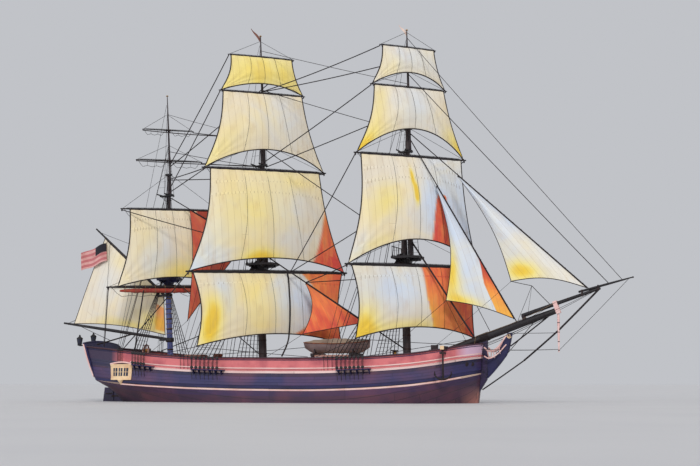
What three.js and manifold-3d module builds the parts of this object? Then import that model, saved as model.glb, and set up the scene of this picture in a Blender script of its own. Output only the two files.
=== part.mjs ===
// A three-masted full-rigged sailing ship under sail, as a half-size model.
// Every size below is in metres of the real ship. The whole group is scaled to
// millimetres of the half-size model at the end, so 1 m of ship is 500 mm here.
// +X points to the bow, +Y to port, +Z up. The origin is amidships, on the
// centreline, at the waterline.
import * as THREE from 'three';
import { mergeVertices } from 'three/addons/utils/BufferGeometryUtils.js';
import Module from 'manifold-3d';

const wasm = await Module();
wasm.setup();

// Driving dimensions
const MM_PER_METRE = 500;          // half size
const GAP = 0.3 / MM_PER_METRE;    // between pieces that touch
const SEAT = 0.45 / MM_PER_METRE;  // between a turning piece and its seat
const CLEAR = 10 / MM_PER_METRE;   // round a turning piece
const BRACE = THREE.MathUtils.degToRad(42); // yards turned from square, port end forward
const CANVAS = 0.024;              // thickness of the sails
const KEEL_BOTTOM = -4.0;
const SIDING = 0.36;               // thickness of keel, stem and sternpost
const DECK_CAMBER = 0.1;
const WATERWAY = 0.3;              // flat strip along the deck edge
const BULWARK = 0.2;               // thickness of the bulwark

// Helpers for closed solids

const V = (x, y, z) => new THREE.Vector3(x, y, z);

function toSolid(geometry) {
  const bare = new THREE.BufferGeometry();
  const flat = geometry.index ? geometry.toNonIndexed() : geometry;
  bare.setAttribute('position', flat.getAttribute('position'));
  const merged = mergeVertices(bare, 1e-5);
  const solid = new wasm.Manifold(new wasm.Mesh({
    numProp: 3,
    vertProperties: merged.attributes.position.array,
    triVerts: new Uint32Array(merged.index.array),
  }));
  return solid;
}

function toGeometry(solid) {
  const mesh = solid.getMesh();
  const geometry = new THREE.BufferGeometry();
  geometry.setAttribute('position', new THREE.BufferAttribute(new Float32Array(mesh.vertProperties), 3));
  geometry.setIndex(new THREE.BufferAttribute(new Uint32Array(mesh.triVerts), 1));
  geometry.computeVertexNormals();
  return geometry;
}

const join = (...geometries) => geometries.map(toSolid).reduce((a, b) => a.add(b));

function biggest(solid) {
  return solid.decompose().reduce((a, b) => (a.volume() > b.volume() ? a : b));
}

// A closed body through rings of points, each ring closed and of one length.
function loft(rings) {
  const count = rings[0].length;
  const points = rings.flat();
  const index = [];
  for (let r = 0; r < rings.length - 1; r++) {
    for (let i = 0; i < count; i++) {
      const a = r * count + i;
      const b = r * count + (i + 1) % count;
      index.push(a, b, b + count, a, b + count, a + count);
    }
  }
  for (const [r, flip] of [[0, true], [rings.length - 1, false]]) {
    const centre = points.length;
    points.push(rings[r].reduce((sum, p) => sum.add(p), V(0, 0, 0)).divideScalar(count));
    for (let i = 0; i < count; i++) {
      const a = r * count + i;
      const b = r * count + (i + 1) % count;
      index.push(...(flip ? [b, a, centre] : [a, b, centre]));
    }
  }
  const geometry = new THREE.BufferGeometry().setFromPoints(points);
  geometry.setIndex(index);
  return geometry;
}

// A round spar from a to b. rings holds [share of the length, radius].
function spar(a, b, rings, sides = 10, extra = 0) {
  const length = a.distanceTo(b);
  const reach = (share) => share * (length + 2 * extra) - extra;
  const profile = rings.map(([share, radius]) => new THREE.Vector2(radius + extra, reach(share)));
  const first = profile[0];
  const last = profile[profile.length - 1];
  const outline = [new THREE.Vector2(0, first.y), ...profile, new THREE.Vector2(0, last.y)];
  const geometry = new THREE.LatheGeometry(outline, sides);
  const turn = new THREE.Quaternion().setFromUnitVectors(V(0, 1, 0), b.clone().sub(a).normalize());
  return geometry.applyQuaternion(turn).translate(a.x, a.y, a.z);
}

const rod = (a, b, radius, sides = 8) => spar(a, b, [[0, radius], [1, radius]], sides);

function block(x0, x1, y0, y1, z0, z1) {
  return new THREE.BoxGeometry(x1 - x0, y1 - y0, z1 - z0)
    .translate((x0 + x1) / 2, (y0 + y1) / 2, (z0 + z1) / 2);
}

// A plate with an outline in the XZ plane, centred on y.
function plateXZ(outline, thickness, y = 0) {
  const shape = new THREE.Shape(outline.map(([x, z]) => new THREE.Vector2(x, z)));
  const geometry = new THREE.ExtrudeGeometry(shape, { depth: thickness, bevelEnabled: false });
  return geometry.rotateX(Math.PI / 2).translate(0, y + thickness / 2, 0);
}

// A round plate or ring on the Z axis from z0 to z1, with an optional bore.
function disc(radius, z0, z1, sides = 16, bore = 0) {
  const outline = bore
    ? [[bore, z0], [radius, z0], [radius, z1], [bore, z1], [bore, z0]]
    : [[0, z0], [radius, z0], [radius, z1], [0, z1]];
  const points = outline.map(([x, y]) => new THREE.Vector2(x, y));
  return new THREE.LatheGeometry(points, sides).rotateX(Math.PI / 2);
}

// A thin curved sheet. surface(u, v) gives the middle of the cloth for u and v
// from 0 to 1, and side is the direction of its thickness.
function sheet(surface, side, across = 8, down = 6, thickness = CANVAS) {
  const half = side.clone().multiplyScalar(thickness / 2);
  const points = [];
  for (const sign of [1, -1]) {
    for (let j = 0; j <= down; j++) {
      for (let i = 0; i <= across; i++) {
        points.push(surface(i / across, j / down).addScaledVector(half, sign));
      }
    }
  }
  const row = across + 1;
  const back = row * (down + 1);
  const index = [];
  const quad = (a, b, c, d) => index.push(a, b, c, a, c, d);
  for (let j = 0; j < down; j++) {
    for (let i = 0; i < across; i++) {
      const a = j * row + i;
      quad(a, a + row, a + row + 1, a + 1);
      quad(back + a, back + a + 1, back + a + row + 1, back + a + row);
    }
  }
  for (let i = 0; i < across; i++) {
    const low = down * row + i;
    quad(i, i + 1, back + i + 1, back + i);
    quad(low + 1, low, back + low, back + low + 1);
  }
  for (let j = 0; j < down; j++) {
    const left = j * row;
    const right = left + across;
    quad(left + row, left, back + left, back + left + row);
    quad(right, right + row, back + right + row, back + right);
  }
  const geometry = new THREE.BufferGeometry().setFromPoints(points);
  geometry.setIndex(index);
  const solid = toSolid(geometry);
  return solid.volume() > 0 ? geometry : flipped(geometry);
}

function flipped(geometry) {
  const index = geometry.index.array;
  for (let i = 0; i < index.length; i += 3) [index[i], index[i + 1]] = [index[i + 1], index[i]];
  return geometry;
}

// Materials, one for each finish

const finish = (color, roughness, metalness = 0) =>
  new THREE.MeshStandardMaterial({ color, roughness, metalness });
const MATERIALS = {
  hull: finish(0x2c2a52, 0.6),
  bulwark: finish(0xb8525a, 0.7),
  gallery: finish(0xe0b882, 0.6),
  spar: finish(0x1d1820, 0.55),
  mast: finish(0x3a2a2c, 0.6),
  canvas: finish(0xf2e2b4, 0.9),
  shadedCanvas: finish(0xd9542f, 0.9),
  rope: finish(0x201a1c, 0.9),
  iron: finish(0x2a2a30, 0.5, 0.6),
  boat: finish(0xe8e4d8, 0.7),
  deckGear: finish(0x6b3a30, 0.6),
  ensign: finish(0xc86a5c, 0.9),
};

const ship = new THREE.Group();

function piece(name, shape, material, parent = ship) {
  const geometry = shape.isBufferGeometry ? shape : toGeometry(shape);
  const mesh = new THREE.Mesh(geometry, MATERIALS[material]);
  mesh.name = name;
  parent.add(mesh);
  return mesh;
}

// Hull

// Columns: x at the wale, half breadth at the wale, half breadth at the deck
// edge, foot of the section, roundness of the bilge, height of the wale, of the
// deck edge and of the rail, and how far the section leans aft for each metre up.
const STATIONS = [
  [-19.00, 3.35, 3.25, 1.70, 2.2, 2.02, 4.02, 5.12, -0.37],
  [-18.35, 3.62, 3.45, 0.60, 1.2, 1.96, 3.95, 5.04, -0.27],
  [-17.15, 3.95, 3.75, -2.30, 0.75, 1.88, 3.78, 4.88, -0.12],
  [-15.00, 4.25, 4.00, -3.45, 0.85, 1.72, 3.52, 4.62, 0],
  [-12.00, 4.50, 4.20, -3.60, 1.15, 1.55, 3.24, 4.30, 0],
  [-8.00, 4.70, 4.35, -3.65, 1.7, 1.38, 3.02, 4.06, 0],
  [-3.00, 4.80, 4.45, -3.70, 2.3, 1.27, 2.91, 3.98, 0],
  [2.00, 4.82, 4.47, -3.70, 2.6, 1.24, 2.88, 3.94, 0],
  [7.00, 4.78, 4.42, -3.70, 2.3, 1.36, 2.98, 4.00, 0],
  [11.00, 4.55, 4.25, -3.65, 1.75, 1.62, 3.22, 4.22, 0],
  [13.50, 4.00, 3.85, -3.50, 1.35, 1.92, 3.52, 4.52, 0],
  [15.20, 3.05, 3.15, -3.10, 1.15, 2.24, 3.82, 4.82, 0.05],
  [16.20, 1.85, 2.15, -2.30, 1.1, 2.46, 4.00, 5.02, 0.10],
  [16.75, 0.40, 0.90, -0.60, 1.1, 2.60, 4.12, 5.12, 0.12],
].map(([x, wide, deckWide, foot, round, wale, deck, rail, lean]) =>
  ({ x, wide, deckWide, foot, round, wale, deck, rail, lean }));
const BILGE_STEPS = 7;
const RAIL_TUMBLE = 0.1; // the bulwark leans in by this much

const place = (s, y, z) => V(s.x + s.lean * (z - s.wale), y, z);

// Half of a section from the keel up to the deck edge, as [y, z] for port.
function halfSection(s) {
  const points = [];
  for (let k = 0; k <= BILGE_STEPS; k++) {
    const turn = k / BILGE_STEPS * Math.PI / 2;
    const out = Math.pow(Math.sin(turn), 2 / s.round);
    const down = Math.pow(Math.cos(turn), 2 / s.round);
    points.push([SIDING / 2 + (s.wide - SIDING / 2) * out, s.wale - (s.wale - s.foot) * down]);
  }
  points.push([s.wide + (s.deckWide - s.wide) * 0.35, (s.wale + s.deck) / 2]);
  points.push([s.deckWide, s.deck]);
  points.push([s.deckWide - Math.min(WATERWAY, s.deckWide / 2), s.deck]);
  return points;
}

function hullRing(s) {
  const port = halfSection(s);
  const starboard = port.slice().reverse().map(([y, z]) => [-y, z]);
  const ring = [...port, [0, s.deck + DECK_CAMBER], ...starboard];
  return ring.map(([y, z]) => place(s, y, z));
}

// Reads a column of the station table at any x, between its rows.
function along(x, column) {
  const rows = STATIONS;
  let i = 1;
  while (i < rows.length - 1 && rows[i].x < x) i++;
  const share = THREE.MathUtils.clamp((x - rows[i - 1].x) / (rows[i].x - rows[i - 1].x), 0, 1);
  return THREE.MathUtils.lerp(rows[i - 1][column], rows[i][column], share);
}

// Keel, deadwood, sternpost and stem, as one plate on the centreline.
const POST_FOOT = -18.55;
const POST_LEAN = -0.068; // the sternpost leans aft by this for each metre up
const postX = (z) => POST_FOOT + POST_LEAN * (z - KEEL_BOTTOM);
const BACKBONE = [
  [POST_FOOT, KEEL_BOTTOM], [12.6, KEEL_BOTTOM], [14.3, -3.72], [15.35, -2.9], [15.95, -1.4],
  [16.17, 0.1], [16.6, 1.05], [17.22, 2.0], [17.3, 3.2], [17.3, 5.62], [16.2, 5.3],
  [15.4, 3.4], [15.0, -2.6], [13.5, -3.2], [-13.0, -3.2], [-16.6, -0.6], [-17.6, 1.6], [postX(1.7), 1.7],
];

// Bowsprit and jib boom run on one slope each.
const BOWSPRIT_HEEL = V(12.75, 0, 4.12);
const BOWSPRIT_CAP = V(23.43, 0, 7.87);
const BOWSPRIT_RINGS = [[0, 0.31], [0.4, 0.34], [1, 0.24]];
const JIB_BOOM_HEEL = V(20.3, 0, 7.42);
const JIB_BOOM_END = V(27.05, 0, 9.65);
const FLYING_HEEL = V(25.2, 0, 9.36);
const FLYING_END = V(29.75, 0, 10.5);

// Rudder pivots behind the sternpost.
const RUDDER_RADIUS = 0.15;
const GUDGEON_HEIGHTS = [-3.1, -1.3, 0.5];
const GUDGEON = { radius: 0.12, height: 0.2, pocket: 0.2 };
const rudderPin = V(postX(0) - RUDDER_RADIUS - CLEAR, 0, 0);
const rudderGroup = new THREE.Group();
rudderGroup.position.copy(rudderPin);
rudderGroup.rotation.y = Math.atan(POST_LEAN);

function rudderBlade() {
  const foot = KEEL_BOTTOM + 0.05;
  const outline = [[0, foot], [-1.5, foot + 0.1], [-1.45, -1.6], [-1.1, 0.0], [-0.85, 1.3], [0, 1.3]];
  const blade = plateXZ(outline, 0.26);
  const edge = rod(V(0, 0, foot), V(0, 0, 1.32), RUDDER_RADIUS, 12);
  let solid = join(blade, edge);
  for (const z of GUDGEON_HEIGHTS) {
    const pocket = disc(GUDGEON.pocket, z - GUDGEON.height - 0.04, z + SEAT, 16);
    solid = solid.subtract(toSolid(pocket));
  }
  const pintle = rod(V(0, 0, foot + 0.1), V(0, 0, 1.2), 0.05, 8);
  const bored = toSolid(pintle);
  return solid.add(bored);
}

function gudgeons() {
  const lean = new THREE.Matrix4().makeRotationY(Math.atan(POST_LEAN)).setPosition(rudderPin);
  const bore = toSolid(rod(V(0, 0, -5), V(0, 0, 3), 0.05 + CLEAR / 2, 12).applyMatrix4(lean));
  return GUDGEON_HEIGHTS.map((z) => {
    const eye = disc(GUDGEON.radius, z - GUDGEON.height, z, 16).applyMatrix4(lean);
    const strap = block(0, 0.5, -0.1, 0.1, z - GUDGEON.height, z).applyMatrix4(lean);
    return join(eye, strap).subtract(bore);
  });
}

// Masts. Each mast has one brace axis, on which its topmast stands, and its
// lower mast stands a little behind that axis.
// Columns: x of the axis at the waterline, rake aft in degrees, radius of the
// lower mast, heights of deck seat, top, lower mast head, crosstrees, topmast
// head and truck.
const MASTS = {
  fore: { x: 10.7, rake: 1.3, radius: 0.35, foot: 3.5, top: 12.75, head: 14.7, trees: 22.35, topHead: 24.2, truck: 33.3 },
  main: { x: -2.95, rake: 2.4, radius: 0.37, foot: 3.2, top: 12.55, head: 14.5, trees: 21.85, topHead: 23.7, truck: 34.0 },
  mizzen: { x: -12.4, rake: 3.2, radius: 0.27, foot: 3.65, top: 11.45, head: 13.1, trees: 19.5, topHead: 21.3, truck: 29.0 },
};
const BEHIND = { fore: 0.56, main: 0.58, mizzen: 0.44 }; // lower mast behind the brace axis
const AHEAD = 0.2;         // topgallant mast ahead of the brace axis
const TOPMAST_RADIUS = { fore: 0.23, main: 0.24, mizzen: 0.17 };
const GALLANT_RADIUS = { fore: 0.12, main: 0.125, mizzen: 0.09 };
const TOP = { ahead: 1.0, behind: 1.35, half: 1.55, thick: 0.14 };

function mastFrame(mast) {
  const frame = new THREE.Group();
  frame.position.set(mast.x, 0, 0);
  frame.rotation.y = THREE.MathUtils.degToRad(-mast.rake);
  ship.add(frame);
  frame.updateMatrixWorld(true);
  return frame;
}

const frames = {};
for (const name of Object.keys(MASTS)) frames[name] = mastFrame(MASTS[name]);
const onMast = (name, point) => point.clone().applyMatrix4(frames[name].matrixWorld);

// The deck seat of a mast, a round partner with a flat top square to the mast.
function partner(name) {
  const mast = MASTS[name];
  return disc(mast.radius + 0.22, mast.foot - 0.75, mast.foot, 12)
    .translate(-BEHIND[name], 0, 0).applyMatrix4(frames[name].matrixWorld);
}

// A ledge on the hull side that spreads the shrouds of a mast.
const CHANNELS = { fore: [5.2, 8.2], main: [-8.6, -5.4], mizzen: [-14.7, -12.5] };
const CHANNEL_OUT = 0.55;
function channel(name, side) {
  const [aft, fore] = CHANNELS[name];
  const rows = [aft, (aft + fore) / 2, fore].map((x) => {
    const z = along(x, 'deck') - 0.06;
    const y = along(x, 'deckWide');
    const ring = [[y - 0.3, z - 0.1], [y + CHANNEL_OUT, z - 0.1], [y + CHANNEL_OUT, z], [y - 0.3, z]];
    const points = ring.map(([out, up]) => V(x, side * out, up));
    return side > 0 ? points : points.reverse();
  });
  return loft(rows);
}

// Deck fittings that are built into the hull.
const CAPSTAN = { x: -8.2, base: 3.35, radius: 0.55 };
const WHEEL = { x: -15.6, z: 4.75, radius: 0.52, handle: 0.74, half: 0.16 };
const HATCH = { x0: -1.4, x1: 0.6, half: 0.95, top: 3.42 };
const CATHEAD = { x: 14.55, inner: 3.3, outer: 4.75, z: 4.66, size: 0.26 };
const SKID_X = [1.7, 5.3];
const SKID_TOP = 4.35;

const crown = (x) => along(x, 'deck') + DECK_CAMBER; // height of the deck on the centreline

// Two posts on one base, between which the wheel's barrel turns.
function wheelStand() {
  const foot = crown(WHEEL.x);
  const posts = [1, -1].map((end) => {
    const near = WHEEL.x + end * (WHEEL.half + SEAT);
    const far = WHEEL.x + end * (WHEEL.half + 0.2);
    return block(Math.min(near, far), Math.max(near, far), -0.16, 0.16, foot + 0.02, WHEEL.z + 0.2);
  });
  const base = block(WHEEL.x - 0.5, WHEEL.x + 0.5, -0.3, 0.3, foot - 0.2, foot + 0.07);
  return join(...posts, base);
}

// Two beams on legs, tied by two rails, on which the ship's boat stands.
function boatSkids() {
  const frames = SKID_X.flatMap((x) => [
    block(x - 0.12, x + 0.12, -1.5, 1.5, SKID_TOP - 0.2, SKID_TOP),
    ...[-1, 1].map((side) => block(x - 0.1, x + 0.1, side * 1.28 - 0.12, side * 1.28 + 0.12,
      along(x, 'deck') - 0.2, SKID_TOP - 0.1)),
  ]);
  const rails = [-1, 1].map((side) => block(SKID_X[0], SKID_X[1], side * 1.28 - 0.07, side * 1.28 + 0.07,
    SKID_TOP - 0.32, SKID_TOP - 0.15));
  return join(...frames, ...rails);
}

function deckFittings() {
  return [
    toSolid(block(HATCH.x0, HATCH.x1, -HATCH.half, HATCH.half, 2.5, HATCH.top)),
    toSolid(block(-11.4, -9.6, -0.85, 0.85, 2.8, 4.35)),
    toSolid(disc(CAPSTAN.radius, 2.6, CAPSTAN.base, 16).translate(CAPSTAN.x, 0, 0)),
    toSolid(block(12.35, 12.75 - GAP, -0.5, 0.5, 3.0, 5.0)),
  ];
}

function hullSolid() {
  let solid = toSolid(loft(STATIONS.map(hullRing)));
  const parts = [
    toSolid(plateXZ(BACKBONE, SIDING)),
    ...Object.keys(MASTS).map((name) => toSolid(partner(name))),
    ...Object.keys(MASTS).flatMap((name) => [1, -1].map((side) => toSolid(channel(name, side)))),
    ...deckFittings(),
    ...gudgeons(),
  ];
  for (const part of parts) solid = solid.add(part);
  const room = toSolid(spar(BOWSPRIT_HEEL, BOWSPRIT_CAP, BOWSPRIT_RINGS, 12, GAP * 1.1));
  return solid.subtract(room);
}
const hull = hullSolid();
piece('hull', hull, 'hull');

// The hull lifted by the gap, to trim what stands on its deck.
const deckRoom = hull.add(hull.translate([0, 0, GAP * 1.3]));
piece('wheel_stand', wheelStand().subtract(deckRoom), 'deckGear');
piece('boat_skids', boatSkids().subtract(deckRoom), 'deckGear');

// Bulwarks with their cap rail, one on each side.
function bulwark(side) {
  const rings = STATIONS.map((s) => {
    const wall = Math.min(BULWARK, s.deckWide / 3);
    const foot = s.deck + GAP;
    const top = s.deckWide - RAIL_TUMBLE;
    const section = [
      [s.deckWide, foot], [top, s.rail - 0.12], [top + 0.1, s.rail - 0.12], [top + 0.1, s.rail],
      [top - wall - 0.1, s.rail], [top - wall - 0.1, s.rail - 0.12], [top - wall, s.rail - 0.12],
      [s.deckWide - wall, foot],
    ];
    return section.map(([y, z]) => place(s, side * y, z));
  });
  if (side < 0) rings.forEach((ring) => ring.reverse());
  return loft(rings);
}

function cathead(side) {
  const { x, inner, outer, z, size } = CATHEAD;
  const y0 = side > 0 ? inner : -outer;
  const y1 = side > 0 ? outer : -inner;
  return block(x - size / 2, x + size / 2, y0, y1, z - size / 2, z + size / 2);
}
for (const [name, side] of [['starboard', -1], ['port', 1]]) {
  piece('bulwark_' + name, join(bulwark(side), cathead(side)), 'bulwark');
}

// Transom, a plate on the raked after end, with its taffrail.
const STERN = STATIONS[0];
function transom() {
  const low = STERN.foot + 0.05;
  const outline = [[0, low], [2.2, low + 0.1], [3.3, 2.35], [3.4, 3.4], [3.3, 5.3], [1.8, 5.5], [0, 5.56]];
  const mirrored = outline.slice(1, -1).reverse().map(([y, z]) => [-y, z]);
  const near = [...outline, ...mirrored].map(([y, z]) => place(STERN, y, z));
  const shift = (dx) => near.map((p) => p.clone().add(V(dx, 0, 0)));
  return loft([shift(-0.24), shift(-GAP * 1.2)]);
}
piece('transom', transom(), 'gallery');

// Quarter badges, the window boxes on each quarter.
const BADGE = { x0: -17.02, x1: -14.84, low: 2.0, high: 3.42, out: 0.28 };
function badge(side) {
  const rings = [BADGE.x0, BADGE.x0 + 0.3, BADGE.x1 - 0.3, BADGE.x1].map((x, i) => {
    const end = i === 0 || i === 3;
    const y = along(x, 'wide') + (end ? 0.1 : BADGE.out);
    const inset = end ? 0.2 : 0;
    const inner = along(x, 'deckWide') - 0.6;
    const section = [[inner, BADGE.low + inset], [y, BADGE.low + inset], [y, BADGE.high - inset],
      [inner, BADGE.high - inset]];
    const points = section.map(([out, up]) => V(x, side * out, up));
    return side > 0 ? points : points.reverse();
  });
  return toSolid(loft(rings));
}
// The hull grown by the gap, to cut what lies against its side.
function grownHull() {
  const rows = STATIONS.map((s) => ({ ...s, wide: s.wide + GAP * 1.4, deckWide: s.deckWide + GAP * 1.4 }));
  return toSolid(loft(rows.map(hullRing)));
}
const hullRoom = grownHull();
for (const [name, side] of [['starboard', -1], ['port', 1]]) {
  piece('quarter_badge_' + name, badge(side).subtract(hullRoom), 'gallery');
}

// Head: the curved knee under the bowsprit, with its rails to both bows.
const KNEE = [
  [17.3 + GAP, 2.13], [17.85, 2.7], [18.45, 3.4], [18.95, 4.05], [19.2, 4.6], [19.36, 5.35], [19.48, 5.98],
  [19.08, 6.0], [18.72, 5.3], [18.35, 4.55], [17.85, 3.95], [17.3 + GAP, 3.7],
];
function headRail(side, low) {
  const drop = low ? 0.75 : 0;
  const route = [
    V(17.16, side * 0.8, 4.75 - drop), V(17.6, side * 0.66, 4.42 - drop * 0.8),
    V(18.25, side * 0.42, 4.72 - drop * 0.7), V(18.95, side * 0.06, 5.75 - drop),
  ];
  const links = route.slice(1).map((to, i) => {
    const step = to.clone().sub(route[i]).setLength(0.05);
    return rod(route[i].clone().sub(i ? step : V(0, 0, 0)), to.clone().add(step), 0.085, 6);
  });
  return join(...links);
}
function headSolid() {
  let solid = toSolid(plateXZ(KNEE, 0.28));
  for (const side of [1, -1]) {
    for (const low of [false, true]) solid = solid.add(headRail(side, low));
    solid = solid.add(toSolid(rod(V(18.25, 0, 4.2), V(18.25, side * 0.42, 4.72), 0.06, 6)));
  }
  const room = spar(BOWSPRIT_HEEL, BOWSPRIT_CAP, BOWSPRIT_RINGS, 12, GAP * 1.1);
  return biggest(solid.subtract(hullRoom).subtract(toSolid(room)));
}
piece('head', headSolid(), 'hull');

piece('rudder', rudderBlade(), 'hull', rudderGroup);
ship.add(rudderGroup);

// Steering wheel on its barrel, between the two posts.
function steeringWheel() {
  const { x, z, radius, handle, half } = WHEEL;
  const rim = disc(radius + 0.05, -0.05, 0.05, 16, radius - 0.05);
  const hub = disc(0.14, -half, half, 10);
  const spokes = [];
  for (let i = 0; i < 8; i++) {
    const angle = (i + 0.5) * Math.PI / 4;
    spokes.push(rod(V(0, 0, 0), V(Math.cos(angle) * handle, Math.sin(angle) * handle, 0), 0.03, 4));
  }
  return toGeometry(join(rim, hub, ...spokes)).rotateY(Math.PI / 2).translate(x, 0, z);
}
piece('steering_wheel', steeringWheel(), 'deckGear');

// Capstan, a waisted drum that turns on its base.
const CAPSTAN_PROFILE = [[0, 0], [0.42, 0], [0.42, 0.08], [0.24, 0.3], [0.24, 0.55], [0.4, 0.78], [0.46, 0.8],
  [0.46, 1.0], [0.36, 1.05], [0, 1.05]];
const capstanShape = new THREE.LatheGeometry(CAPSTAN_PROFILE.map(([r, z]) => new THREE.Vector2(r, z)), 12)
  .rotateX(Math.PI / 2).translate(CAPSTAN.x, 0, CAPSTAN.base + SEAT);
piece('capstan', capstanShape, 'deckGear');

// Ship's boat under its canvas cover, on skid beams amidships.
function shipsBoat() {
  // Columns: x along the boat, half breadth, keel height, gunwale height, cover height.
  const rows = [[-3.0, 0.55, 0.45, 1.0, 1.08], [-2.1, 0.85, 0, 0.92, 1.22], [0, 0.98, 0, 0.86, 1.34],
    [2.1, 0.75, 0, 0.95, 1.25], [3.1, 0.12, 0.5, 1.12, 1.16]];
  const rings = rows.map(([x, half, keel, gunwale, cover]) => {
    const port = [[0.08, keel], [half * 0.7, keel + 0.25], [half, gunwale], [half * 0.5, (gunwale + cover) / 2]];
    const starboard = port.slice().reverse().map(([y, z]) => [-y, z]);
    const section = [...port, [0, cover], ...starboard];
    return section.map(([y, z]) => V(3.5 + x, y, SKID_TOP + GAP + z));
  });
  return loft(rings);
}
piece('ships_boat', shipsBoat(), 'boat');

// Bower anchors, each hung under its cathead.
function anchor(side) {
  const x = CATHEAD.x;
  const y = side * (CATHEAD.outer - 0.25);
  const top = CATHEAD.z - CATHEAD.size / 2 - GAP;
  const at = (dx, dz) => V(x + dx, y, top + dz);
  const arms = [1, -1].map((end) => rod(at(0, -2.55), at(end * 0.75, -2.0), 0.075, 8));
  const palms = [1, -1].map((end) => block(-0.16, 0.16, -0.2, 0.2, -0.04, 0.04)
    .rotateY(end * -0.8).translate(x + end * 0.72, y, top - 2.05));
  const stock = block(x - 0.09, x + 0.09, y - 0.85, y + 0.85, top - 0.42, top - 0.24);
  return join(rod(at(0, -2.6), at(0, 0), 0.08, 8), stock, ...arms, ...palms);
}
for (const [name, side] of [['starboard', -1], ['port', 1]]) piece('anchor_' + name, anchor(side), 'iron');

// Bowsprit with its cap, jib booms and the striker below them.
function bowspritSolid() {
  const stick = toSolid(spar(BOWSPRIT_HEEL, BOWSPRIT_CAP, BOWSPRIT_RINGS, 12));
  const slope = BOWSPRIT_CAP.clone().sub(BOWSPRIT_HEEL).normalize();
  const tilt = Math.atan2(slope.z, slope.x);
  const cap = block(-0.2, 0.16, -0.27, 0.27, -0.3, 0.8).rotateY(-tilt)
    .translate(BOWSPRIT_CAP.x, 0, BOWSPRIT_CAP.z);
  const saddle = block(-0.14, 0.14, -0.25, 0.25, 0, 0.5).rotateY(-tilt)
    .translate(JIB_BOOM_HEEL.x + 0.3, 0, JIB_BOOM_HEEL.z - 0.45);
  return stick.add(toSolid(cap)).add(toSolid(saddle));
}
const jibBoomRoom = toSolid(spar(JIB_BOOM_HEEL, JIB_BOOM_END, [[0, 0.17], [1, 0.12]], 12, GAP * 1.1));
const bowsprit = bowspritSolid().subtract(jibBoomRoom);
piece('bowsprit', bowsprit, 'spar');

function jibBoomSolid() {
  const inner = toSolid(spar(JIB_BOOM_HEEL, JIB_BOOM_END, [[0, 0.17], [1, 0.12]], 12));
  const outer = toSolid(spar(FLYING_HEEL, FLYING_END, [[0, 0.1], [0.4, 0.1], [1, 0.05]], 10));
  const irons = [25.5, 26.85].map((x) => {
    const share = (x - JIB_BOOM_HEEL.x) / (JIB_BOOM_END.x - JIB_BOOM_HEEL.x);
    const z = THREE.MathUtils.lerp(JIB_BOOM_HEEL.z, JIB_BOOM_END.z, share);
    return toSolid(block(x - 0.07, x + 0.07, -0.17, 0.17, z - 0.17, z + 0.5));
  });
  return irons.reduce((all, iron) => all.add(iron), inner.add(outer));
}
piece('jib_boom', jibBoomSolid(), 'spar');

const STRIKER_X = BOWSPRIT_CAP.x + 0.02;
const strikerRod = toSolid(spar(V(STRIKER_X, 0, 4.3), BOWSPRIT_CAP, [[0, 0.06], [1, 0.11]], 8));
const strikerSolid = biggest(strikerRod.subtract(bowsprit).subtract(bowsprit.translate([0, 0, -GAP * 1.3])));
piece('dolphin_striker', strikerSolid, 'spar');

// Yards and square sails. Each mast's yards turn together about its brace axis.
// Columns of the yard rows: name, height, half length, radius, distance ahead
// of the brace axis.
const YARDS = {
  fore: [['fore_yard', 11.95, 6.95, 0.17, 0.6], ['fore_topsail_yard', 21.7, 5.8, 0.13, 0.55],
    ['fore_topgallant_yard', 27.95, 4.0, 0.09, 0.5], ['fore_royal_yard', 31.6, 2.95, 0.07, 0.5]],
  main: [['main_yard', 11.75, 8.1, 0.18, 0.6], ['main_topsail_yard', 21.2, 6.3, 0.14, 0.55],
    ['main_topgallant_yard', 28.45, 4.4, 0.095, 0.5], ['main_royal_yard', 31.9, 3.4, 0.075, 0.5]],
  mizzen: [['crossjack_yard', 10.65, 6.6, 0.14, 0.55], ['mizzen_topsail_yard', 17.95, 5.0, 0.11, 0.5],
    ['mizzen_topgallant_yard', 22.65, 3.35, 0.075, 0.46], ['mizzen_royal_yard', 25.6, 2.6, 0.06, 0.46]],
};

// Masts and tops

function lowerMast(name, bandHeights) {
  const mast = MASTS[name];
  const r = mast.radius;
  const foot = mast.foot + GAP;
  const back = BEHIND[name];
  const stick = toSolid(spar(V(-back, 0, foot), V(-back, 0, mast.head), [[0, r], [0.3, r], [1, r * 0.72]], 12));
  const { ahead, behind, half, thick } = TOP;
  const outline = [[-behind, -half], [ahead * 0.35, -half], [ahead, -half * 0.55], [ahead, half * 0.55],
    [ahead * 0.35, half], [-behind, half]];
  const scale = name === 'mizzen' ? 0.75 : 1;
  const shape = new THREE.Shape(outline.map(([x, y]) => new THREE.Vector2(x * scale, y * scale)));
  const top = new THREE.ExtrudeGeometry(shape, { depth: thick, bevelEnabled: false })
    .translate(0, 0, mast.top - thick);
  const cap = block(-back - r * 0.72 - 0.1, TOPMAST_RADIUS[name] + 0.14, -0.34, 0.34, mast.head - 0.02, mast.head + 0.24);
  const cheeks = block(-back - r, 0.1, -r - 0.06, r + 0.06, mast.top - thick - 0.3, mast.top - thick);
  const parts = [top, cap, cheeks, ...bandHeights];
  return parts.reduce((all, part) => all.add(toSolid(part)), stick);
}

// The bracket on the lower mast that carries the truss of the lower yard.
const TRUSS = { boss: 0.15, thick: 0.18, ear: 0.12 };
function trussBracket(name, height) {
  const arm = block(-BEHIND[name], 0, -0.11, 0.11, height - TRUSS.thick / 2, height + TRUSS.thick / 2);
  const boss = disc(TRUSS.boss, height - TRUSS.thick / 2, height + TRUSS.thick / 2, 16);
  return toGeometry(join(arm, boss));
}


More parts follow.
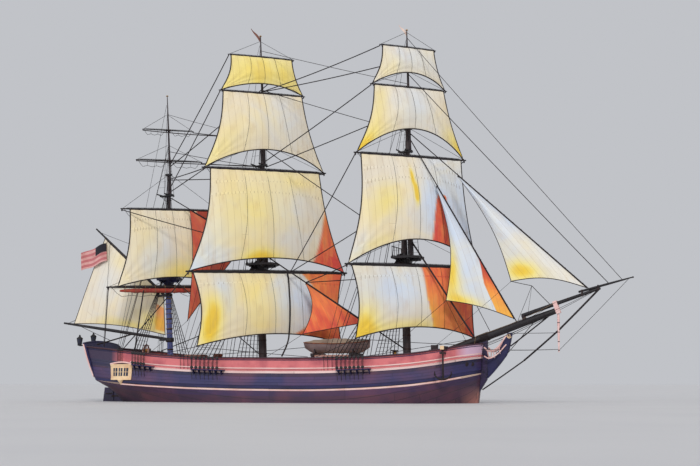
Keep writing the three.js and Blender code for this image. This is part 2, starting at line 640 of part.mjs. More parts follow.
function topmast(name) {
  const mast = MASTS[name];
  const r = TOPMAST_RADIUS[name];
  const stick = spar(V(0, 0, mast.top + GAP), V(0, 0, mast.topHead), [[0, r], [0.2, r], [1, r * 0.72]], 12);
  const trees = [[-0.75, 0.75], [0.05, 0.75]].map(([x, half]) =>
    block(x - 0.05, x + 0.05, -half * 1.3, half * 1.3, mast.trees - 0.1, mast.trees));
  const runners = [1, -1].map((side) =>
    block(-0.85, 0.42, side * 0.19 - 0.05, side * 0.19 + 0.05, mast.trees - 0.2, mast.trees - 0.08));
  const cap = block(-r - 0.05, AHEAD + GALLANT_RADIUS[name] + 0.06, -0.19, 0.19, mast.topHead - 0.02, mast.topHead + 0.16);
  const shelf = block(-0.1, AHEAD + 0.2, -0.2, 0.2, mast.trees - 0.16, mast.trees);
  return join(stick, ...trees, ...runners, cap, shelf);
}

// Radius of a topgallant mast at a height, parallel to 0.35 of its length and then tapering.
function gallantRadius(name, height) {
  const mast = MASTS[name];
  const share = (height - mast.trees) / (mast.truck - mast.trees);
  return GALLANT_RADIUS[name] * (1 - 0.6 * Math.max(0, (share - 0.35) / 0.65));
}

function gallantMast(name, extra = 0) {
  const mast = MASTS[name];
  const r = GALLANT_RADIUS[name];
  const stick = spar(V(AHEAD, 0, mast.trees + GAP - extra), V(AHEAD, 0, mast.truck), [[0, r], [0.35, r], [1, r * 0.4]], 12, extra);
  const truck = disc(0.12 + extra, mast.truck - 0.03, mast.truck + 0.07, 10).translate(AHEAD, 0, 0);
  return join(stick, truck);
}

// The hole through the cap that a mast passes, grown by the gap.
const passage = (x, radius, z0, z1, sides) => toSolid(disc(radius + GAP * 1.5, z0, z1, sides).translate(x, 0, 0));

for (const name of Object.keys(MASTS)) {
  const mast = MASTS[name];
  const r = TOPMAST_RADIUS[name];
  const bands = [trussBracket(name, YARDS[name][0][1])];
  if (name === 'mizzen') bands.push(disc(mast.radius + 0.12, 5.55, 5.7, 16).translate(-BEHIND[name], 0, 0));
  const topmastHole = passage(0, r, mast.head - 0.2, mast.head + 0.4, 12);
  piece(name + '_lower_mast', lowerMast(name, bands).subtract(topmastHole), 'mast', frames[name]);
  const upper = topmast(name);
  if (name === 'mizzen') {
    piece(name + '_topmast', upper.add(gallantMast(name)), 'mast', frames[name]);
  } else {
    const gallantRoom = passage(AHEAD, GALLANT_RADIUS[name], mast.topHead - 0.1, mast.topHead + 0.3, 12);
    piece(name + '_topmast', upper.subtract(gallantRoom).subtract(toSolid(
      disc(GALLANT_RADIUS[name] + GAP * 1.5, mast.trees, mast.topHead, 12).translate(AHEAD, 0, 0))), 'mast', frames[name]);
    piece(name + '_topgallant_mast', gallantMast(name), 'mast', frames[name]);
  }
}

// Yards and square sails

const YARD_RINGS = (r) => [[0, r * 0.45], [0.25, r * 0.85], [0.44, r], [0.56, r], [0.75, r * 0.85], [1, r * 0.45]];
const yardShape = ([, height, half, radius, ahead], extra = 0) =>
  spar(V(ahead, -half - extra, height), V(ahead, half + extra, height), YARD_RINGS(radius), 10, extra);

// Columns of the sail rows: name, yard it hangs from, half width at the head,
// half width at the clews, height of the clews, rise of the foot, belly.
const SAILS = {
  fore: [['fore_course', 0, 6.35, 6.05, 5.6, 0.95, 1.0], ['fore_topsail', 1, 5.15, 6.6, 12.0, 2.2, 1.25],
    ['fore_topgallant_sail', 2, 3.6, 5.5, 21.75, 2.3, 0.95], ['fore_royal_sail', 3, 2.65, 3.75, 28.0, 1.2, 0.6]],
  main: [['main_course', 0, 7.45, 7.2, 5.15, 0.95, 1.15], ['main_topsail', 1, 5.5, 7.75, 11.8, 1.15, 1.35],
    ['main_topgallant_sail', 2, 4.0, 6.0, 21.25, 1.75, 1.0], ['main_royal_sail', 3, 3.1, 4.15, 28.5, 0.75, 0.65]],
  mizzen: [['mizzen_topsail', 1, 4.1, 5.5, 10.7, 0.8, 0.85]],
};

// Middle of the cloth of a square sail. u runs from starboard to port, v down.
function squareSurface([, yardIndex, headHalf, footHalf, clewHeight, rise, belly], yards) {
  const [, headHeight, , , headAhead] = yards[yardIndex];
  const footAhead = yardIndex > 0 ? yards[yardIndex - 1][4] : headAhead;
  return (u, v) => {
    const side = u * 2 - 1;
    const bow = 1 - Math.abs(side) ** 2.4;
    const half = THREE.MathUtils.lerp(headHalf, footHalf, v) - 0.07 * footHalf * Math.sin(Math.PI * v);
    const foot = clewHeight + rise * (1 - side * side);
    const swell = belly * (bow * Math.sin(Math.PI * 0.72 * v) ** 0.8 + 0.22 * (1 - bow) * Math.sin(Math.PI * v));
    return V(
      THREE.MathUtils.lerp(headAhead, footAhead, v) + swell,
      side * half,
      THREE.MathUtils.lerp(headHeight, foot, v),
    );
  };
}

// Fork and pin that hold a lower yard to its truss, or a parrel round the topmast.
function yardFitting(name, index) {
  const [, height, , radius, ahead] = YARDS[name][index];
  if (index === 0) {
    const reach = ahead - 0.02;
    const top = height + TRUSS.thick / 2 + SEAT;
    const low = height - TRUSS.thick / 2 - SEAT;
    const upper = block(0, reach, -0.1, 0.1, top, top + TRUSS.ear);
    const lower = block(0, reach, -0.1, 0.1, low - TRUSS.ear, low);
    const heel = block(TRUSS.boss + CLEAR * 2, reach, -0.13, 0.13, low - TRUSS.ear, top + TRUSS.ear);
    const eyes = [disc(0.12, top, top + TRUSS.ear, 12), disc(0.12, low - TRUSS.ear, low, 12)];
    return join(upper, lower, heel, ...eyes);
  }
  const bore = (TOPMAST_RADIUS[name] + CLEAR) / Math.cos(Math.PI / 12);
  if (index === 1) {
    const ring = disc(bore + 0.07, height - 0.1, height + 0.1, 12, bore);
    const arm = block(bore + 0.02, ahead, -0.08, 0.08, height - 0.08, height + 0.08);
    return join(ring, arm);
  }
  const half = radius * 0.8;
  const bored = AHEAD + gallantRadius(name, height - half) + SEAT;
  return toSolid(saddle(bored, ahead, half).translate(0, 0, height));
}

// A block behind an upper yard, hollowed to slide round the front of the mast.
function saddle(bore, ahead, half) {
  const points = [];
  for (let turn = -48; turn <= 48; turn += 12) {
    const angle = THREE.MathUtils.degToRad(turn);
    const reach = bore / Math.cos(Math.PI / 30);
    points.push(new THREE.Vector2(Math.cos(angle) * reach, Math.sin(angle) * reach));
  }
  const wide = points[points.length - 1].y;
  points.push(new THREE.Vector2(ahead, wide), new THREE.Vector2(ahead, -wide));
  const geometry = new THREE.ExtrudeGeometry(new THREE.Shape(points), { depth: half * 2, bevelEnabled: false });
  return geometry.translate(0, 0, -half);
}

// The crossjack sail is furled: its cloth is a roll lashed under the yard.
const FURLED = { half: 5.3, radius: 0.2, below: 0.27, behind: 0.05 };
function furledRoll([, height, , , ahead]) {
  const { half, radius, below, behind } = FURLED;
  return toSolid(spar(V(ahead - behind, -half, height - below), V(ahead - behind, half, height - below),
    [[0, radius * 0.4], [0.12, radius * 0.85], [0.5, radius], [0.88, radius * 0.85], [1, radius * 0.4]], 12));
}

for (const name of Object.keys(YARDS)) {
  const turning = new THREE.Group();
  turning.rotation.z = -BRACE;
  frames[name].add(turning);
  YARDS[name].forEach((row, index) => {
    const yard = toSolid(yardShape(row)).add(yardFitting(name, index));
    piece(row[0], row[0] === 'crossjack_yard' ? yard.add(furledRoll(row)) : yard, 'spar', turning);
  });
  for (const row of SAILS[name]) {
    let cloth = toSolid(sheet(squareSurface(row, YARDS[name]), V(1, 0, 0), 8, 6));
    for (const yardIndex of [row[1], row[1] - 1]) {
      if (yardIndex < 0) continue;
      const yard = YARDS[name][yardIndex];
      cloth = cloth.subtract(toSolid(yardShape(yard, GAP * 1.2)));
      const [, height, , radius, ahead] = yard;
      cloth = cloth.subtract(toSolid(block(-2, 3, -1, 1, height - radius * 0.2, height + 1)));
      cloth = cloth.subtract(toSolid(block(ahead - 2, ahead + 3, -8.5, 8.5, yardIndex === row[1] ? height : height - 1,
        yardIndex === row[1] ? height + 1 : height)));
    }
    piece(row[0], cloth, 'canvas', turning);
  }
}

// Stays, each a straight rope between two masts or a mast and the bowsprit.
const STAY = 0.045;
const forward = (name, ahead, height) => onMast(name, V(ahead, 0, height));
const spritPoint = (x) => V(x, 0, THREE.MathUtils.lerp(BOWSPRIT_HEEL.z, BOWSPRIT_CAP.z,
  (x - BOWSPRIT_HEEL.x) / (BOWSPRIT_CAP.x - BOWSPRIT_HEEL.x)));
const boomPoint = (x) => V(x, 0, THREE.MathUtils.lerp(JIB_BOOM_HEEL.z, JIB_BOOM_END.z,
  (x - JIB_BOOM_HEEL.x) / (JIB_BOOM_END.x - JIB_BOOM_HEEL.x)));
const STAYS = {
  fore_stay: [forward('fore', 0.1, 14.2), spritPoint(16.3)],
  fore_topmast_stay: [forward('fore', 0.1, 23.6), spritPoint(20.0)],
  jib_stay: [forward('fore', 0.1, 24.0), boomPoint(26.3)],
  main_stay: [forward('main', 0.1, 13.3), V(9.8, 0, 4.7)],
  mizzen_topmast_stay: [forward('mizzen', 0.1, 19.2), forward('main', -0.7, 13.9)],
};
const meshSolid = (name) => {
  let found;
  ship.updateMatrixWorld(true);
  ship.traverse((o) => { if (o.name === name) found = o; });
  return toSolid(found.geometry.clone().applyMatrix4(found.matrixWorld));
};
const ANCHORED = {
  fore_stay: ['fore_lower_mast', 'fore_topmast', 'bowsprit', 'bulwark_starboard', 'bulwark_port', 'hull'],
  fore_topmast_stay: ['fore_topmast', 'fore_topgallant_mast', 'bowsprit', 'jib_boom'],
  jib_stay: ['fore_topmast', 'fore_topgallant_mast', 'jib_boom'],
  main_stay: ['main_lower_mast', 'main_topmast', 'fore_lower_mast', 'hull'],
  mizzen_topmast_stay: ['mizzen_topmast', 'main_lower_mast', 'main_topmast'],
};
for (const [name, [from, to]] of Object.entries(STAYS)) {
  let rope = toSolid(rod(from, to, STAY, 6));
  const step = to.clone().sub(from).setLength(GAP * 1.4);
  for (const other of ANCHORED[name]) {
    const solid = meshSolid(other);
    for (const way of [0, 1, -1]) {
      rope = rope.subtract(solid.translate([step.x * way, step.y * way, step.z * way]));
    }
  }
  piece(name, biggest(rope), 'rope');
}

// Fore-and-aft sails. Rows give the head, tack and clew, the belly to starboard
// and how far the leech is hollowed.
const stayPoint = (name, share) => STAYS[name][0].clone().lerp(STAYS[name][1], share);
const STAYSAILS = [
  ['fore_topmast_staysail', 'fore_topmast_stay', 0.27, 0.965, V(13.75, -0.4, 8.85), 0.5, 0.08, 0.25],
  ['jib', 'jib_stay', 0.285, 0.975, V(19.6, -0.75, 10.35), 0.7, 0.06, 0.5],
  ['main_staysail', 'main_stay', 0.3, 0.72, V(0.35, -0.3, 6.1), 0.35, 0.16, 0.0],
  ['mizzen_staysail', 'mizzen_topmast_stay', 0.24, 0.86, V(-11.2, -0.25, 7.5), 0.4, 0.06, 0.0],
];
function triangleSurface(head, tack, clew, belly, hollow, rise) {
  const top = head.clone().lerp(clew, 0.03);
  return (u, v) => {
    const luff = head.clone().lerp(tack, v);
    const leech = top.clone().lerp(clew, v);
    const inward = tack.clone().sub(clew).setLength(head.distanceTo(clew) * hollow * Math.sin(Math.PI * v));
    leech.add(inward);
    const point = luff.lerp(leech, u);
    const round = Math.sin(Math.PI * u * 0.92) * Math.sin(Math.PI * (0.12 + 0.72 * v));
    point.y -= belly * round;
    point.z += rise * Math.sin(Math.PI * u) * v * v;
    return point;
  };
}
const shaded = ['main_staysail', 'mizzen_staysail'];
for (const [name, stay, from, to, clew, belly, hollow, rise] of STAYSAILS) {
  const surface = triangleSurface(stayPoint(stay, from), stayPoint(stay, to), clew, belly, hollow, rise);
  const [a, b] = STAYS[stay];
  const rope = toSolid(spar(a, b, [[0, STAY], [1, STAY]], 6, GAP * 1.3));
  let cloth = toSolid(sheet(surface, V(0, 1, 0), 6, 7)).subtract(rope);
  cloth = biggest(cloth);
  piece(name, cloth, shaded.includes(name) ? 'shadedCanvas' : 'canvas');
}

// Spanker: boom, gaff and sail swing together about the mizzen mast.
const JAW = 5.7 + SEAT;
const mizzenInverse = frames.mizzen.matrixWorld.clone().invert();
const local = (p) => p.clone().applyMatrix4(mizzenInverse);
const BOOM_END = local(V(-24.5, 0, 7.45));
const GAFF_END = local(V(-21.2, 0, 16.45));
const jawBore = (MASTS.mizzen.radius + CLEAR * 1.2) / Math.cos(Math.PI / 12);
const BOOM_ROOT = V(-BEHIND.mizzen - jawBore - 0.03, 0, JAW + 0.17);
const GAFF_ROOT = V(-BEHIND.mizzen - jawBore - 0.03, 0, 9.95);

function jawed(root, end, rings, sides = 10) {
  const stick = spar(root, end, rings, sides);
  const ring = disc(jawBore + 0.09, -0.12, 0.12, 12, jawBore).translate(-BEHIND.mizzen, 0, 0);
  return { stick, ring };
}
const boomRings = (r) => [[0, r * 0.8], [0.45, r], [1, r * 0.6]];
const boomParts = jawed(BOOM_ROOT, BOOM_END, boomRings(0.15));
boomParts.ring.translate(0, 0, JAW + 0.12);
piece('spanker_boom', join(boomParts.stick, boomParts.ring), 'spar', frames.mizzen);
const gaffParts = jawed(GAFF_ROOT, GAFF_END, boomRings(0.12));
gaffParts.ring.translate(0, 0, 9.95);
piece('spanker_gaff', join(gaffParts.stick, gaffParts.ring), 'spar', frames.mizzen);

const SPANKER = {
  tack: V(BOOM_ROOT.x - 0.15, 0, BOOM_ROOT.z + 0.4),
  throat: V(GAFF_ROOT.x - 0.15, 0, GAFF_ROOT.z + 0.08),
  peak: GAFF_ROOT.clone().lerp(GAFF_END, 0.875),
  clew: BOOM_ROOT.clone().lerp(BOOM_END, 0.9).add(V(0, 0, 0.1)),
};
function spankerSurface(u, v) {
  const head = SPANKER.throat.clone().lerp(SPANKER.peak, u);
  const foot = SPANKER.tack.clone().lerp(SPANKER.clew, u);
  foot.z += 0.35 * Math.sin(Math.PI * u);
  const point = head.lerp(foot, v);
  point.y -= 0.55 * Math.sin(Math.PI * Math.min(1, u * 0.95)) * Math.sin(Math.PI * v * 0.9);
  return point;
}
const gaffRoom = toSolid(spar(GAFF_ROOT, GAFF_END, boomRings(0.12), 10, GAP * 1.2));
const boomRoom = toSolid(spar(BOOM_ROOT, BOOM_END, boomRings(0.15), 10, GAP * 1.2));
const spankerCloth = biggest(toSolid(sheet(spankerSurface, V(0, 1, 0), 7, 6)).subtract(gaffRoom).subtract(boomRoom));
piece('spanker', spankerCloth, 'canvas', frames.mizzen);

// Ensign under the gaff, on a halyard to starboard of the spanker.
const halyardTop = GAFF_ROOT.clone().lerp(GAFF_END, 0.83);
const hoist = halyardTop.clone().add(V(0, -0.3, -0.3));
function ensignSurface(u, v) {
  const out = u * 2.6;
  const wave = 0.14 * Math.sin(u * 7);
  return V(hoist.x - out, hoist.y - 0.25 * u - wave, hoist.z - 1.7 * v - 0.2 * out + 0.05 * Math.sin(u * 9));
}
const halyard = [halyardTop, hoist, hoist.clone().add(V(0, 0, -1.75))];
const halyardShape = join(rod(halyard[0], halyard[1], 0.035, 6), rod(halyard[1].clone().add(V(0, 0, 0.03)), halyard[2], 0.035, 6));
piece('ensign', biggest(toSolid(sheet(ensignSurface, V(0, 1, 0), 10, 3)).add(halyardShape).subtract(gaffRoom)),
  'ensign', frames.mizzen);

ship.scale.setScalar(MM_PER_METRE);
ship.updateMatrixWorld(true);

export default ship;
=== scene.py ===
# %% [markdown]
# # A full-rigged ship under sail
# The ship is a half-size model of a three-master. Its packed construction comes as a frame,
# and this script dresses it: planked hull, filled canvas, tarred rigging. Every size below is
# in metres of the real ship, and each mesh is scaled to the model when it is made, because a
# shipwright's numbers are easier to check than halved ones.

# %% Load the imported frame
from math import atan2, cos, exp, hypot, pi, radians, sin, tan

import bmesh
import bpy
import numpy as np
from mathutils import Matrix, Vector


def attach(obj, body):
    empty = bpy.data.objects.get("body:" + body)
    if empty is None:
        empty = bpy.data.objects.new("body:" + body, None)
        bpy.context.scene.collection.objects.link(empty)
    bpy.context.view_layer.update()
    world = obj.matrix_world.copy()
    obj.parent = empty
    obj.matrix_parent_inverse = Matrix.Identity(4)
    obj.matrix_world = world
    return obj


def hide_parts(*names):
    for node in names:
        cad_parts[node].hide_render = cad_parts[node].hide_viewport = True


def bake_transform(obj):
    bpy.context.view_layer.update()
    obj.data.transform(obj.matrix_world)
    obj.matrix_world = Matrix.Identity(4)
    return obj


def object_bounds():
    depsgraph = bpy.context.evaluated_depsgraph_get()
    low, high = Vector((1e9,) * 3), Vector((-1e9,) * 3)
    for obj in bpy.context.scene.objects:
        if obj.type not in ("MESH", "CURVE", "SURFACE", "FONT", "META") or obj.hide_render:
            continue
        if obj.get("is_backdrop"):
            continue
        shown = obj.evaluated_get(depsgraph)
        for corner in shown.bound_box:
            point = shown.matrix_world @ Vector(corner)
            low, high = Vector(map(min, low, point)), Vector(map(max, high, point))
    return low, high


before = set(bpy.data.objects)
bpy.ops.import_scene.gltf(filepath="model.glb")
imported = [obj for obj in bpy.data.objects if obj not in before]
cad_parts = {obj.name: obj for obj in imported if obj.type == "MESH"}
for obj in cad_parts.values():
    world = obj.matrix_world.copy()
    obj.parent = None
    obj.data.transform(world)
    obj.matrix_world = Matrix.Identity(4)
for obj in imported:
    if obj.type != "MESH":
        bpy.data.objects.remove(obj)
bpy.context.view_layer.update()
MODEL = 0.5  # metres of model for each metre of ship
MILLIMETRE = 0.001 / MODEL  # a millimetre of the model, in metres of the ship

# %% [markdown]
# The three masts lean aft a little. A mast is easiest to describe on its own upright axis,
# so each gets a matrix that carries a point (ahead, to port, up) into the ship. A second
# matrix does the same for its yards, which are braced 42 degrees with the port ends forward.

# %% Places on the masts
BRACE = radians(42)
MASTS = {
    # x and rake, heights from foot to truck, radii, distance of the lower mast behind the axis, then
    # the size of the top, the ends of the channel and the number of shrouds
    "fore": dict(x=10.7, rake=1.3, foot=3.5, top=12.75, head=14.7, trees=22.35, topHead=24.2, truck=33.3,
                 radius=0.35, topmast=0.23, gallant=0.12, behind=0.56,
                 size=1.0, channel=(5.2, 8.2), shrouds=7),
    "main": dict(x=-2.95, rake=2.4, foot=3.2, top=12.55, head=14.5, trees=21.85, topHead=23.7, truck=34.0,
                 radius=0.37, topmast=0.24, gallant=0.125, behind=0.58,
                 size=1.0, channel=(-8.6, -5.4), shrouds=7),
    "mizzen": dict(x=-12.4, rake=3.2, foot=3.65, top=11.45, head=13.1, trees=19.5, topHead=21.3, truck=29.0,
                   radius=0.27, topmast=0.17, gallant=0.09, behind=0.44,
                   size=0.75, channel=(-14.7, -12.5), shrouds=5),
}
SIDES = {"starboard": -1, "port": 1}
AHEAD = 0.2  # the topgallant mast stands this far ahead of the axis that the yards turn about
MAST_PLACE = {name: Matrix.Translation((m["x"], 0, 0)) @ Matrix.Rotation(-radians(m["rake"]), 4, "Y")
              for name, m in MASTS.items()}
YARD_PLACE = {name: place @ Matrix.Rotation(-BRACE, 4, "Z") for name, place in MAST_PLACE.items()}


def on_mast(mast, ahead, out, height):
    return MAST_PLACE[mast] @ Vector((ahead, out, height))


def on_yards(mast, ahead, port, height):
    return YARD_PLACE[mast] @ Vector((ahead, port, height))


def lerp(a, b, t):
    return a + (b - a) * t


def smooth(x, low, high):
    """Rises from 0 at low to 1 at high, without a kink at either end."""
    t = min(max((x - low) / (high - low), 0.0), 1.0)
    return t * t * (3 - 2 * t)


def arc(reach, count):
    """Points (across, up) at one distance from the middle, once round."""
    return [(reach * cos(t), reach * sin(t)) for t in np.linspace(0.0, 2 * pi, count)]


print("masts", list(MASTS))

# %% [markdown]
# A maker gathers faces and turns them into one mesh. Turned wood is a profile spun round a
# line, planks are boxes, and bent timbers are sections joined into a skin. At the end the
# doubled points are merged, the faces are turned outwards and edges above 35 degrees are kept
# crisp, so a round spar shades smoothly while its ends stay sharp.

# %% Mesh maker
class Maker:
    def __init__(self, place=None):
        self.place = place or Matrix.Identity(4)
        self.points, self.faces, self.slots, self.uvs, self.marks = [], [], [], [], {}

    def add(self, points, faces, slot=0, uvs=None):
        base = len(self.points)
        self.points += [self.place @ Vector(p) for p in points]
        self.uvs += uvs if uvs else [(0.0, 0.0)] * len(points)
        self.faces += [[base + i for i in face] for face in faces]
        self.slots += [slot] * len(faces)

    def box(self, low, high, slot=0, turn=None):
        corners = [Vector((x, y, z)) for x in (low[0], high[0]) for y in (low[1], high[1])
                   for z in (low[2], high[2])]
        if turn:
            corners = [turn @ c for c in corners]
        sides = [(0, 1, 3, 2), (4, 6, 7, 5), (0, 4, 5, 1), (2, 3, 7, 6), (0, 2, 6, 4), (1, 5, 7, 3)]
        self.add(corners, sides, slot)

    def loft(self, rings, slot=0):
        count = len(rings[0])
        faces = [(r * count + i, r * count + (i + 1) % count, (r + 1) * count + (i + 1) % count,
                  (r + 1) * count + i) for r in range(len(rings) - 1) for i in range(count)]
        last = (len(rings) - 1) * count
        faces += [tuple(reversed(range(count))), tuple(range(last, last + count))]
        self.add([p for ring in rings for p in ring], faces, slot)

    def prism(self, outline, low, high, slot=0, axis=2):
        """An outline of two coordinates, raised along the third from low to high."""
        def put(a, b, c):
            return {0: (c, a, b), 1: (a, c, b), 2: (a, b, c)}[axis]
        self.loft([[Vector(put(a, b, c)) for a, b in outline] for c in (low, high)], slot)

    def lathe(self, a, b, profile, sides=16, slot=0):
        """Spins (distance along the line, radius) round the line from a to b."""
        a, along = Vector(a), (Vector(b) - Vector(a)).normalized()
        side = along.orthogonal().normalized()
        up = along.cross(side)
        turns = [2 * pi * i / sides for i in range(sides)]
        self.loft([[a + along * reach + (side * cos(t) + up * sin(t)) * max(radius, 0.002) for t in turns]
                   for reach, radius in profile], slot)

    def turned(self, foot, profile, sides=16, slot=0):
        """Spins (height, radius) round an upright line."""
        self.lathe(foot, Vector(foot) + Vector((0, 0, 1)), profile, sides, slot)
    def spar(self, a, b, profile, sides=20, slot=0, steps=4):
        """A long tapered stick. The profile holds (share of the length, radius)."""
        length = (Vector(b) - Vector(a)).length
        rings = []
        for (s0, r0), (s1, r1) in zip(profile, profile[1:]):
            rings += [(lerp(s0, s1, k / steps) * length, lerp(r0, r1, sin(k / steps * pi / 2) if r1 > r0
                      else 1 - cos(k / steps * pi / 2))) for k in range(steps)]
        end = profile[-1][1]
        rings += [(length - end * 0.3, end), (length, end * 0.8)]
        rings = [(0, profile[0][1] * 0.8), (profile[0][1] * 0.3, profile[0][1])] + rings[1:]
        self.lathe(a, b, rings, sides, slot)

    def hoop(self, centre, along, radius, width, slot=0, sides=20, proud=0.025):
        """A band round a spar, with a small chamfer at both edges."""
        centre, along = Vector(centre), Vector(along).normalized()
        a = centre - along * width / 2
        outer, chamfer = radius + proud, 0.01
        band = [(0, radius), (chamfer, outer), (width - chamfer, outer), (width, radius)]
        self.lathe(a, a + along, band, sides, slot)

    def tube(self, path, radius, sides=8, slot=0):
        path = [Vector(p) for p in path]
        rings, side = [], None
        for i, p in enumerate(path):
            along = (path[min(i + 1, len(path) - 1)] - path[max(i - 1, 0)]).normalized()
            side = (side - along * side.dot(along)).normalized() if side else along.orthogonal().normalized()
            up = along.cross(side)
            r = radius[i] if hasattr(radius, "__len__") else radius
            rings.append([p + (side * cos(t) + up * sin(t)) * r
                          for t in (2 * pi * k / sides for k in range(sides))])
        self.loft(rings, slot)

    def ball(self, centre, radius, slot=0, sides=12, rows=7, squeeze=1.0):
        half = radius * squeeze
        turns = [pi * i / rows for i in range(rows + 1)]
        self.lathe(Vector(centre) - Vector((0, 0, half)), Vector(centre) + Vector((0, 0, 1)),
                   [(half * (1 - cos(t)), radius * sin(t)) for t in turns], sides, slot)

    def make(self, name, materials, body=None, bevel=0.0, crisp=35):
        mesh = bpy.data.meshes.new(name)
        mesh.from_pydata([p * MODEL for p in self.points], [], self.faces)
        mesh.polygons.foreach_set("material_index", self.slots)
        corner = np.zeros(len(mesh.loops), int)
        mesh.loops.foreach_get("vertex_index", corner)
        mesh.uv_layers.new(name="UVMap").data.foreach_set("uv", np.array(self.uvs, float)[corner].ravel())
        for mark, values in self.marks.items():
            mesh.attributes.new(mark, "FLOAT", "POINT").data.foreach_set("value", values)
        work = bmesh.new()
        work.from_mesh(mesh)
        bmesh.ops.remove_doubles(work, verts=work.verts, dist=1e-5)
        bmesh.ops.recalc_face_normals(work, faces=work.faces)
        work.to_mesh(mesh)
        work.free()
        mesh.polygons.foreach_set("use_smooth", [True] * len(mesh.polygons))
        mesh.set_sharp_from_angle(angle=radians(crisp))
        obj = bpy.data.objects.new(name, mesh)
        bpy.context.scene.collection.objects.link(obj)
        for finish in materials if isinstance(materials, (list, tuple)) else [materials]:
            mesh.materials.append(finish)
        if bevel:
            edge = obj.modifiers.new("Softened edges", "BEVEL")
            edge.width, edge.segments, edge.limit_method = bevel * MODEL, 2, "ANGLE"
            edge.angle_limit = radians(50)
        if body:
            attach(obj, body)
        return obj


def dress(piece, *nodes, slot=None):
    """The piece stands for these nodes of the frame."""
    for node_name in nodes:
        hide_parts(node_name)
    return piece


print("maker ready")

# %% [markdown]
# ## Finishes
# Wood, paint, canvas and hemp share a few effects: grime in patches, plank seams and a woven
# thread. Each effect is a node group with its own inputs, built once, so every material can
# place it with its own values. Colours are given as they look on a screen.

# %% Node helpers
def effect(name, inputs, outputs):
    tree = bpy.data.node_groups.new(name, "ShaderNodeTree")
    for socket, kind, value in inputs:
        made = tree.interface.new_socket(socket, in_out="INPUT", socket_type="NodeSocket" + kind)
        if value is not None:
            made.default_value = value
    for socket in outputs:
        tree.interface.new_socket(socket, in_out="OUTPUT", socket_type="NodeSocketFloat")
    return tree, tree.nodes.new("NodeGroupInput").outputs, tree.nodes.new("NodeGroupOutput").inputs


def node(tree, kind, links=None, **values):
    made = tree.nodes.new(kind)
    for key, value in values.items():
        setattr(made, key, value)
    for socket, value in (links or {}).items():
        if isinstance(value, bpy.types.NodeSocket):
            tree.links.new(value, made.inputs[socket])
        else:
            made.inputs[socket].default_value = value
    return made


def maths(tree, operation, a, b=None, clamp=False):
    return node(tree, "ShaderNodeMath", {0: a} if b is None else {0: a, 1: b}, operation=operation,
                use_clamp=clamp).outputs[0]


def times(tree, a, b):
    return maths(tree, "MULTIPLY", a, b)


def plus(tree, a, b, clamp=False):
    return maths(tree, "ADD", a, b, clamp)


def split(tree, vector):
    return node(tree, "ShaderNodeSeparateXYZ", {0: vector}).outputs


def stored(tree, mark):
    """A number that the mesh carries."""
    return node(tree, "ShaderNodeAttribute", attribute_name=mark).outputs["Fac"]


def stretched(tree, vector, scale):
    return node(tree, "ShaderNodeMapping", {"Vector": vector, "Scale": scale}).outputs[0]


def noise(tree, vector, scale, detail, distortion=0.0):
    return node(tree, "ShaderNodeTexNoise", {"Vector": vector, "Scale": scale, "Detail": detail,
                                             "Distortion": distortion}).outputs[0]


def mix(tree, factor, a, b):
    return node(tree, "ShaderNodeMix", {0: factor, 6: a, 7: b}, data_type="RGBA").outputs[2]


def span(tree, value, low, high, to_low=0.0, to_high=1.0):
    return node(tree, "ShaderNodeMapRange", {0: value, 1: low, 2: high, 3: to_low, 4: to_high}).outputs[0]


def steps(tree, value, stops):
    """Plain bands of colour, each from its place to the next."""
    ramp = node(tree, "ShaderNodeValToRGB", {0: value})
    ramp.color_ramp.interpolation = "CONSTANT"
    while len(ramp.color_ramp.elements) < len(stops):
        ramp.color_ramp.elements.new(1.0)
    for element, (place, colour) in zip(ramp.color_ramp.elements, stops):
        element.position, element.color = place, colour
    return ramp.outputs[0]


def shade(*levels):
    """A colour as a screen shows it, red, green and blue from 0 to 255, made linear."""
    return tuple(c / 3294.6 if c <= 10.31 else ((c / 255 + 0.055) / 1.055) ** 2.4 for c in levels) + (1.0,)


print("a middle grey on the screen is", shade(128, 128, 128)[0], "in linear light")

# %% Grime, planks and weave
grime_effect, gi, go = effect("Grime", [("Vector", "Vector", None), ("Scale", "Float", 3.0),
                                        ("Amount", "Float", 0.5)], ["Mask", "Fine"])
patches = span(grime_effect, noise(grime_effect, gi[0], gi[1], 6.0), 0.42, 0.72)
grime_effect.links.new(maths(grime_effect, "MULTIPLY", patches, gi[2], True), go[0])
grime_effect.links.new(noise(grime_effect, gi[0], 40.0, 3.0), go[1])

plank_effect, gi, go = effect("Planks", [("Along", "Float", 0.0), ("Across", "Float", 0.0),
                                         ("Length", "Float", 6.0), ("Seam", "Float", 0.06)], ["Seam", "Tone"])
strake = maths(plank_effect, "FLOOR", gi[1])
stagger = node(plank_effect, "ShaderNodeTexWhiteNoise", {"W": strake}, noise_dimensions="1D").outputs[0]
butt = plus(plank_effect, maths(plank_effect, "DIVIDE", gi[0], gi[2]), times(plank_effect, stagger, 7.0))
plank_number = plus(plank_effect, times(plank_effect, strake, 17.0), maths(plank_effect, "FLOOR", butt))
plank_tone = node(plank_effect, "ShaderNodeTexWhiteNoise", {"W": plank_number},
                  noise_dimensions="1D").outputs[0]
long_seam = maths(plank_effect, "LESS_THAN", maths(plank_effect, "PINGPONG", gi[1], 0.5), gi[3])
from_butt = times(plank_effect, maths(plank_effect, "PINGPONG", butt, 0.5), gi[2])
end_seam = maths(plank_effect, "LESS_THAN", from_butt, 0.02)
plank_effect.links.new(maths(plank_effect, "MAXIMUM", long_seam, end_seam), go[0])
plank_effect.links.new(plank_tone, go[1])

weave_effect, gi, go = effect("Weave", [("Vector", "Vector", None), ("Threads", "Float", 14.0)], ["Height"])
threads = [node(weave_effect, "ShaderNodeTexWave", {"Vector": gi[0], "Scale": gi[1], "Distortion": 0.3},
                bands_direction=way).outputs[1] for way in "XY"]
weave_effect.links.new(times(weave_effect, *threads), go[0])
print("effects", [g.name for g in bpy.data.node_groups])


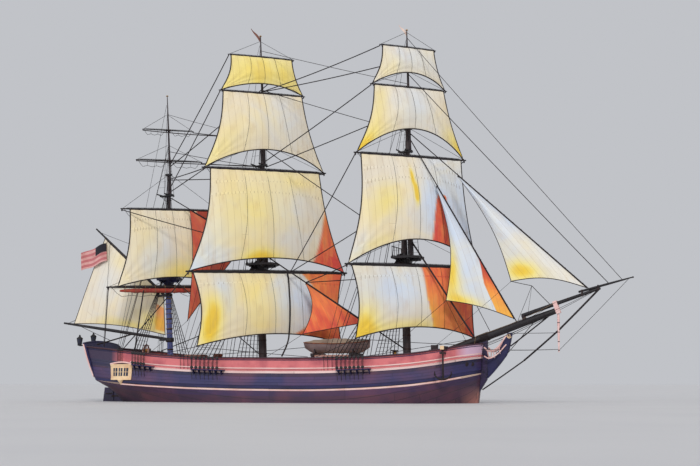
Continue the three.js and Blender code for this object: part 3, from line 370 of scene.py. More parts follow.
# %% Material builder
def finish(name, build, roughness=0.6, metallic=0.0, **sockets):
    made = bpy.data.materials.new(name)
    made.use_nodes = True
    tree = made.node_tree
    shader = tree.nodes["Principled BSDF"]
    for key, value in dict(sockets, Roughness=roughness, Metallic=metallic).items():
        shader.inputs[key.replace("_", " ")].default_value = value
    colour, height, rough = build(tree, tree.nodes.new("ShaderNodeTexCoord").outputs)
    tree.links.new(colour, shader.inputs["Base Color"])
    if rough is not None:
        tree.links.new(rough, shader.inputs["Roughness"])
    value, strength, distance = height
    bump = node(tree, "ShaderNodeBump", {"Height": value, "Strength": strength, "Distance": distance})
    tree.links.new(bump.outputs[0], shader.inputs["Normal"])
    return made


def use(tree, kind, **links):
    made = tree.nodes.new("ShaderNodeGroup")
    made.node_tree = kind
    for key, value in links.items():
        if isinstance(value, bpy.types.NodeSocket):
            tree.links.new(value, made.inputs[key])
        else:
            made.inputs[key].default_value = value
    return made.outputs


def paint(colour, worn, scale=2.0, amount=0.7):
    def build(tree, coords):
        mask, speck = use(tree, grime_effect, Vector=coords["Object"], Scale=scale, Amount=amount)
        tinted = mix(tree, times(tree, speck, 0.25), mix(tree, mask, colour, worn), worn)
        return tinted, (speck, 0.25, 0.004), span(tree, speck, 0.3, 0.7, 0.5, 0.75)
    return build


def wood(pale, dark, stretch=(14.0, 14.0, 1.2)):
    """The grain runs along the axis that is stretched least."""
    def build(tree, coords):
        grain = noise(tree, stretched(tree, coords["Object"], stretch), 2.2, 8.0, 1.2)
        mask = use(tree, grime_effect, Vector=coords["Object"], Scale=1.4, Amount=0.5)[0]
        tone = mix(tree, span(tree, grain, 0.35, 0.65), dark, pale)
        return mix(tree, mask, tone, dark), (grain, 0.35, 0.006), span(tree, grain, 0.3, 0.7, 0.45, 0.7)
    return build


def laid_rope(colour, dark):
    """Strands show as a fine slanting wave."""
    def build(tree, coords):
        inputs = {"Vector": coords["Object"], "Scale": 30.0, "Distortion": 2.0}
        strand = node(tree, "ShaderNodeTexWave", inputs, bands_direction="DIAGONAL").outputs[1]
        return mix(tree, strand, dark, colour), (strand, 0.5, 0.004), None
    return build


print("materials before the first finish:", len(bpy.data.materials))

# %% Paints, woods and metals
spar_black = finish("Spar black", wood(shade(34, 28, 34), shade(10, 8, 12), (1.5, 10, 10)), 0.5)
mast_brown = finish("Mast brown", wood(shade(58, 42, 46), shade(24, 18, 26)), 0.55)
mizzen_paint = finish("Mizzen mast blue", wood(shade(98, 112, 176), shade(34, 36, 84)), 0.55)
tarred = finish("Tarred hemp", laid_rope(shade(44, 34, 38), shade(16, 12, 16)), 0.85)
manila = finish("Manila rope", laid_rope(shade(150, 122, 86), shade(84, 62, 46)), 0.85)
iron = finish("Black iron", paint(shade(42, 40, 48), shade(78, 56, 48), 5.0), 0.5, 0.7)
brass = finish("Old brass", paint(shade(192, 148, 78), shade(112, 84, 50), 4.0), 0.35, 0.9)
cream_paint = finish("Cream paint", paint(shade(238, 212, 172), shade(206, 152, 108), 2.0), 0.5)
pale_paint = finish("Pale moulding paint", paint(shade(236, 206, 202), shade(214, 150, 144), 1.6), 0.55)
rail_paint = finish("Cap rail paint", paint(shade(74, 38, 52), shade(40, 22, 38), 1.6), 0.5)
navy_paint = finish("Navy paint", paint(shade(34, 32, 82), shade(18, 16, 44), 1.5), 0.5)
teak = finish("Varnished teak", wood(shade(152, 84, 50), shade(78, 40, 28), (3, 9, 3)), 0.4)
boat_paint = finish("Boat paint", paint(shade(168, 150, 150), shade(96, 70, 78), 2.0), 0.5)
pane = finish("Window pane", paint(shade(44, 50, 72), shade(22, 26, 40), 3.0), 0.15)
print("finishes", len(bpy.data.materials))


# %% [markdown]
# The hull carries two pale stripes that follow its sheer. A number stored on the mesh, called
# band, is 0 at the wale and 1 at the deck edge, so the stripes can be painted by that number
# and stay fair from bow to stern. The same trick lays the plank seams along the strakes.

# %% Hull and deck
BAND_LOW, BAND_SPAN = -3.0, 4.0  # the band at the keel, and how far it counts up from there


def hull_paint(tree, coords):
    along_hull, strake_up, _ = split(tree, coords["UV"])
    seam, tone = use(tree, plank_effect, Along=along_hull, Across=strake_up, Length=7.0, Seam=0.035)
    wander = maths(tree, "SUBTRACT", noise(tree, coords["Object"], 0.9, 2.0), 0.5)
    edge = plus(tree, stored(tree, "band"), times(tree, wander, 0.02))
    bands = [(-3.0, shade(58, 40, 58)), (-0.9, shade(66, 42, 66)), (-0.35, shade(60, 40, 78)),
             (-0.118, shade(232, 200, 180)), (-0.04, shade(30, 28, 66)), (0.14, shade(46, 42, 92)),
             (0.62, shade(28, 26, 64)), (0.795, shade(238, 208, 204)), (0.885, shade(216, 118, 120))]
    colour = steps(tree, times(tree, plus(tree, edge, -BAND_LOW), 1 / BAND_SPAN),
                   [((at - BAND_LOW) / BAND_SPAN, tint) for at, tint in bands])
    mask, speck = use(tree, grime_effect, Vector=coords["Object"], Scale=0.7, Amount=0.5)
    colour = mix(tree, mask, colour, mix(tree, 0.45, colour, shade(170, 88, 80)))
    ahead, _, up = split(tree, coords["Object"])
    aft = span(tree, ahead, -14.95 * MODEL, -15.2 * MODEL)
    colour = mix(tree, times(tree, aft, maths(tree, "GREATER_THAN", edge, 0.7)), colour, shade(38, 32, 68))
    # A painted pinkish reflection low on the bow, near the foot of the stem.
    bow = times(tree, span(tree, ahead, 15.3 * MODEL, 16.5 * MODEL), span(tree, up, 1.5 * MODEL, 0.2 * MODEL))
    colour = mix(tree, times(tree, bow, 0.6), colour, shade(226, 150, 130))
    colour = mix(tree, times(tree, tone, 0.25), colour, shade(30, 24, 46))
    colour = mix(tree, times(tree, seam, 0.6), colour, shade(20, 16, 30))
    return colour, (maths(tree, "SUBTRACT", 1.0, seam), 0.6, 0.01), span(tree, speck, 0.3, 0.7, 0.4, 0.65)


def deck_boards(tree, coords):
    ahead, port, _ = split(tree, coords["Object"])
    seam, tone = use(tree, plank_effect, Along=ahead, Across=times(tree, port, 10.0), Length=3.0, Seam=0.05)
    grain = noise(tree, stretched(tree, coords["Object"], (1.0, 16.0, 1.0)), 3.0, 6.0)
    colour = mix(tree, span(tree, grain, 0.3, 0.7), shade(150, 112, 78), shade(204, 170, 128))
    colour = mix(tree, times(tree, tone, 0.35), colour, shade(126, 96, 74))
    return mix(tree, seam, colour, shade(34, 26, 26)), (maths(tree, "SUBTRACT", 1.0, seam), 0.5, 0.006), None


hull_finish = finish("Hull paint", hull_paint, 0.5)
deck_finish = finish("Deck boards", deck_boards, 0.7)
print("hull paint ready")

# %% [markdown]
# Canvas is sewn from narrow cloths, so a seam shows every half metre or so. Light and shade are
# painted into each sail's colour: painted sunlight in warm corners, painted cool shade in the
# hollows and, on the side away from the light, a painted red-orange shade. Three numbers on the
# mesh carry these painted tones, so that they stay put when the yards turn.

# %% Sail canvas
CLOTH_WIDTH = 0.62


def canvas(tree, coords):
    # The three stored numbers are painted sunlight, painted red-orange shade and painted cool shade.
    sun, painted_shade, cool = [stored(tree, mark) for mark in ("sun", "painted_shade", "cool")]
    across, down, _ = split(tree, coords["UV"])
    seam, tone = use(tree, plank_effect, Along=down, Across=maths(tree, "DIVIDE", across, CLOTH_WIDTH),
                     Length=40.0, Seam=0.03)
    patchy = noise(tree, coords["Object"], 0.55, 5.0, 0.8)
    drift = maths(tree, "SUBTRACT", patchy, 0.5)
    # Noise makes the painted light and shade patchy.
    warm = plus(tree, sun, times(tree, drift, 0.4), True)
    cold = plus(tree, cool, times(tree, drift, -1.0), True)
    # Painted cool shade turns the cream blue-white.
    colour = mix(tree, cold, shade(242, 226, 192), shade(208, 219, 234))
    # Painted sunlight turns it lemon yellow, and amber where it is strongest.
    colour = mix(tree, warm, colour, shade(248, 226, 86))
    amber = maths(tree, "SUBTRACT", times(tree, warm, 2.0), 1.35, True)
    colour = mix(tree, amber, colour, shade(236, 188, 54))
    brush = noise(tree, stretched(tree, coords["UV"], (0.5, 0.16, 1.0)), 3.0, 4.0)
    # The painted red-orange shade, warmer where painted sunlight reaches into it and darker red where painted
    # cool shade does.
    red = mix(tree, span(tree, brush, 0.4, 0.62), shade(224, 80, 68), shade(246, 122, 72))
    red = mix(tree, warm, red, shade(248, 182, 74))
    red = mix(tree, cold, red, shade(150, 44, 42))
    colour = mix(tree, painted_shade, colour, red)
    colour = mix(tree, span(tree, brush, 0.55, 0.8, 0.0, 0.35), colour, shade(186, 150, 112))
    colour = mix(tree, times(tree, tone, 0.10), colour, shade(170, 140, 104))
    colour = mix(tree, times(tree, seam, 0.28), colour, shade(140, 108, 80))
    thread = use(tree, weave_effect, Vector=coords["UV"])[0]
    height = plus(tree, seam, times(tree, thread, 0.2))
    return colour, (height, 0.35, 0.008), span(tree, patchy, 0.3, 0.7, 0.75, 0.95)


sailcloth = finish("Sail canvas", canvas, 0.85, Sheen_Weight=0.1)
print("canvas ready")

# %% [markdown]
# ## Hull
# The hull is faired through the same table of sections as its construction. Between two
# stations a smooth curve is drawn, as a shipwright bends a batten, so that the planking flows.
# The curve never overshoots a station, which keeps the sheer and the bilge fair.

# %% Station table and fairing
STATIONS = np.array([
    # x, half breadth at the wale and deck edge, foot, roundness, wale, deck, rail, lean
    [-19.00, 3.35, 3.25, 1.70, 2.2, 2.02, 4.02, 5.12, -0.37],
    [-18.35, 3.62, 3.45, 0.60, 1.2, 1.96, 3.95, 5.04, -0.27],
    [-17.15, 3.95, 3.75, -2.30, 0.75, 1.88, 3.78, 4.88, -0.12],
    [-15.00, 4.25, 4.00, -3.45, 0.85, 1.72, 3.52, 4.62, 0],
    [-12.00, 4.50, 4.20, -3.60, 1.15, 1.55, 3.24, 4.30, 0],
    [-8.00, 4.70, 4.35, -3.65, 1.7, 1.38, 3.02, 4.06, 0],
    [-3.00, 4.80, 4.45, -3.70, 2.3, 1.27, 2.91, 3.98, 0],
    [2.00, 4.82, 4.47, -3.70, 2.6, 1.24, 2.88, 3.94, 0],
    [7.00, 4.78, 4.42, -3.70, 2.3, 1.36, 2.98, 4.00, 0],
    [11.00, 4.55, 4.25, -3.65, 1.75, 1.62, 3.22, 4.22, 0],
    [13.50, 4.00, 3.85, -3.50, 1.35, 1.92, 3.52, 4.52, 0],
    [15.20, 3.05, 3.15, -3.10, 1.15, 2.24, 3.82, 4.82, 0.05],
    [16.20, 1.85, 2.15, -2.30, 1.1, 2.46, 4.00, 5.02, 0.10],
    [16.75, 0.40, 0.90, -0.60, 1.1, 2.60, 4.12, 5.12, 0.12],
])
COLUMNS = ["x", "wide", "deckWide", "foot", "round", "wale", "deck", "rail", "lean"]
AFT, FORE = STATIONS[0][0], STATIONS[-1][0]
SIDING, CAMBER = 0.36, 0.1
BULWARK, TUMBLE = 0.2, 0.1


def fair(xs, ys, x):
    """A fair curve through the points that never overshoots them."""
    h = np.diff(xs)
    d = np.diff(ys) / h
    m = np.zeros(len(xs))
    for i in range(1, len(xs) - 1):
        if d[i - 1] * d[i] > 0:
            w1, w2 = 2 * h[i] + h[i - 1], h[i] + 2 * h[i - 1]
            m[i] = (w1 + w2) / (w1 / d[i - 1] + w2 / d[i])
    m[0], m[-1] = d[0], d[-1]
    i = int(np.clip(np.searchsorted(xs, x) - 1, 0, len(h) - 1))
    t = (x - xs[i]) / h[i]
    return ((1 + 2 * t) * (1 - t) ** 2 * ys[i] + t * (1 - t) ** 2 * h[i] * m[i]
            + t * t * (3 - 2 * t) * ys[i + 1] + t * t * (t - 1) * h[i] * m[i + 1])


def station(x):
    return {name: fair(STATIONS[:, 0], STATIONS[:, i], x) for i, name in enumerate(COLUMNS)}


def leaned(s, y, z):
    return Vector((s["x"] + s["lean"] * (z - s["wale"]), y, z))


FAIR_X = sorted({round(float(x), 3) for x in np.concatenate([
    np.linspace(AFT, -15, 13), np.linspace(-15, 11, 27), np.linspace(11, FORE, 17)])})
print("fairing", len(FAIR_X), "sections")

# %% [markdown]
# The skin runs from the keel round the bilge to the wale, a stout belt of planks, and up to
# the deck edge. Each point keeps two numbers besides its place: the band used by the paint,
# and the strake, which is how many planks it lies above the keel.

# %% Planked skin
BILGE_STEPS = 22


def half_section(s):
    """Rows of (half breadth, height, band, strake) from keel to deck edge."""
    rows = []
    for k in range(BILGE_STEPS + 1):
        turn = k / BILGE_STEPS * pi / 2
        out = sin(turn) ** (2 / s["round"])
        down = cos(turn) ** (2 / s["round"])
        rows.append((SIDING / 2 + (s["wide"] - SIDING / 2) * out, s["wale"] - (s["wale"] - s["foot"]) * down,
                     -2.5 * down, -11 * (1 - k / BILGE_STEPS)))
    for t in (0.12, 0.25, 0.4, 0.55, 0.7, 0.85, 1.0):
        out = s["wide"] + (s["deckWide"] - s["wide"]) * (0.7 * t + 0.3 * t * t)
        rows.append((out, s["wale"] + (s["deck"] - s["wale"]) * t, t, 6.5 * t))
    return rows


def strip(maker, rows, slot, uvs=None):
    """Faces between rows of points that lie side by side."""
    count = len(rows[0])
    maker.add([p for row in rows for p in row],
              [(r * count + i, r * count + i + 1, (r + 1) * count + i + 1, (r + 1) * count + i)
               for r in range(len(rows) - 1) for i in range(count - 1)], slot, uvs)


skin = Maker()
stations = [station(x) for x in FAIR_X]
sections = [half_section(s) for s in stations]
bands = []
for side in (1, -1):
    strip(skin, [[leaned(s, side * y, z) for y, z, *_ in rows] for s, rows in zip(stations, sections)], 0,
          [(s["x"], strake) for s, rows in zip(stations, sections) for *_, strake in rows])
    bands += [band for rows in sections for _, _, band, _ in rows]
for s, rows in ((stations[0], sections[0]), (stations[-1], sections[-1])):
    ring = [leaned(s, side * y, z) for side in (1, -1) for y, z, *_ in (rows if side > 0 else rows[::-1])]
    skin.add(ring, [tuple(range(len(ring)))])
    bands += [band for _, _, band, _ in rows + rows[::-1]]
strip(skin, [[leaned(s, y, s["foot"]) for y in (SIDING / 2, -SIDING / 2)] for s in stations], 0)
bands += [-3.0] * 2 * len(stations)


def deck_row(s):
    edge = s["deckWide"] - min(0.3, s["deckWide"] / 2)
    half = [(s["deckWide"], 0), (edge, 0), (edge / 2, CAMBER / 2)]
    row = half + [(0, CAMBER)] + [(-y, up) for y, up in half[::-1]]
    return [leaned(s, y, s["deck"] + up) for y, up in row]


strip(skin, [deck_row(s) for s in stations], 1)
DECK_POINTS = 7
bands += [1.0] * DECK_POINTS * len(stations)
skin.marks["band"] = bands
hull_skin = skin.make("hull_planking", [hull_finish, deck_finish], "ship", crisp=40)
dress(hull_skin, "hull", slot="hull")
print("hull skin", len(hull_skin.data.polygons), "faces")

# %% [markdown]
# Keel, stem and sternpost are one flat backbone. Wales and mouldings are battens bent along
# the side: a section is carried from station to station, so it follows the sheer exactly.

# %% Keel, stem, wales and mouldings
POST_FOOT, POST_LEAN, KEEL_BOTTOM = -18.55, -0.068, -4.0


def post_x(z):
    return POST_FOOT + POST_LEAN * (z - KEEL_BOTTOM)


BACKBONE = [(POST_FOOT, KEEL_BOTTOM), (12.6, KEEL_BOTTOM), (14.3, -3.72), (15.35, -2.9), (15.95, -1.4),
            (16.17, 0.1), (16.6, 1.05), (17.22, 2.0), (17.3, 3.2), (17.3, 5.62), (16.2, 5.3),
            (15.4, 3.4), (15.0, -2.6), (13.5, -3.2), (-13.0, -3.2), (-16.6, -0.6), (-17.6, 1.6),
            (post_x(1.7), 1.7)]
stem_finish = finish("Stem and keel", wood(shade(58, 42, 84), shade(28, 22, 48), (4, 4, 4)), 0.55)
backbone = Maker()
backbone.prism(BACKBONE, -SIDING / 2, SIDING / 2, 0, axis=1)
backbone.make("keel_and_stem", stem_finish, "ship", bevel=0.03)


def batten(maker, section, slot, side, start=AFT, stop=FORE):
    """Sweeps a section along one side. Its points are (out, up, from): the out and up count
    from the wale, from the deck edge or from the rail."""
    rings = []
    for x in sorted({start, stop} | {x for x in FAIR_X if start < x < stop}):
        s = station(x)
        wide = {"wale": s["wide"], "deck": s["deckWide"], "rail": s["deckWide"]}
        rings.append([leaned(s, side * max(wide[base] + out, 0.02), s[base] + up)
                      for out, up, base in section])
    maker.loft(rings, slot)


def moulding(base, up, height, out, sunk=0.05):
    return [(-sunk, up - height / 2, base), (out, up - height * 0.35, base), (out, up + height * 0.35, base),
            (-sunk, up + height / 2, base)]


belts = Maker()
for side in SIDES.values():
    batten(belts, moulding("wale", 0.1, 0.3, 0.07, 0.1), 0, side, stop=16.5)
    batten(belts, moulding("wale", -0.15, 0.14, 0.03, 0.1), 1, side, start=-16, stop=15.6)
    batten(belts, moulding("deck", -0.15, 0.06, 0.05, 0.12), 1, side, start=-15.1, stop=16.6)
    batten(belts, moulding("deck", -0.37, 0.05, 0.05, 0.14), 2, side, stop=16.6)
belts.make("wales_and_mouldings", [navy_paint, pale_paint, navy_paint], "ship")
print("backbone points", len(BACKBONE))

# %% [markdown]
# The bulwark is a low wall along the deck, with a cap rail on top. Inside it stand pin rails
# full of belaying pins, where the running rigging is made fast. The catheads at the bow carry
# the anchors clear of the side.

# %% Bulwarks, cap rails and catheads
WALL = [(0.0, 0.003, "deck"), (-TUMBLE * 0.5, 0.55, "deck"), (-TUMBLE, -0.1, "rail"),
        (-TUMBLE - BULWARK, -0.1, "rail"), (-TUMBLE * 0.5 - BULWARK, 0.55, "deck"), (-BULWARK, 0.003, "deck")]
CAP_RAIL = [(0.02, -0.12, "rail"), (0.05, -0.09, "rail"), (0.05, -0.03, "rail"), (0.0, 0.0, "rail"),
            (-0.38, 0.0, "rail"), (-0.42, -0.04, "rail"), (-0.42, -0.09, "rail"), (-0.38, -0.12, "rail")]
CATHEAD_END, SHEAVE_OUT = 4.75, 4.6


def bulwark_colour(tree, coords):
    """Red planking that turns lilac towards the bow and dark at the stern."""
    colour, height, rough = paint(shade(216, 118, 120), shade(150, 62, 78), 1.3, 0.8)(tree, coords)
    ahead = split(tree, coords["Object"])[0]
    colour = mix(tree, span(tree, ahead, -16.0 * MODEL, -17.2 * MODEL), colour, shade(52, 38, 66))
    colour = mix(tree, span(tree, ahead, 15.2 * MODEL, 16.1 * MODEL), colour, shade(206, 172, 196))
    return colour, height, rough


bulwark_finish = finish("Bulwark paint", bulwark_colour, 0.6)
for side_name, side in SIDES.items():
    topside = Maker()
    batten(topside, WALL, 0, side)
    batten(topside, CAP_RAIL, 1, side)
    batten(topside, moulding("deck", 0.1, 0.12, 0.06, 0.02), 2, side, start=-15.1)
    batten(topside, moulding("rail", -0.24, 0.07, -0.03, 0.16), 3, side)
    end = side * CATHEAD_END
    y0, y1 = sorted((side * 3.3, end))
    topside.box((14.42, y0, 4.53), (14.68, y1, 4.79), 4)
    topside.box((14.39, end - 0.05, 4.5), (14.71, end + 0.05, 4.82), 5)
    for sheave in (14.49, 14.61):
        topside.lathe((sheave - 0.03, side * SHEAVE_OUT, 4.66), (sheave + 1, side * SHEAVE_OUT, 4.66),
                      [(0, 0.1), (0.06, 0.1)], 12, 5)
    paints = [bulwark_finish, rail_paint, pale_paint, navy_paint, spar_black, cream_paint]
    dress(topside.make("bulwark_planking_" + side_name, paints, "ship", crisp=40), "bulwark_" + side_name,
          slot="bulwark")
print("rails done")

# %% [markdown]
# The stern is a flat panel that leans aft. It carries five windows between cream pilasters
# under an arched cornice. Each quarter has a badge, a shallow bay with three dark panes
# between cream bars.

# %% Transom
TRANSOM_HALF = [(0, 1.75), (2.2, 1.85), (3.3, 2.35), (3.4, 3.4), (3.3, 5.3), (1.8, 5.5), (0, 5.56)]
STERN = station(AFT)


def on_stern(y, z, aft=0.0):
    return leaned(STERN, y, z) - Vector((aft, 0, 0))


STERN_THICK = 0.24
stern = Maker()
outline = TRANSOM_HALF + [(-y, z) for y, z in TRANSOM_HALF[-2:0:-1]]
stern.loft([[on_stern(y, z, aft) for y, z in outline] for aft in (0.0, STERN_THICK)])


def stern_panel(y0, y1, z0, z1, slot, proud, thick=0.06):
    stern.loft([[on_stern(y, z, STERN_THICK + aft) for y, z in ((y0, z0), (y1, z0), (y1, z1), (y0, z1))]
                for aft in (proud - thick, proud)], slot)


for z, half in ((2.62, 3.22), (3.95, 3.24), (4.35, 3.2)):
    stern_panel(-half, half, z - 0.06, z + 0.06, 1, 0.05)
for y in (-2.6, -1.55, -0.5, 0.5, 1.55, 2.6):
    stern_panel(y - 0.07, y + 0.07, 2.68, 3.9, 1, 0.045)
for y in (-2.07, -1.02, 0.0, 1.02, 2.07):
    stern_panel(y - 0.36, y + 0.36, 2.85, 3.75, 2, 0.02)
    for bar in (-0.12, 0.12):
        stern_panel(y + bar - 0.018, y + bar + 0.018, 2.85, 3.75, 1, 0.032)
    for bar in (3.15, 3.45):
        stern_panel(y - 0.36, y + 0.36, bar - 0.018, bar + 0.018, 1, 0.032)
crown = [(y, 5.62 - 0.25 * (y / 3.3) ** 2) for y in np.linspace(-3.28, 3.28, 17)]
stern.tube([on_stern(y, z, 0.2) for y, z in crown], 0.09, 8, 0)
stern.tube([on_stern(y, z - 0.42, 0.26) for y, z in crown[1:-1]], 0.045, 6, 1)
for side in SIDES.values():
    corner = ((3.33, 5.3), (3.42, 4.2), (3.42, 3.3), (3.3, 2.4), (2.2, 1.9))
    stern.tube([on_stern(side * y, z, 0.2) for y, z in corner], 0.07, 8, 3)
panel = stern.make("stern_panel", [navy_paint, cream_paint, pane, pale_paint], "ship")
dress(panel, "transom", slot="gallery")
print("transom done, faces", len(stern.faces))

# %% Quarter badges
BADGE_AFT, BADGE_FORE, BADGE_LOW, BADGE_HIGH = -17.02, -14.84, 2.0, 3.42


def badge_point(share, z, proud, side):
    x = lerp(BADGE_AFT, BADGE_FORE, share)
    s = station(x)
    t = (z - s["wale"]) / (s["deck"] - s["wale"])
    wide = s["wide"] + (s["deckWide"] - s["wide"]) * min(max(t, 0), 1)
    return leaned(s, side * (wide + proud), z)


def badge_bay(share):
    """How far the bay stands out: ends low, middle full."""
    return 0.1 + 0.18 * sin(pi * min(max(share, 0), 1)) ** 0.5


def bay_bar(badge, side, shares, low, high, inner, outer, slot):
    """A bar along the bay, between two heights and two distances from the bay's face."""
    outline = ((low, inner), (low, outer), (high, outer), (high, inner))
    badge.loft([[badge_point(s, z, badge_bay(s) + out, side) for z, out in outline] for s in shares], slot)


def badge_belt(badge, side, low, high, extra):
    """The bay's full width between two heights. Its back lies inside the planking."""
    rings = []
    for s in BADGE_SHARES:
        face = badge_bay(s) + extra - 0.04
        rings.append([badge_point(s, z, out, side)
                      for z, out in ((low, -0.1), (low, face), (high, face), (high, -0.1))])
    badge.loft(rings, 0)


BADGE_SHARES = np.linspace(0, 1, 13)
for side_name, side in SIDES.items():
    badge = Maker()
    badge_belt(badge, side, BADGE_LOW + 0.12, BADGE_HIGH - 0.12, 0.0)
    badge_belt(badge, side, BADGE_LOW, BADGE_LOW + 0.14, 0.05)
    badge_belt(badge, side, BADGE_HIGH - 0.14, BADGE_HIGH, 0.05)
    for low_share, high_share in ((0.16, 0.36), (0.42, 0.60), (0.66, 0.86)):
        middle = (low_share + high_share) / 2
        bay_bar(badge, side, np.linspace(low_share, high_share, 4), 2.35, 3.08, -0.06, -0.025, 1)
        bay_bar(badge, side, (middle - 0.012, middle + 0.012), 2.33, 3.1, -0.03, 0.0, 0)
        bay_bar(badge, side, (low_share, high_share), 2.7, 2.74, -0.03, 0.0, 0)
    drop = [badge_point(0.5, BADGE_LOW + 0.04, 0.1, side), badge_point(0.5, BADGE_LOW - 0.5, -0.05, side)]
    badge.lathe(*drop, [(0, 0.3), (0.1, 0.28), (0.25, 0.16), (0.4, 0.1), (0.5, 0.03)], 12, 0)
    crest = [badge_point(s, BADGE_HIGH + 0.02 + 0.16 * sin(pi * s), 0.1, side) for s in BADGE_SHARES]
    badge.tube(crest, 0.08, 8, 2)
    made = badge.make("badge_" + side_name, [cream_paint, pane, pale_paint], "ship")
    dress(made, "quarter_badge_" + side_name, slot="gallery")
    print(made.name, "faces", len(badge.faces))

# %% [markdown]
# The head is the thin knee under the bowsprit. A carved scroll ends it, and curved rails sweep
# from its tip back to the bow. They are drawn as tubes along a few chosen points.

# %% Knee, scroll and head rails
KNEE = [(17.3, 2.13), (17.85, 2.7), (18.45, 3.4), (18.95, 4.05), (19.2, 4.6), (19.36, 5.35), (19.48, 5.98),
        (19.08, 6.0), (18.72, 5.3), (18.35, 4.55), (17.85, 3.95), (17.3, 3.7)]


def curve_through(points, per=6):
    """A smooth path through the points."""
    points = [Vector(p) for p in points]
    ends = [points[0] * 2 - points[1]] + points + [points[-1] * 2 - points[-2]]
    path = []
    for a, b, c, d in zip(ends, ends[1:], ends[2:], ends[3:]):
        for k in range(per):
            t = k / per
            path.append(0.5 * ((2 * b) + (c - a) * t + (2 * a - 5 * b + 4 * c - d) * t * t
                               + (3 * b - a - 3 * c + d) * t ** 3))
    return path + [points[-1]]


def head_rail(side, drop=0.0):
    """One of the curved rails, from the bow to the tip of the knee."""
    return curve_through([(17.16, side * 0.8, 4.75 - drop), (17.6, side * 0.66, 4.42 - drop * 0.8),
                          (18.25, side * 0.42, 4.72 - drop * 0.7), (18.95, side * 0.1, 5.75 - drop)])


KNEE_HALF = 0.14
head = Maker()
head.prism(KNEE, -KNEE_HALF, KNEE_HALF, 0, axis=1)
for side in SIDES.values():
    for drop, thick in ((0.0, 0.07), (0.75, 0.06)):
        head.tube(head_rail(side, drop), thick, 10, 1)
    rail = head_rail(side)
    for share in (0.25, 0.5, 0.75):
        top = rail[int(share * (len(rail) - 1))]
        low = Vector((top.x + 0.05, top.y * 0.5, top.z - 0.62))
        head.tube([top, (top + low) / 2 + Vector((0, side * 0.04, 0)), low], 0.05, 6, 1)
    edge = [Vector((x, side * 0.15, z)) for x, z in KNEE[:7]]
    head.tube(curve_through([p + Vector((-0.06, 0, 0.03)) for p in edge], 4), 0.045, 6, 0)
SCROLL_X, SCROLL_Z = 19.2, 5.72
coil = [(0.04 + 0.05 * t / pi, t) for t in np.linspace(0.3, 3.2 * pi, 34)]
for side in SIDES.values():
    spiral = [Vector((SCROLL_X + r * cos(t + 2.2), side * 0.16, SCROLL_Z + r * sin(t + 2.2)))
              for r, t in coil]
    head.tube(spiral, [0.02 + 0.035 * k / len(spiral) for k in range(len(spiral))], 6, 2)
knee = head.make("knee_and_rails", [navy_paint, pale_paint, cream_paint], "ship", crisp=40)
dress(knee, "head", slot="hull")
print("head done")

# %% [markdown]
# ## Deck and side fittings
# Channels are narrow shelves outside the hull that spread the shrouds. On deck stand the
# hatch with its grating, the companion over the stairs, a skylight, the ship's bell, bitts for
# the bowsprit, and a wooden collar where each mast comes through. Small boxes with softened
# edges are enough for these.

# %% Channels, hatch and deck furniture
SHELF = [(-0.3, -0.16, "deck"), (0.55, -0.16, "deck"), (0.58, -0.11, "deck"), (0.55, -0.06, "deck"),
         (-0.3, -0.06, "deck")]
fittings = Maker()
for mast in MASTS.values():
    start, stop = mast["channel"]
    for side in SIDES.values():
        batten(fittings, SHELF, 0, side, start, stop)
        for x in np.arange(start + 0.15, stop, 0.55):
            s = station(float(x))
            wide, deck = s["deckWide"], s["deck"]
            bracket = [(wide - 0.1, deck - 0.75), (wide + 0.1, deck - 0.6), (wide + 0.48, deck - 0.16),
                       (wide - 0.1, deck - 0.16)]
            fittings.prism([(side * y, z) for y, z in bracket], x - 0.035, x + 0.035, 0, axis=0)

def frame_box(maker, x0, x1, half, low, high, slot, wall=0.12):
    """Four planks round an opening."""
    maker.box((x0, -half, low), (x0 + wall, half, high), slot)
    maker.box((x1 - wall, -half, low), (x1, half, high), slot)
    for y in (-half, half - wall):
        maker.box((x0 + wall, y, low), (x1 - wall, y + wall, high), slot)


frame_box(fittings, -1.4, 0.6, 0.95, 2.75, 3.42, 1)
for x in np.arange(-1.2, 0.45, 0.2):
    fittings.box((x, -0.84, 3.3), (x + 0.08, 0.84, 3.39), 1)
for y in np.arange(-0.76, 0.8, 0.2):
    fittings.box((-1.3, y - 0.04, 3.31), (0.5, y + 0.04, 3.4), 1)
fittings.box((-1.34, -0.9, 2.75), (0.54, 0.9, 3.22), 4)

fittings.box((-11.32, -0.78, 3.0), (-9.68, 0.78, 4.16), 2)
frame_box(fittings, -11.4, -9.6, 0.85, 3.0, 3.3, 1, 0.08)
ROOF = [(-0.87, 4.12), (-0.87, 4.18), (-0.45, 4.3), (0, 4.35), (0.45, 4.3), (0.87, 4.18), (0.87, 4.12)]
fittings.prism(ROOF, -11.42, -9.58, 1, axis=0)
for y in (-0.42, 0.42):
    fittings.box((-9.68, y - 0.3, 3.35), (-9.62, y + 0.3, 4.05), 1)
    for side in (-1, 1):
        fittings.box((-10.8 + y, side * 0.78 - 0.03, 3.5), (-10.4 + y, side * 0.78 + 0.03, 3.95), 5)
for side in (-1, 1):
    fittings.box((-11.3, side * 0.8 - 0.03, 3.44), (-9.7, side * 0.8 + 0.03, 3.48), 1)

for y in (-0.5, 0.3):
    fittings.box((12.35, y, 3.0), (12.75, y + 0.2, 5.0), 3)
fittings.box((12.3, -0.95, 4.35), (12.5, 0.95, 4.6), 3)
for name, mast in MASTS.items():
    fittings.place = MAST_PLACE[name]
    wide = mast["radius"]
    fittings.turned((-mast["behind"], 0, mast["foot"] - 0.75),
                    [(0, wide + 0.22), (0.6, wide + 0.22), (0.7, wide + 0.14), (0.75, wide + 0.05)], 20, 3)
    fittings.place = Matrix.Identity(4)
print("faces of the channels, hatch and deck furniture", len(fittings.faces))

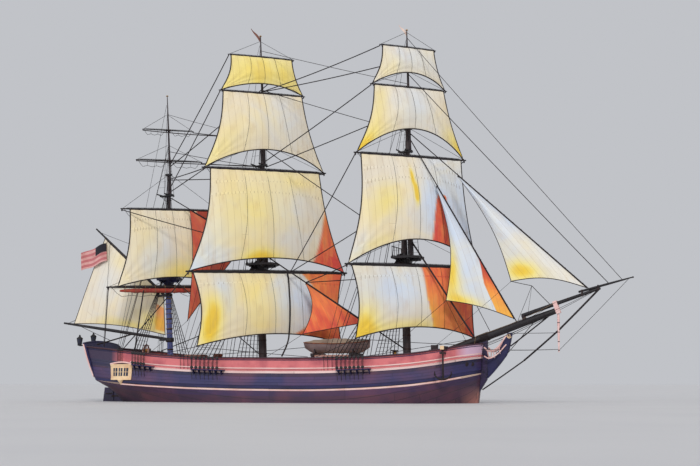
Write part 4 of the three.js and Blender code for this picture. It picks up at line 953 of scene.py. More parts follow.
# %% Skylight and bell
SKYLIGHT_SLOPE = 0.49
fittings.box((-14.6, -0.5, 3.4), (-13.8, 0.5, 3.86), 1)
fittings.prism([(-0.56, 3.84), (0, 4.14), (0.56, 3.84)], -14.66, -13.74, 5, axis=0)
for y, slope in ((-0.28, SKYLIGHT_SLOPE), (0.28, -SKYLIGHT_SLOPE)):
    back = Matrix.Translation((0, -y, -4.0))
    lean_over = Matrix.Translation((0, y, 4.0)) @ Matrix.Rotation(slope, 4, "X") @ back
    for x in (-14.5, -14.2, -13.9):
        fittings.box((x - 0.02, y - 0.27, 3.99), (x + 0.02, y + 0.27, 4.01), 1, lean_over)
for y in (-0.42, 0.42):
    fittings.box((8.84, y - 0.05, 3.0), (8.96, y + 0.05, 4.5), 3)
fittings.box((8.74, -0.55, 4.5), (9.06, 0.55, 4.6), 3)
BELL = [(0, 0.04), (0.06, 0.12), (0.2, 0.15), (0.34, 0.21), (0.37, 0.22)]
fittings.lathe((8.9, 0, 4.5), (8.9, 0, 3.5), BELL, 16, 6)
paints = [navy_paint, teak, cream_paint, mast_brown, deck_finish, pane, brass]
fittings.make("deck_fittings", paints, "ship", bevel=0.015)
print("fittings", len(fittings.faces), "faces")

# %% [markdown]
# The ground tackle hangs at the bow. Each anchor has an iron shank and arms with palms, and a
# wooden stock across the top. Arms are arcs, so they are drawn as bent tubes that thin out.

# %% Anchors, hawse pipes and stern lanterns
def square(t):
    """The corners of a square bar that reaches t each way."""
    return [(-t, -t), (t, -t), (t, t), (-t, t)]


STOCK_Z = -0.33
for side_name, side in SIDES.items():
    anchor = Maker(Matrix.Translation((14.55, side * 4.5, 4.53)))
    anchor.tube([(0, 0, -0.05), (0, 0, -1.3), (0, 0, -2.5)], [0.065, 0.08, 0.1], 10)
    for end in (-1, 1):
        arm = [(end * 0.75 * sin(t), 0, -2.5 + 0.55 * (1 - cos(t))) for t in np.linspace(0, 1.45, 9)]
        anchor.tube(arm, np.linspace(0.1, 0.05, 9), 8)
        tip = Vector((end * 0.72, 0, -2.05))
        anchor.loft([[tip + Vector((end * dx, y, z)) for y, z in ((-0.2, -0.1), (0.2, -0.1), (0, 0.22))]
                     for dx in (-0.03, 0.02)])
    anchor.loft([[Vector((x, y, STOCK_Z + z)) for x, z in square(t)]
                 for y, t in ((-0.85, 0.06), (-0.15, 0.1), (0.15, 0.1), (0.85, 0.06))], 1)
    for y in (-0.6, -0.25, 0.25, 0.6):
        band = [(x, STOCK_Z + z) for x, z in square(0.105 - 0.03 * abs(y))]
        anchor.prism(band, y - 0.03, y + 0.03, axis=1)
    anchor.tube([(x, 0, 0.02 + z) for x, z in arc(0.16, 17)], 0.025, 6)
    made = anchor.make("anchor_iron_" + side_name, [iron, mast_brown], "ship")
    dress(made, "anchor_" + side_name, slot="iron")

bow = Maker()
HAWSE = [(0.1, 0.13), (0.22, 0.13), (0.26, 0.17), (0.33, 0.17), (0.34, 0.1)]
for side in SIDES.values():
    for x, z in ((16.0, 3.35), (16.35, 3.35)):
        s = station(x)
        y = s["deckWide"] * 0.55 + s["wide"] * 0.45
        bow.lathe((x - 0.1, side * (y - 0.2), z), (x + 0.25, side * (y + 0.5), z - 0.1), HAWSE, 14, 0)
LANTERN_ROOF = [(0, 0.31), (0.06, 0.28), (0.17, 0.13), (0.25, 0.08), (0.3, 0.09), (0.38, 0.02)]
for y, x, z in ((-3.0, -21.0, 5.15), (0, -21.3, 5.45)):
    root = on_stern(y, 5.3, STERN_THICK)
    bow.tube(curve_through([root, root + Vector((-0.3, 0, -0.12)), (x, y, z + 0.02)]), 0.045, 6, 0)
    bow.turned((x, y, z), [(0, 0.07), (0.05, 0.2), (0.12, 0.22), (0.15, 0.18)], 8, 1)
    bow.turned((x, y, z + 0.15), [(0, 0.17), (0.52, 0.26), (0.55, 0.2)], 8, 2)
    bow.turned((x, y, z + 0.68), LANTERN_ROOF, 8, 1)
    for k in range(8):
        t = 2 * pi * k / 8 + pi / 8
        corner = [(x + r * cos(t), y + r * sin(t), z + rise) for r, rise in ((0.17, 0.13), (0.26, 0.69))]
        bow.tube(corner, 0.024, 6, 1)
bow.make("hawse_pipes_and_lanterns", [iron, spar_black, pane], "ship")
print("anchors and lanterns done")

# %% [markdown]
# The boat sits on skids amidships. Its hull is clinker built: each plank laps over the one
# below, which shows as a row of little steps. A tarpaulin covers it.

# %% Ship's boat on its skids
BOAT_ROWS = [(-3, 0.55, 0.45, 1.0, 1.08), (-2.1, 0.85, 0, 0.92, 1.22), (0, 0.98, 0, 0.86, 1.34),
             (2.1, 0.75, 0, 0.95, 1.25), (3.1, 0.12, 0.5, 1.12, 1.16)]
BOAT_X, BOAT_Z, LAPS = 3.5, 4.35, 7
boat_table = np.array(BOAT_ROWS)


def boat_at(x):
    return [fair(boat_table[:, 0], boat_table[:, k], x) for k in range(1, 5)]


boat = Maker()
rings = []
for x in np.linspace(-3, 3.1, 25):
    half, keel, gunwale, _ = boat_at(float(x))
    side_rows = []
    for k in range(LAPS + 1):
        t = k / LAPS
        y = half * min(1.0, sin(min(1, 0.28 + 0.72 * t) * pi / 2) * (0.35 + 0.65 * t ** 0.45))
        z = keel + (gunwale - keel) * t ** 1.25
        side_rows += [(y, z)] if k in (0, LAPS) else [(y, z), (y - 0.022, z + 0.004)]
    rings.append([Vector((BOAT_X + x, y, BOAT_Z + z)) for y, z in side_rows]
                 + [Vector((BOAT_X + x, -y, BOAT_Z + z)) for y, z in side_rows[::-1]])
boat.loft(rings)
for side in SIDES.values():
    gunwale_line = []
    for x in np.linspace(-3, 3.1, 21):
        half, _, gunwale, _ = boat_at(float(x))
        gunwale_line.append((BOAT_X + x, side * half, BOAT_Z + gunwale - 0.02))
    boat.tube(gunwale_line, 0.045, 6, 1)
dress(boat.make("clinker_boat", [boat_paint, teak], "ship", crisp=25), "ships_boat", slot="boat")
skids = Maker()
for x in (1.7, 5.3):
    for y in (-1.45, 1.45):
        skids.box((x - 0.12, y - 0.1, 2.85), (x + 0.12, y + 0.1, 4.1))
    skids.box((x - 0.15, -1.6, 4.08), (x + 0.15, 1.6, 4.34))
    half = boat_at(x - BOAT_X)[0]
    chock = [(0.25, 4.34), (half + 0.1, 4.34), (half + 0.1, 4.75), (half + 0.02, 4.75), (half * 0.7, 4.5)]
    for side in SIDES.values():
        skids.prism([(side * y, z) for y, z in chock], x - 0.06, x + 0.06, axis=0)
skids.make("boat_skids", mast_brown, "ship", bevel=0.015)
print("boat rings", len(rings))

# %% [markdown]
# ## Steering and capstan
# The wheel has eight turned spokes that end in handles, set through a felloe of two rims. The
# capstan is a drum with raised whelps, and its head has square holes for the bars. Both ride
# on bodies of their own, so they turn with their joints.

# %% Wheel, rudder and capstan
WHEEL = Vector((-15.6, 0, 4.75))
HUB = [(0, 0.06), (0.02, 0.12), (0.07, 0.14), (0.17, 0.14), (0.22, 0.12), (0.24, 0.06)]
SPOKE = [(0, 0.03), (0.08, 0.034), (0.12, 0.022), (0.2, 0.036), (0.3, 0.026), (0.36, 0.04), (0.48, 0.04),
         (0.5, 0.02), (0.53, 0.036), (0.6, 0.036), (0.64, 0.02)]
wheel = Maker(Matrix.Translation(WHEEL))
wheel.lathe((-0.12, 0, 0), (1, 0, 0), HUB, 16, 1)
for reach, thick in ((0.47, 0.028), (0.57, 0.03)):
    wheel.tube([(0, y, z) for y, z in arc(reach, 41)], thick, 8)
for end in (-1, 1):
    wheel.loft([[Vector((end * 0.04 + dx, r * cos(t), r * sin(t)))
                 for r, dx in ((0.49, -0.008), (0.55, -0.008), (0.55, 0.008), (0.49, 0.008))]
                for t in np.linspace(0, 2 * pi, 33)], 0)
for k in range(8):
    t = pi / 4 * k
    out = Vector((0, cos(t), sin(t)))
    wheel.lathe(out * 0.1, out, SPOKE, 10)
dress(wheel.make("spoked_wheel", [teak, brass], "wheel"), "steering_wheel", slot="deck_gear")
stand = Maker()
for x in (-15.95, -15.25):
    for y in (-0.3, 0.3):
        stand.tube([(x, y, 3.5), (x, y * 0.4, 4.62)], 0.055, 8)
    stand.box((x - 0.06, -0.14, 4.58), (x + 0.06, 0.14, 4.92))
stand.lathe((-16.0, 0, 4.75), (0, 0, 4.75), [(0, 0.05), (0.22, 0.05), (0.24, 0.05)], 10, 1)
stand.lathe((-15.46, 0, 4.75), (0, 0, 4.75), [(0, 0.05), (0.26, 0.05)], 10, 1)
stand.make("wheel_stand", [mast_brown, brass], "ship")
print("faces of the wheel and its stand", len(wheel.faces), len(stand.faces))

# %% Rudder with its irons
BLADE = [(0, -3.95), (-1.5, -3.85), (-1.45, -1.6), (-1.1, 0), (-0.85, 1.3), (0, 1.3)]
IRON_HEIGHTS = (-3.1, -1.3, 0.5)


def rudder_pin(z):
    return post_x(z) - 0.17


def blade_ring(y):
    return [Vector((rudder_pin(z) + x * 0.985, y * (1 if x == 0 else 0.8), z)) for x, z in BLADE]


steering = Maker()
steering.loft([blade_ring(-0.13), blade_ring(0.13)])
stock_ends = [(rudder_pin(z), 0, z) for z in (-3.95, 1.3)]
steering.lathe(*stock_ends, [(0, 0.14), (5.2, 0.15), (5.25, 0.12)], 14)
for z in IRON_HEIGHTS:
    for y in (-0.145, 0.125):
        steering.box((rudder_pin(z) - 0.75, y, z + 0.16), (rudder_pin(z), y + 0.02, z + 0.28), 1)
dress(steering.make("rudder_blade", [stem_finish, iron], "rudder", bevel=0.02), "rudder", slot="hull")
straps = Maker()
for z in IRON_HEIGHTS:
    pin = rudder_pin(z)
    for y in (-0.2, 0.18):
        straps.box((pin + 0.1, y, z - 0.06), (pin + 0.7, y + 0.02, z + 0.06))
    straps.turned((pin, 0, z - 0.1), [(0, 0.16), (0.02, 0.19), (0.18, 0.19), (0.2, 0.16)], 14)
straps.make("gudgeons", iron, "ship", bevel=0.01)
print("wheel and rudder done")

# %% Capstan
CAPSTAN_PROFILE = [(0.0, 0.42), (0.08, 0.42), (0.12, 0.28), (0.3, 0.22), (0.55, 0.22), (0.78, 0.38),
                   (0.8, 0.45), (0.97, 0.45), (1.0, 0.42), (1.05, 0.34)]
WHELP = [(0.15, 0.1), (0.37, 0.1), (0.29, 0.3), (0.29, 0.55), (0.36, 0.76), (0.15, 0.76)]
capstan = Maker(Matrix.Translation((-8.2, 0, 3.35)))
capstan.turned((0, 0, 0), CAPSTAN_PROFILE, 24)
for k in range(8):
    t = pi / 4 * k
    out, across = Vector((cos(t), sin(t), 0)), Vector((-sin(t), cos(t), 0))
    capstan.loft([[out * r + across * w + Vector((0, 0, z)) for r, z in WHELP] for w in (-0.04, 0.04)], 1)
    capstan.box((0.4, -0.045, 0.85), (0.462, 0.045, 0.93), 2, Matrix.Rotation(t, 4, "Z"))
drum = capstan.make("capstan_drum", [teak, mast_brown, iron], "capstan", bevel=0.012)
dress(drum, "capstan", slot="deck_gear")
print("capstan done")

# %% [markdown]
# ## Repeated work with Geometry Nodes
# Anything that repeats is grown by a small node tree instead of being modelled piece by piece.
# A carrier mesh holds only points or lines; the tree puts a shape on each point, or gives each
# line a thickness. The result is turned into a plain mesh, because a finished piece should
# not depend on a live modifier.

# %% Growing pieces from a carrier
def new_tree(name, *sockets):
    tree = bpy.data.node_groups.new(name, "GeometryNodeTree")
    tree.interface.new_socket("Carrier", in_out="INPUT", socket_type="NodeSocketGeometry")
    for socket, kind in sockets:
        tree.interface.new_socket(socket, in_out="INPUT", socket_type="NodeSocket" + kind)
    tree.interface.new_socket("Grown", in_out="OUTPUT", socket_type="NodeSocketGeometry")
    return tree, tree.nodes.new("NodeGroupInput").outputs, tree.nodes.new("NodeGroupOutput").inputs


def finish_tree(tree, mesh, material, output):
    """Every tree ends by making instances real and giving the finish."""
    real = node(tree, "GeometryNodeRealizeInstances", {0: mesh}).outputs[0]
    done = node(tree, "GeometryNodeSetMaterial", {"Geometry": real, "Material": material})
    tree.links.new(done.outputs[0], output)


def tubes_along(tree, curves, sides, radius):
    ring = node(tree, "GeometryNodeCurvePrimitiveCircle", {"Resolution": sides, "Radius": radius}).outputs[0]
    return node(tree, "GeometryNodeCurveToMesh",
                {"Curve": curves, "Profile Curve": ring, "Fill Caps": True}).outputs[0]


rope_tree, ri, ro = new_tree("Ropes along lines", ("Radius", "Float"), ("Sides", "Int"),
                             ("Material", "Material"))
lines = node(rope_tree, "GeometryNodeMeshToCurve", {0: ri[0]}).outputs[0]
rope = tubes_along(rope_tree, lines, ri[2], ri[1])
finish_tree(rope_tree, node(rope_tree, "GeometryNodeSetShadeSmooth", {0: rope}).outputs[0], ri[3], ro[0])

repeat_tree, ri, ro = new_tree("Shape on every point", ("Shape", "Object"), ("Material", "Material"))
shape = node(repeat_tree, "GeometryNodeObjectInfo", {0: ri[1]}).outputs["Geometry"]
turn, grow = [node(repeat_tree, "GeometryNodeInputNamedAttribute", {"Name": mark}, data_type=kind).outputs[0]
              for mark, kind in (("turn", "FLOAT_VECTOR"), ("grow", "FLOAT"))]
placed = node(repeat_tree, "GeometryNodeInstanceOnPoints",
              {"Points": ri[0], "Instance": shape, "Rotation": turn, "Scale": grow}).outputs[0]
finish_tree(repeat_tree, placed, ri[2], ro[0])


def grown(name, points, edges, tree, inputs, body=None, marks=None):
    """Runs a tree on a carrier of points and edges, and keeps the result as a plain mesh."""
    carrier_mesh = bpy.data.meshes.new(name + "_carrier")
    carrier_mesh.from_pydata([Vector(p) * MODEL for p in points], edges, [])
    for mark, kind, values in marks or []:
        carrier_mesh.attributes.new(mark, kind, "POINT").data.foreach_set(
            "vector" if kind == "FLOAT_VECTOR" else "value", np.array(values, float).ravel())
    carrier = bpy.data.objects.new(name + "_carrier", carrier_mesh)
    bpy.context.scene.collection.objects.link(carrier)
    modifier = carrier.modifiers.new("Grow", "NODES")
    modifier.node_group = tree
    for item in tree.interface.items_tree:
        if item.in_out == "INPUT" and item.name in inputs:
            modifier[item.identifier] = inputs[item.name]
    evaluated = carrier.evaluated_get(bpy.context.evaluated_depsgraph_get())
    mesh = bpy.data.meshes.new_from_object(evaluated)
    mesh.name = name
    bpy.data.objects.remove(carrier)
    obj = bpy.data.objects.new(name, mesh)
    bpy.context.scene.collection.objects.link(obj)
    if body:
        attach(obj, body)
    return obj


print("trees", rope_tree.name, "and", repeat_tree.name)


# %% Rigging that is collected by body, thickness and rope
class Rigging:
    """Gathers rope lines, then grows one piece for each body, thickness and finish."""

    def __init__(self):
        self.sets = {}

    def line(self, body, radius, path, material=None):
        points, edges = self.sets.setdefault((body, radius, material or tarred), ([], []))
        base = len(points)
        points += [Vector(p) for p in path]
        edges += [(base + i, base + i + 1) for i in range(len(path) - 1)]

    def make(self, name):
        for k, ((body, radius, material), (points, edges)) in enumerate(self.sets.items()):
            inputs = {"Radius": radius * MODEL, "Sides": 5 if radius < 0.03 else 7, "Material": material}
            piece = grown(f"{name}_{k + 1}_{body}", points, edges, rope_tree, inputs, body)
            print(piece.name, len(piece.data.polygons), "faces")


def sagging(a, b, sag=0.01, count=10):
    """A rope between two points that hangs a little, by a share of its length."""
    a, b = Vector(a), Vector(b)
    drop = Vector((0, 0, -(a - b).length * sag))
    return [a.lerp(b, k / count) + drop * 4 * (k / count) * (1 - k / count) for k in range(count + 1)]


# %% Shapes that are repeated
def shape_of(build):
    """A small mesh kept out of the scene, used only as the shape on each point."""
    maker = Maker()
    build(maker)
    obj = maker.make(build.__name__, [])
    bpy.context.scene.collection.objects.unlink(obj)
    return obj


def deadeye_shape(maker):
    maker.lathe((0, -0.05, 0), (0, 1, 0), [(0, 0.07), (0.02, 0.11), (0.08, 0.11), (0.1, 0.07)], 12)


def block_shape(maker):
    maker.ball((0, 0, 0), 0.11, 0, 10, 6, 1.35)
    maker.box((-0.035, -0.12, -0.16), (0.035, 0.12, 0.16))


def pin_shape(maker):
    profile = [(0, 0.014), (0.3, 0.02), (0.32, 0.035), (0.42, 0.045), (0.5, 0.03), (0.55, 0.02)]
    maker.turned((0, 0, -0.3), profile, 8)


class Spots:
    """Gathers places for a repeated shape, by body."""

    def __init__(self, shape, material):
        self.shape, self.material, self.bodies = shape, material, {}

    def put(self, body, place, turn=(0, 0, 0), grow=1.0):
        for row, value in zip(self.bodies.setdefault(body, ([], [], [])), (Vector(place), turn, grow)):
            row.append(value)

    def make(self, name):
        inputs = {"Shape": self.shape, "Material": self.material}
        for body, (points, turns, sizes) in self.bodies.items():
            marks = [("turn", "FLOAT_VECTOR", turns), ("grow", "FLOAT", sizes)]
            piece = grown(f"{name}_{body}", points, [], repeat_tree, inputs, body, marks)
            print(piece.name, len(points), "places")


rigging = Rigging()
deadeyes = Spots(shape_of(deadeye_shape), spar_black)
blocks = Spots(shape_of(block_shape), mast_brown)
pins = Spots(shape_of(pin_shape), teak)
print("ready to rig")

# %% [markdown]
# Pin rails stand inside the bulwark abreast of each mast, and a fife rail on posts surrounds
# the foot of each mast. The belaying pins in them are a repeated shape.

# %% Pin rails, fife rails and belaying pins
PIN_RAIL = [(-0.52, -0.42, "rail"), (-0.27, -0.42, "rail"), (-0.27, -0.34, "rail"), (-0.52, -0.34, "rail")]
rails = Maker()


def fife_rail(mast):
    """Two rails beside a mast and one behind it, on four posts."""
    x = mast["x"] - mast["behind"] - mast["foot"] * tan(radians(mast["rake"]))
    deck = mast["foot"] - 0.3
    low, high, pin_height = deck + 0.72, deck + 0.82, deck + 0.8
    aft, ahead = mast["radius"] + 0.55, (mast["radius"] + 0.55) * 0.55
    half = 0.95 * mast["size"] + 0.05
    for y in (-half, half):
        for post in (x - aft, x + ahead):
            rails.box((post - 0.08, y - 0.08, deck - 0.5), (post + 0.08, y + 0.08, deck + 1.0), 0)
        rails.box((x - aft - 0.15, y - 0.09, low), (x + ahead + 0.15, y + 0.09, high), 0)
        for dx in np.arange(-aft + 0.2, aft * 0.5, 0.2):
            pins.put("ship", (x + dx, y, pin_height))
    rails.box((x - aft - 0.09, -half, low), (x - aft + 0.09, half, high), 0)
    for y in np.arange(-half + 0.2, half - 0.1, 0.2):
        pins.put("ship", (x - aft, y, pin_height))


for mast in MASTS.values():
    start, stop = mast["channel"]
    for side in SIDES.values():
        batten(rails, PIN_RAIL, 0, side, start, stop)
        for x in np.arange(start + 0.2, stop, 0.3):
            s = station(float(x))
            pins.put("ship", (x, side * (s["deckWide"] - 0.43), s["rail"] - 0.36))
    fife_rail(mast)
rails.make("pin_and_fife_rails", mast_brown, "ship", bevel=0.012)
print("rails", len(rails.faces), "faces")

# %% [markdown]
# ## Masts
# A lower mast is built up from several timbers and held by iron hoops. On its cheeks rests
# the top, a platform that spreads the topmast shrouds, and the cap on its head holds the
# topmast upright. All of it is turned or sawn, and drawn on the mast's own axis.

# %% Sticks, tops and caps
TOP_OUTLINE = [(-1.35, -1.55), (0.35, -1.55), (1.0, -0.8525), (1.0, 0.8525), (0.35, 1.55), (-1.35, 1.55)]
WOOD_SLOT, IRON_SLOT, TRIM_SLOT, BOARD_SLOT = 0, 1, 2, 3


def lower_stick(stick, mast):
    """The mast itself and its iron hoops."""
    r, back, foot, head = mast["radius"], mast["behind"], mast["foot"], mast["head"]
    stick.spar((-back, 0, foot + 0.001), (-back, 0, head), [(0, r), (0.3, r), (1, r * 0.72)], 28)
    for k in range(7):
        height = lerp(foot + 1.2, mast["top"] - 0.9, k / 6)
        taper = r * (1 - 0.28 * max(0, ((height - foot) / (head - foot) - 0.3) / 0.7))
        stick.hoop((-back, 0, height), (0, 0, 1), taper, 0.14, IRON_SLOT, 28, 0.018)


def platform(stick, mast):
    """The top: a floor with a rim and boards, on two beams along and two across."""
    r, back, top, size = mast["radius"], mast["behind"], mast["top"], mast["size"]
    outline = [(x * size, y * size) for x, y in TOP_OUTLINE]
    stick.prism(outline, top - 0.14, top - 0.04, TRIM_SLOT)
    rim = [Vector((x, y, top - 0.04)) for x, y in outline]
    rise = Vector((0, 0, 0.1))
    for a, b in zip(rim, rim[1:] + rim[:1]):
        inward = -((a + b) / 2 - Vector((-0.15 * size, 0, top - 0.04))).normalized() * 0.09
        stick.loft([[p, p + inward, p + inward + rise, p + rise] for p in (a, b)], TRIM_SLOT)
    for x in np.arange(-1.2 * size, 0.9 * size, 0.17):
        reach = 1.46 * size if x < 0.35 * size else lerp(1.46, 0.85, (x / size - 0.35) / 0.65) * size
        stick.box((x, -reach, top - 0.05), (x + 0.12, reach, top - 0.015), BOARD_SLOT)
    for y in (-r * 0.75, r * 0.75):
        stick.box((-1.2 * size, y - 0.08, top - 0.34), (0.85 * size, y + 0.08, top - 0.14), TRIM_SLOT)
    for x in (-back - r - 0.06, 0.12):
        stick.box((x - 0.08, -1.35 * size, top - 0.26), (x + 0.08, 1.35 * size, top - 0.14), TRIM_SLOT)


def cheeks_and_cap(stick, mast):
    """The cheeks carry the top, and the cap on the head holds the topmast."""
    r, back, top, head = mast["radius"], mast["behind"], mast["top"], mast["head"]
    upper = [(-back - r, top - 0.44), (0.02, top - 0.44), (0.1, top - 0.14), (-back - r, top - 0.14)]
    lower = [(-back - r * 0.5, top - 1.5), (-back + r * 0.5, top - 1.5), (0.0, top - 0.44),
             (-back - r * 0.9, top - 0.44)]
    stick.prism(upper, -r - 0.06, r + 0.06, TRIM_SLOT, axis=1)
    stick.prism(lower, -r - 0.04, r + 0.04, TRIM_SLOT, axis=1)
    aft, ahead = -back - 0.72 * r, mast["topmast"]
    stick.box((aft - 0.1, -0.34, head - 0.02), (ahead + 0.14, 0.34, head + 0.24), WOOD_SLOT)
    for z in (head + 0.03, head + 0.17):
        for y in (-0.352, 0.34):
            stick.box((aft - 0.09, y, z), (ahead + 0.13, y + 0.012, z + 0.05), IRON_SLOT)


print("masts to build:", ", ".join(MASTS))

# %% Lower masts
YARD_PIVOT = {"fore": 11.95, "main": 11.75, "mizzen": 10.65}
PIVOT_RING = [(0, 0.135), (0.015, 0.15), (0.165, 0.15), (0.18, 0.135)]
JAW = 5.7 + 0.45 * MILLIMETRE  # the jaws of the boom rest just above the mizzen mast's saddle
for name, mast in MASTS.items():
    r, back, top, size = mast["radius"], mast["behind"], mast["top"], mast["size"]
    stick = Maker(MAST_PLACE[name])
    lower_stick(stick, mast)
    platform(stick, mast)
    cheeks_and_cap(stick, mast)
    height = YARD_PIVOT[name]
    stick.box((-back, -0.11, height - 0.09), (-0.02, 0.11, height + 0.09), IRON_SLOT)
    stick.turned((0, 0, height - 0.09), PIVOT_RING, 24, IRON_SLOT)
    aft = -1.28 * size
    stick.tube([(aft, y * size, top + 0.95) for y in (-1.35, 1.35)], 0.045, 8, BOARD_SLOT)
    for y in (-1.35, -0.68, 0, 0.68, 1.35):
        stick.tube([(aft, y * size, top + 0.04), (aft, y * size, top + 0.95)], 0.03, 6, BOARD_SLOT)
    wooden, trim = mast_brown, spar_black
    if name == "mizzen":
        saddle = [(0, r), (0.02, r + 0.09), (0.05, r + 0.12), (0.15, r + 0.12)]
        stick.turned((-back, 0, 5.55), saddle, 28, IRON_SLOT)
        wooden, trim = mizzen_paint, navy_paint
    made = stick.make(name + "_mast_with_top", [wooden, iron, trim, mast_brown], "ship", bevel=0.012)
    dress(made, name + "_lower_mast", slot="mast")
print("lower masts", list(MASTS))

# %% Topmasts and topgallant masts
def crosstrees(upper, mast):
    """Beams at the topmast's head that spread the topgallant shrouds, and the upper cap."""
    r, trees, head = mast["topmast"], mast["trees"], mast["topHead"]
    for x in (-0.75, 0.05):
        upper.box((x - 0.05, -0.975, trees - 0.1), (x + 0.05, 0.975, trees), 2)
        for y in (-0.93, 0.93):
            upper.hoop((x, y, trees - 0.05), (0, 1, 0), 0.055, 0.05, 1, 10, 0.008)
    for y in (-0.19, 0.19):
        upper.box((-0.85, y - 0.05, trees - 0.2), (0.42, y + 0.05, trees - 0.08), 2)
    upper.box((-0.1, -0.2, trees - 0.16), (AHEAD + 0.2, 0.2, trees), 2)
    upper.box((-r - 0.05, -0.19, head - 0.02), (AHEAD + mast["gallant"] + 0.06, 0.19, head + 0.16), 2)


TRUCK = [(0, 0.07), (0.02, 0.12), (0.06, 0.12), (0.1, 0.05)]
for name, mast in MASTS.items():
    r, g, trees, head, top = mast["topmast"], mast["gallant"], mast["trees"], mast["topHead"], mast["top"]
    upper = Maker(MAST_PLACE[name])
    upper.spar((0, 0, top + 0.002), (0, 0, head), [(0, r), (0.2, r), (1, r * 0.72)], 24)
    upper.box((-r * 0.7, -0.3, top + 0.08), (r * 0.7, 0.3, top + 0.2), 1)
    for share in (0.12, 0.5, 0.72, 0.93):
        height = lerp(top, trees, share)
        taper = r * (1 - 0.28 * max(0, ((height - top) / (head - top) - 0.2) / 0.8))
        upper.hoop((0, 0, height), (0, 0, 1), taper, 0.1, 1, 24, 0.012)
    crosstrees(upper, mast)
    if name != "mizzen":
        made = upper.make(name + "_topmast_turned", [mast_brown, iron, spar_black], "ship", bevel=0.01)
        dress(made, name + "_topmast", slot="mast")
        upper = Maker(MAST_PLACE[name])
    truck = mast["truck"]
    upper.spar((AHEAD, 0, trees + 0.002), (AHEAD, 0, truck), [(0, g), (0.35, g), (1, g * 0.4)], 20)
    for share in (0.45, 0.7):
        centre = (AHEAD, 0, lerp(head, truck, share))
        upper.hoop(centre, (0, 0, 1), g * lerp(1, 0.5, share), 0.08, 1, 20, 0.02)
    upper.turned((AHEAD, 0, truck - 0.03), TRUCK, 16, 3)
    made = upper.make(name + "_topgallant_pole", [mast_brown, iron, spar_black, brass], "ship", bevel=0.01)
    dress(made, "mizzen_topmast" if name == "mizzen" else name + "_topgallant_mast", slot="mast")
print("upper masts done")

# %% [markdown]
# The bowsprit points forward and up. Its cap holds the jib boom, which carries the flying jib
# boom in two irons. The striker below spreads the chains that hold the booms down.

# %% Bowsprit, jib booms and striker
HEEL, CAP = Vector((12.75, 0, 4.12)), Vector((23.43, 0, 7.87))
BOOM_HEEL, BOOM_TIP = Vector((20.3, 0, 7.42)), Vector((27.05, 0, 9.65))
FLY_HEEL, FLY_TIP = Vector((25.2, 0, 9.36)), Vector((29.75, 0, 10.5))


def along(a, b, x):
    return a.lerp(b, (x - a.x) / (b.x - a.x))


sprit = Maker()
sprit.spar(HEEL, CAP, [(0, 0.31), (0.4, 0.34), (1, 0.24)], 24)
slope = (CAP - HEEL).normalized()
tilt = atan2(slope.z, slope.x)
sprit.box((-0.2, -0.27, -0.3), (0.16, 0.27, 0.8), 1, Matrix.Translation(CAP) @ Matrix.Rotation(-tilt, 4, "Y"))
sprit.box((-0.14, -0.25, 0.12), (0.14, 0.25, 0.5), 2,
          Matrix.Translation((BOOM_HEEL.x + 0.3, 0, BOOM_HEEL.z - 0.45)) @ Matrix.Rotation(-tilt, 4, "Y"))
for x in (18.6, 20.6, 22.3):
    sprit.hoop(along(HEEL, CAP, x), slope, 0.345 - 0.11 * max(0, (x - 16.5) / 7), 0.14, 2, 24, 0.02)
for k in range(9):
    sprit.hoop(along(HEEL, CAP, 16.72 + 0.085 * k), slope, 0.35, 0.075, 3, 20, 0.03)
made = sprit.make("bowsprit_with_cap", [spar_black, pale_paint, iron, tarred], "ship", bevel=0.012)
dress(made, "bowsprit", slot="spar")
booms = Maker()
booms.spar(BOOM_HEEL, BOOM_TIP, [(0, 0.17), (1, 0.12)], 20)
booms.spar(FLY_HEEL, FLY_TIP, [(0, 0.1), (0.4, 0.1), (1, 0.05)], 16)
for x in (25.5, 26.85):
    z = along(BOOM_HEEL, BOOM_TIP, x).z
    booms.hoop((x, 0, z), (BOOM_TIP - BOOM_HEEL), 0.125, 0.12, 1, 20, 0.03)
    booms.hoop((x, 0, along(FLY_HEEL, FLY_TIP, x).z), (FLY_TIP - FLY_HEEL), 0.1, 0.12, 1, 16, 0.03)
    booms.box((x - 0.06, -0.06, z + 0.1), (x + 0.06, 0.06, z + 0.34), 1)
for x, radius in ((21.5, 0.165), (24.3, 0.145)):
    booms.hoop(along(BOOM_HEEL, BOOM_TIP, x), BOOM_TIP - BOOM_HEEL, radius, 0.09, 1, 20, 0.012)
booms.ball(FLY_TIP + Vector((0.02, 0, 0)), 0.075, 1, 12)
dress(booms.make("jib_booms", [spar_black, iron], "ship", bevel=0.01), "jib_boom", slot="spar")
STRIKER_X, STRIKER_FOOT = CAP.x + 0.02, 4.3
striker = Maker()
striker.spar((STRIKER_X, 0, STRIKER_FOOT), (STRIKER_X, 0, CAP.z - 0.36),
             [(0, 0.06), (0.9, 0.11), (1, 0.1)], 16)
for z in (4.45, 5.2, 6.0, 6.8):
    radius = 0.06 + 0.05 * (z - STRIKER_FOOT) / 3.2
    striker.hoop((STRIKER_X, 0, z), (0, 0, 1), radius, 0.07, 1, 16, 0.02)
dress(striker.make("striker_spar", [pale_paint, iron], "ship"), "dolphin_striker", slot="spar")
print("bowsprit done")

# %% [markdown]
# ## Yards
# Yards are round in section and taper to the ends. An iron rod, the jackstay, runs along the
# top of each, and the sail is tied to it. A fork, a collar or a hollowed block holds the yard
# to its mast, so that it can be braced round.

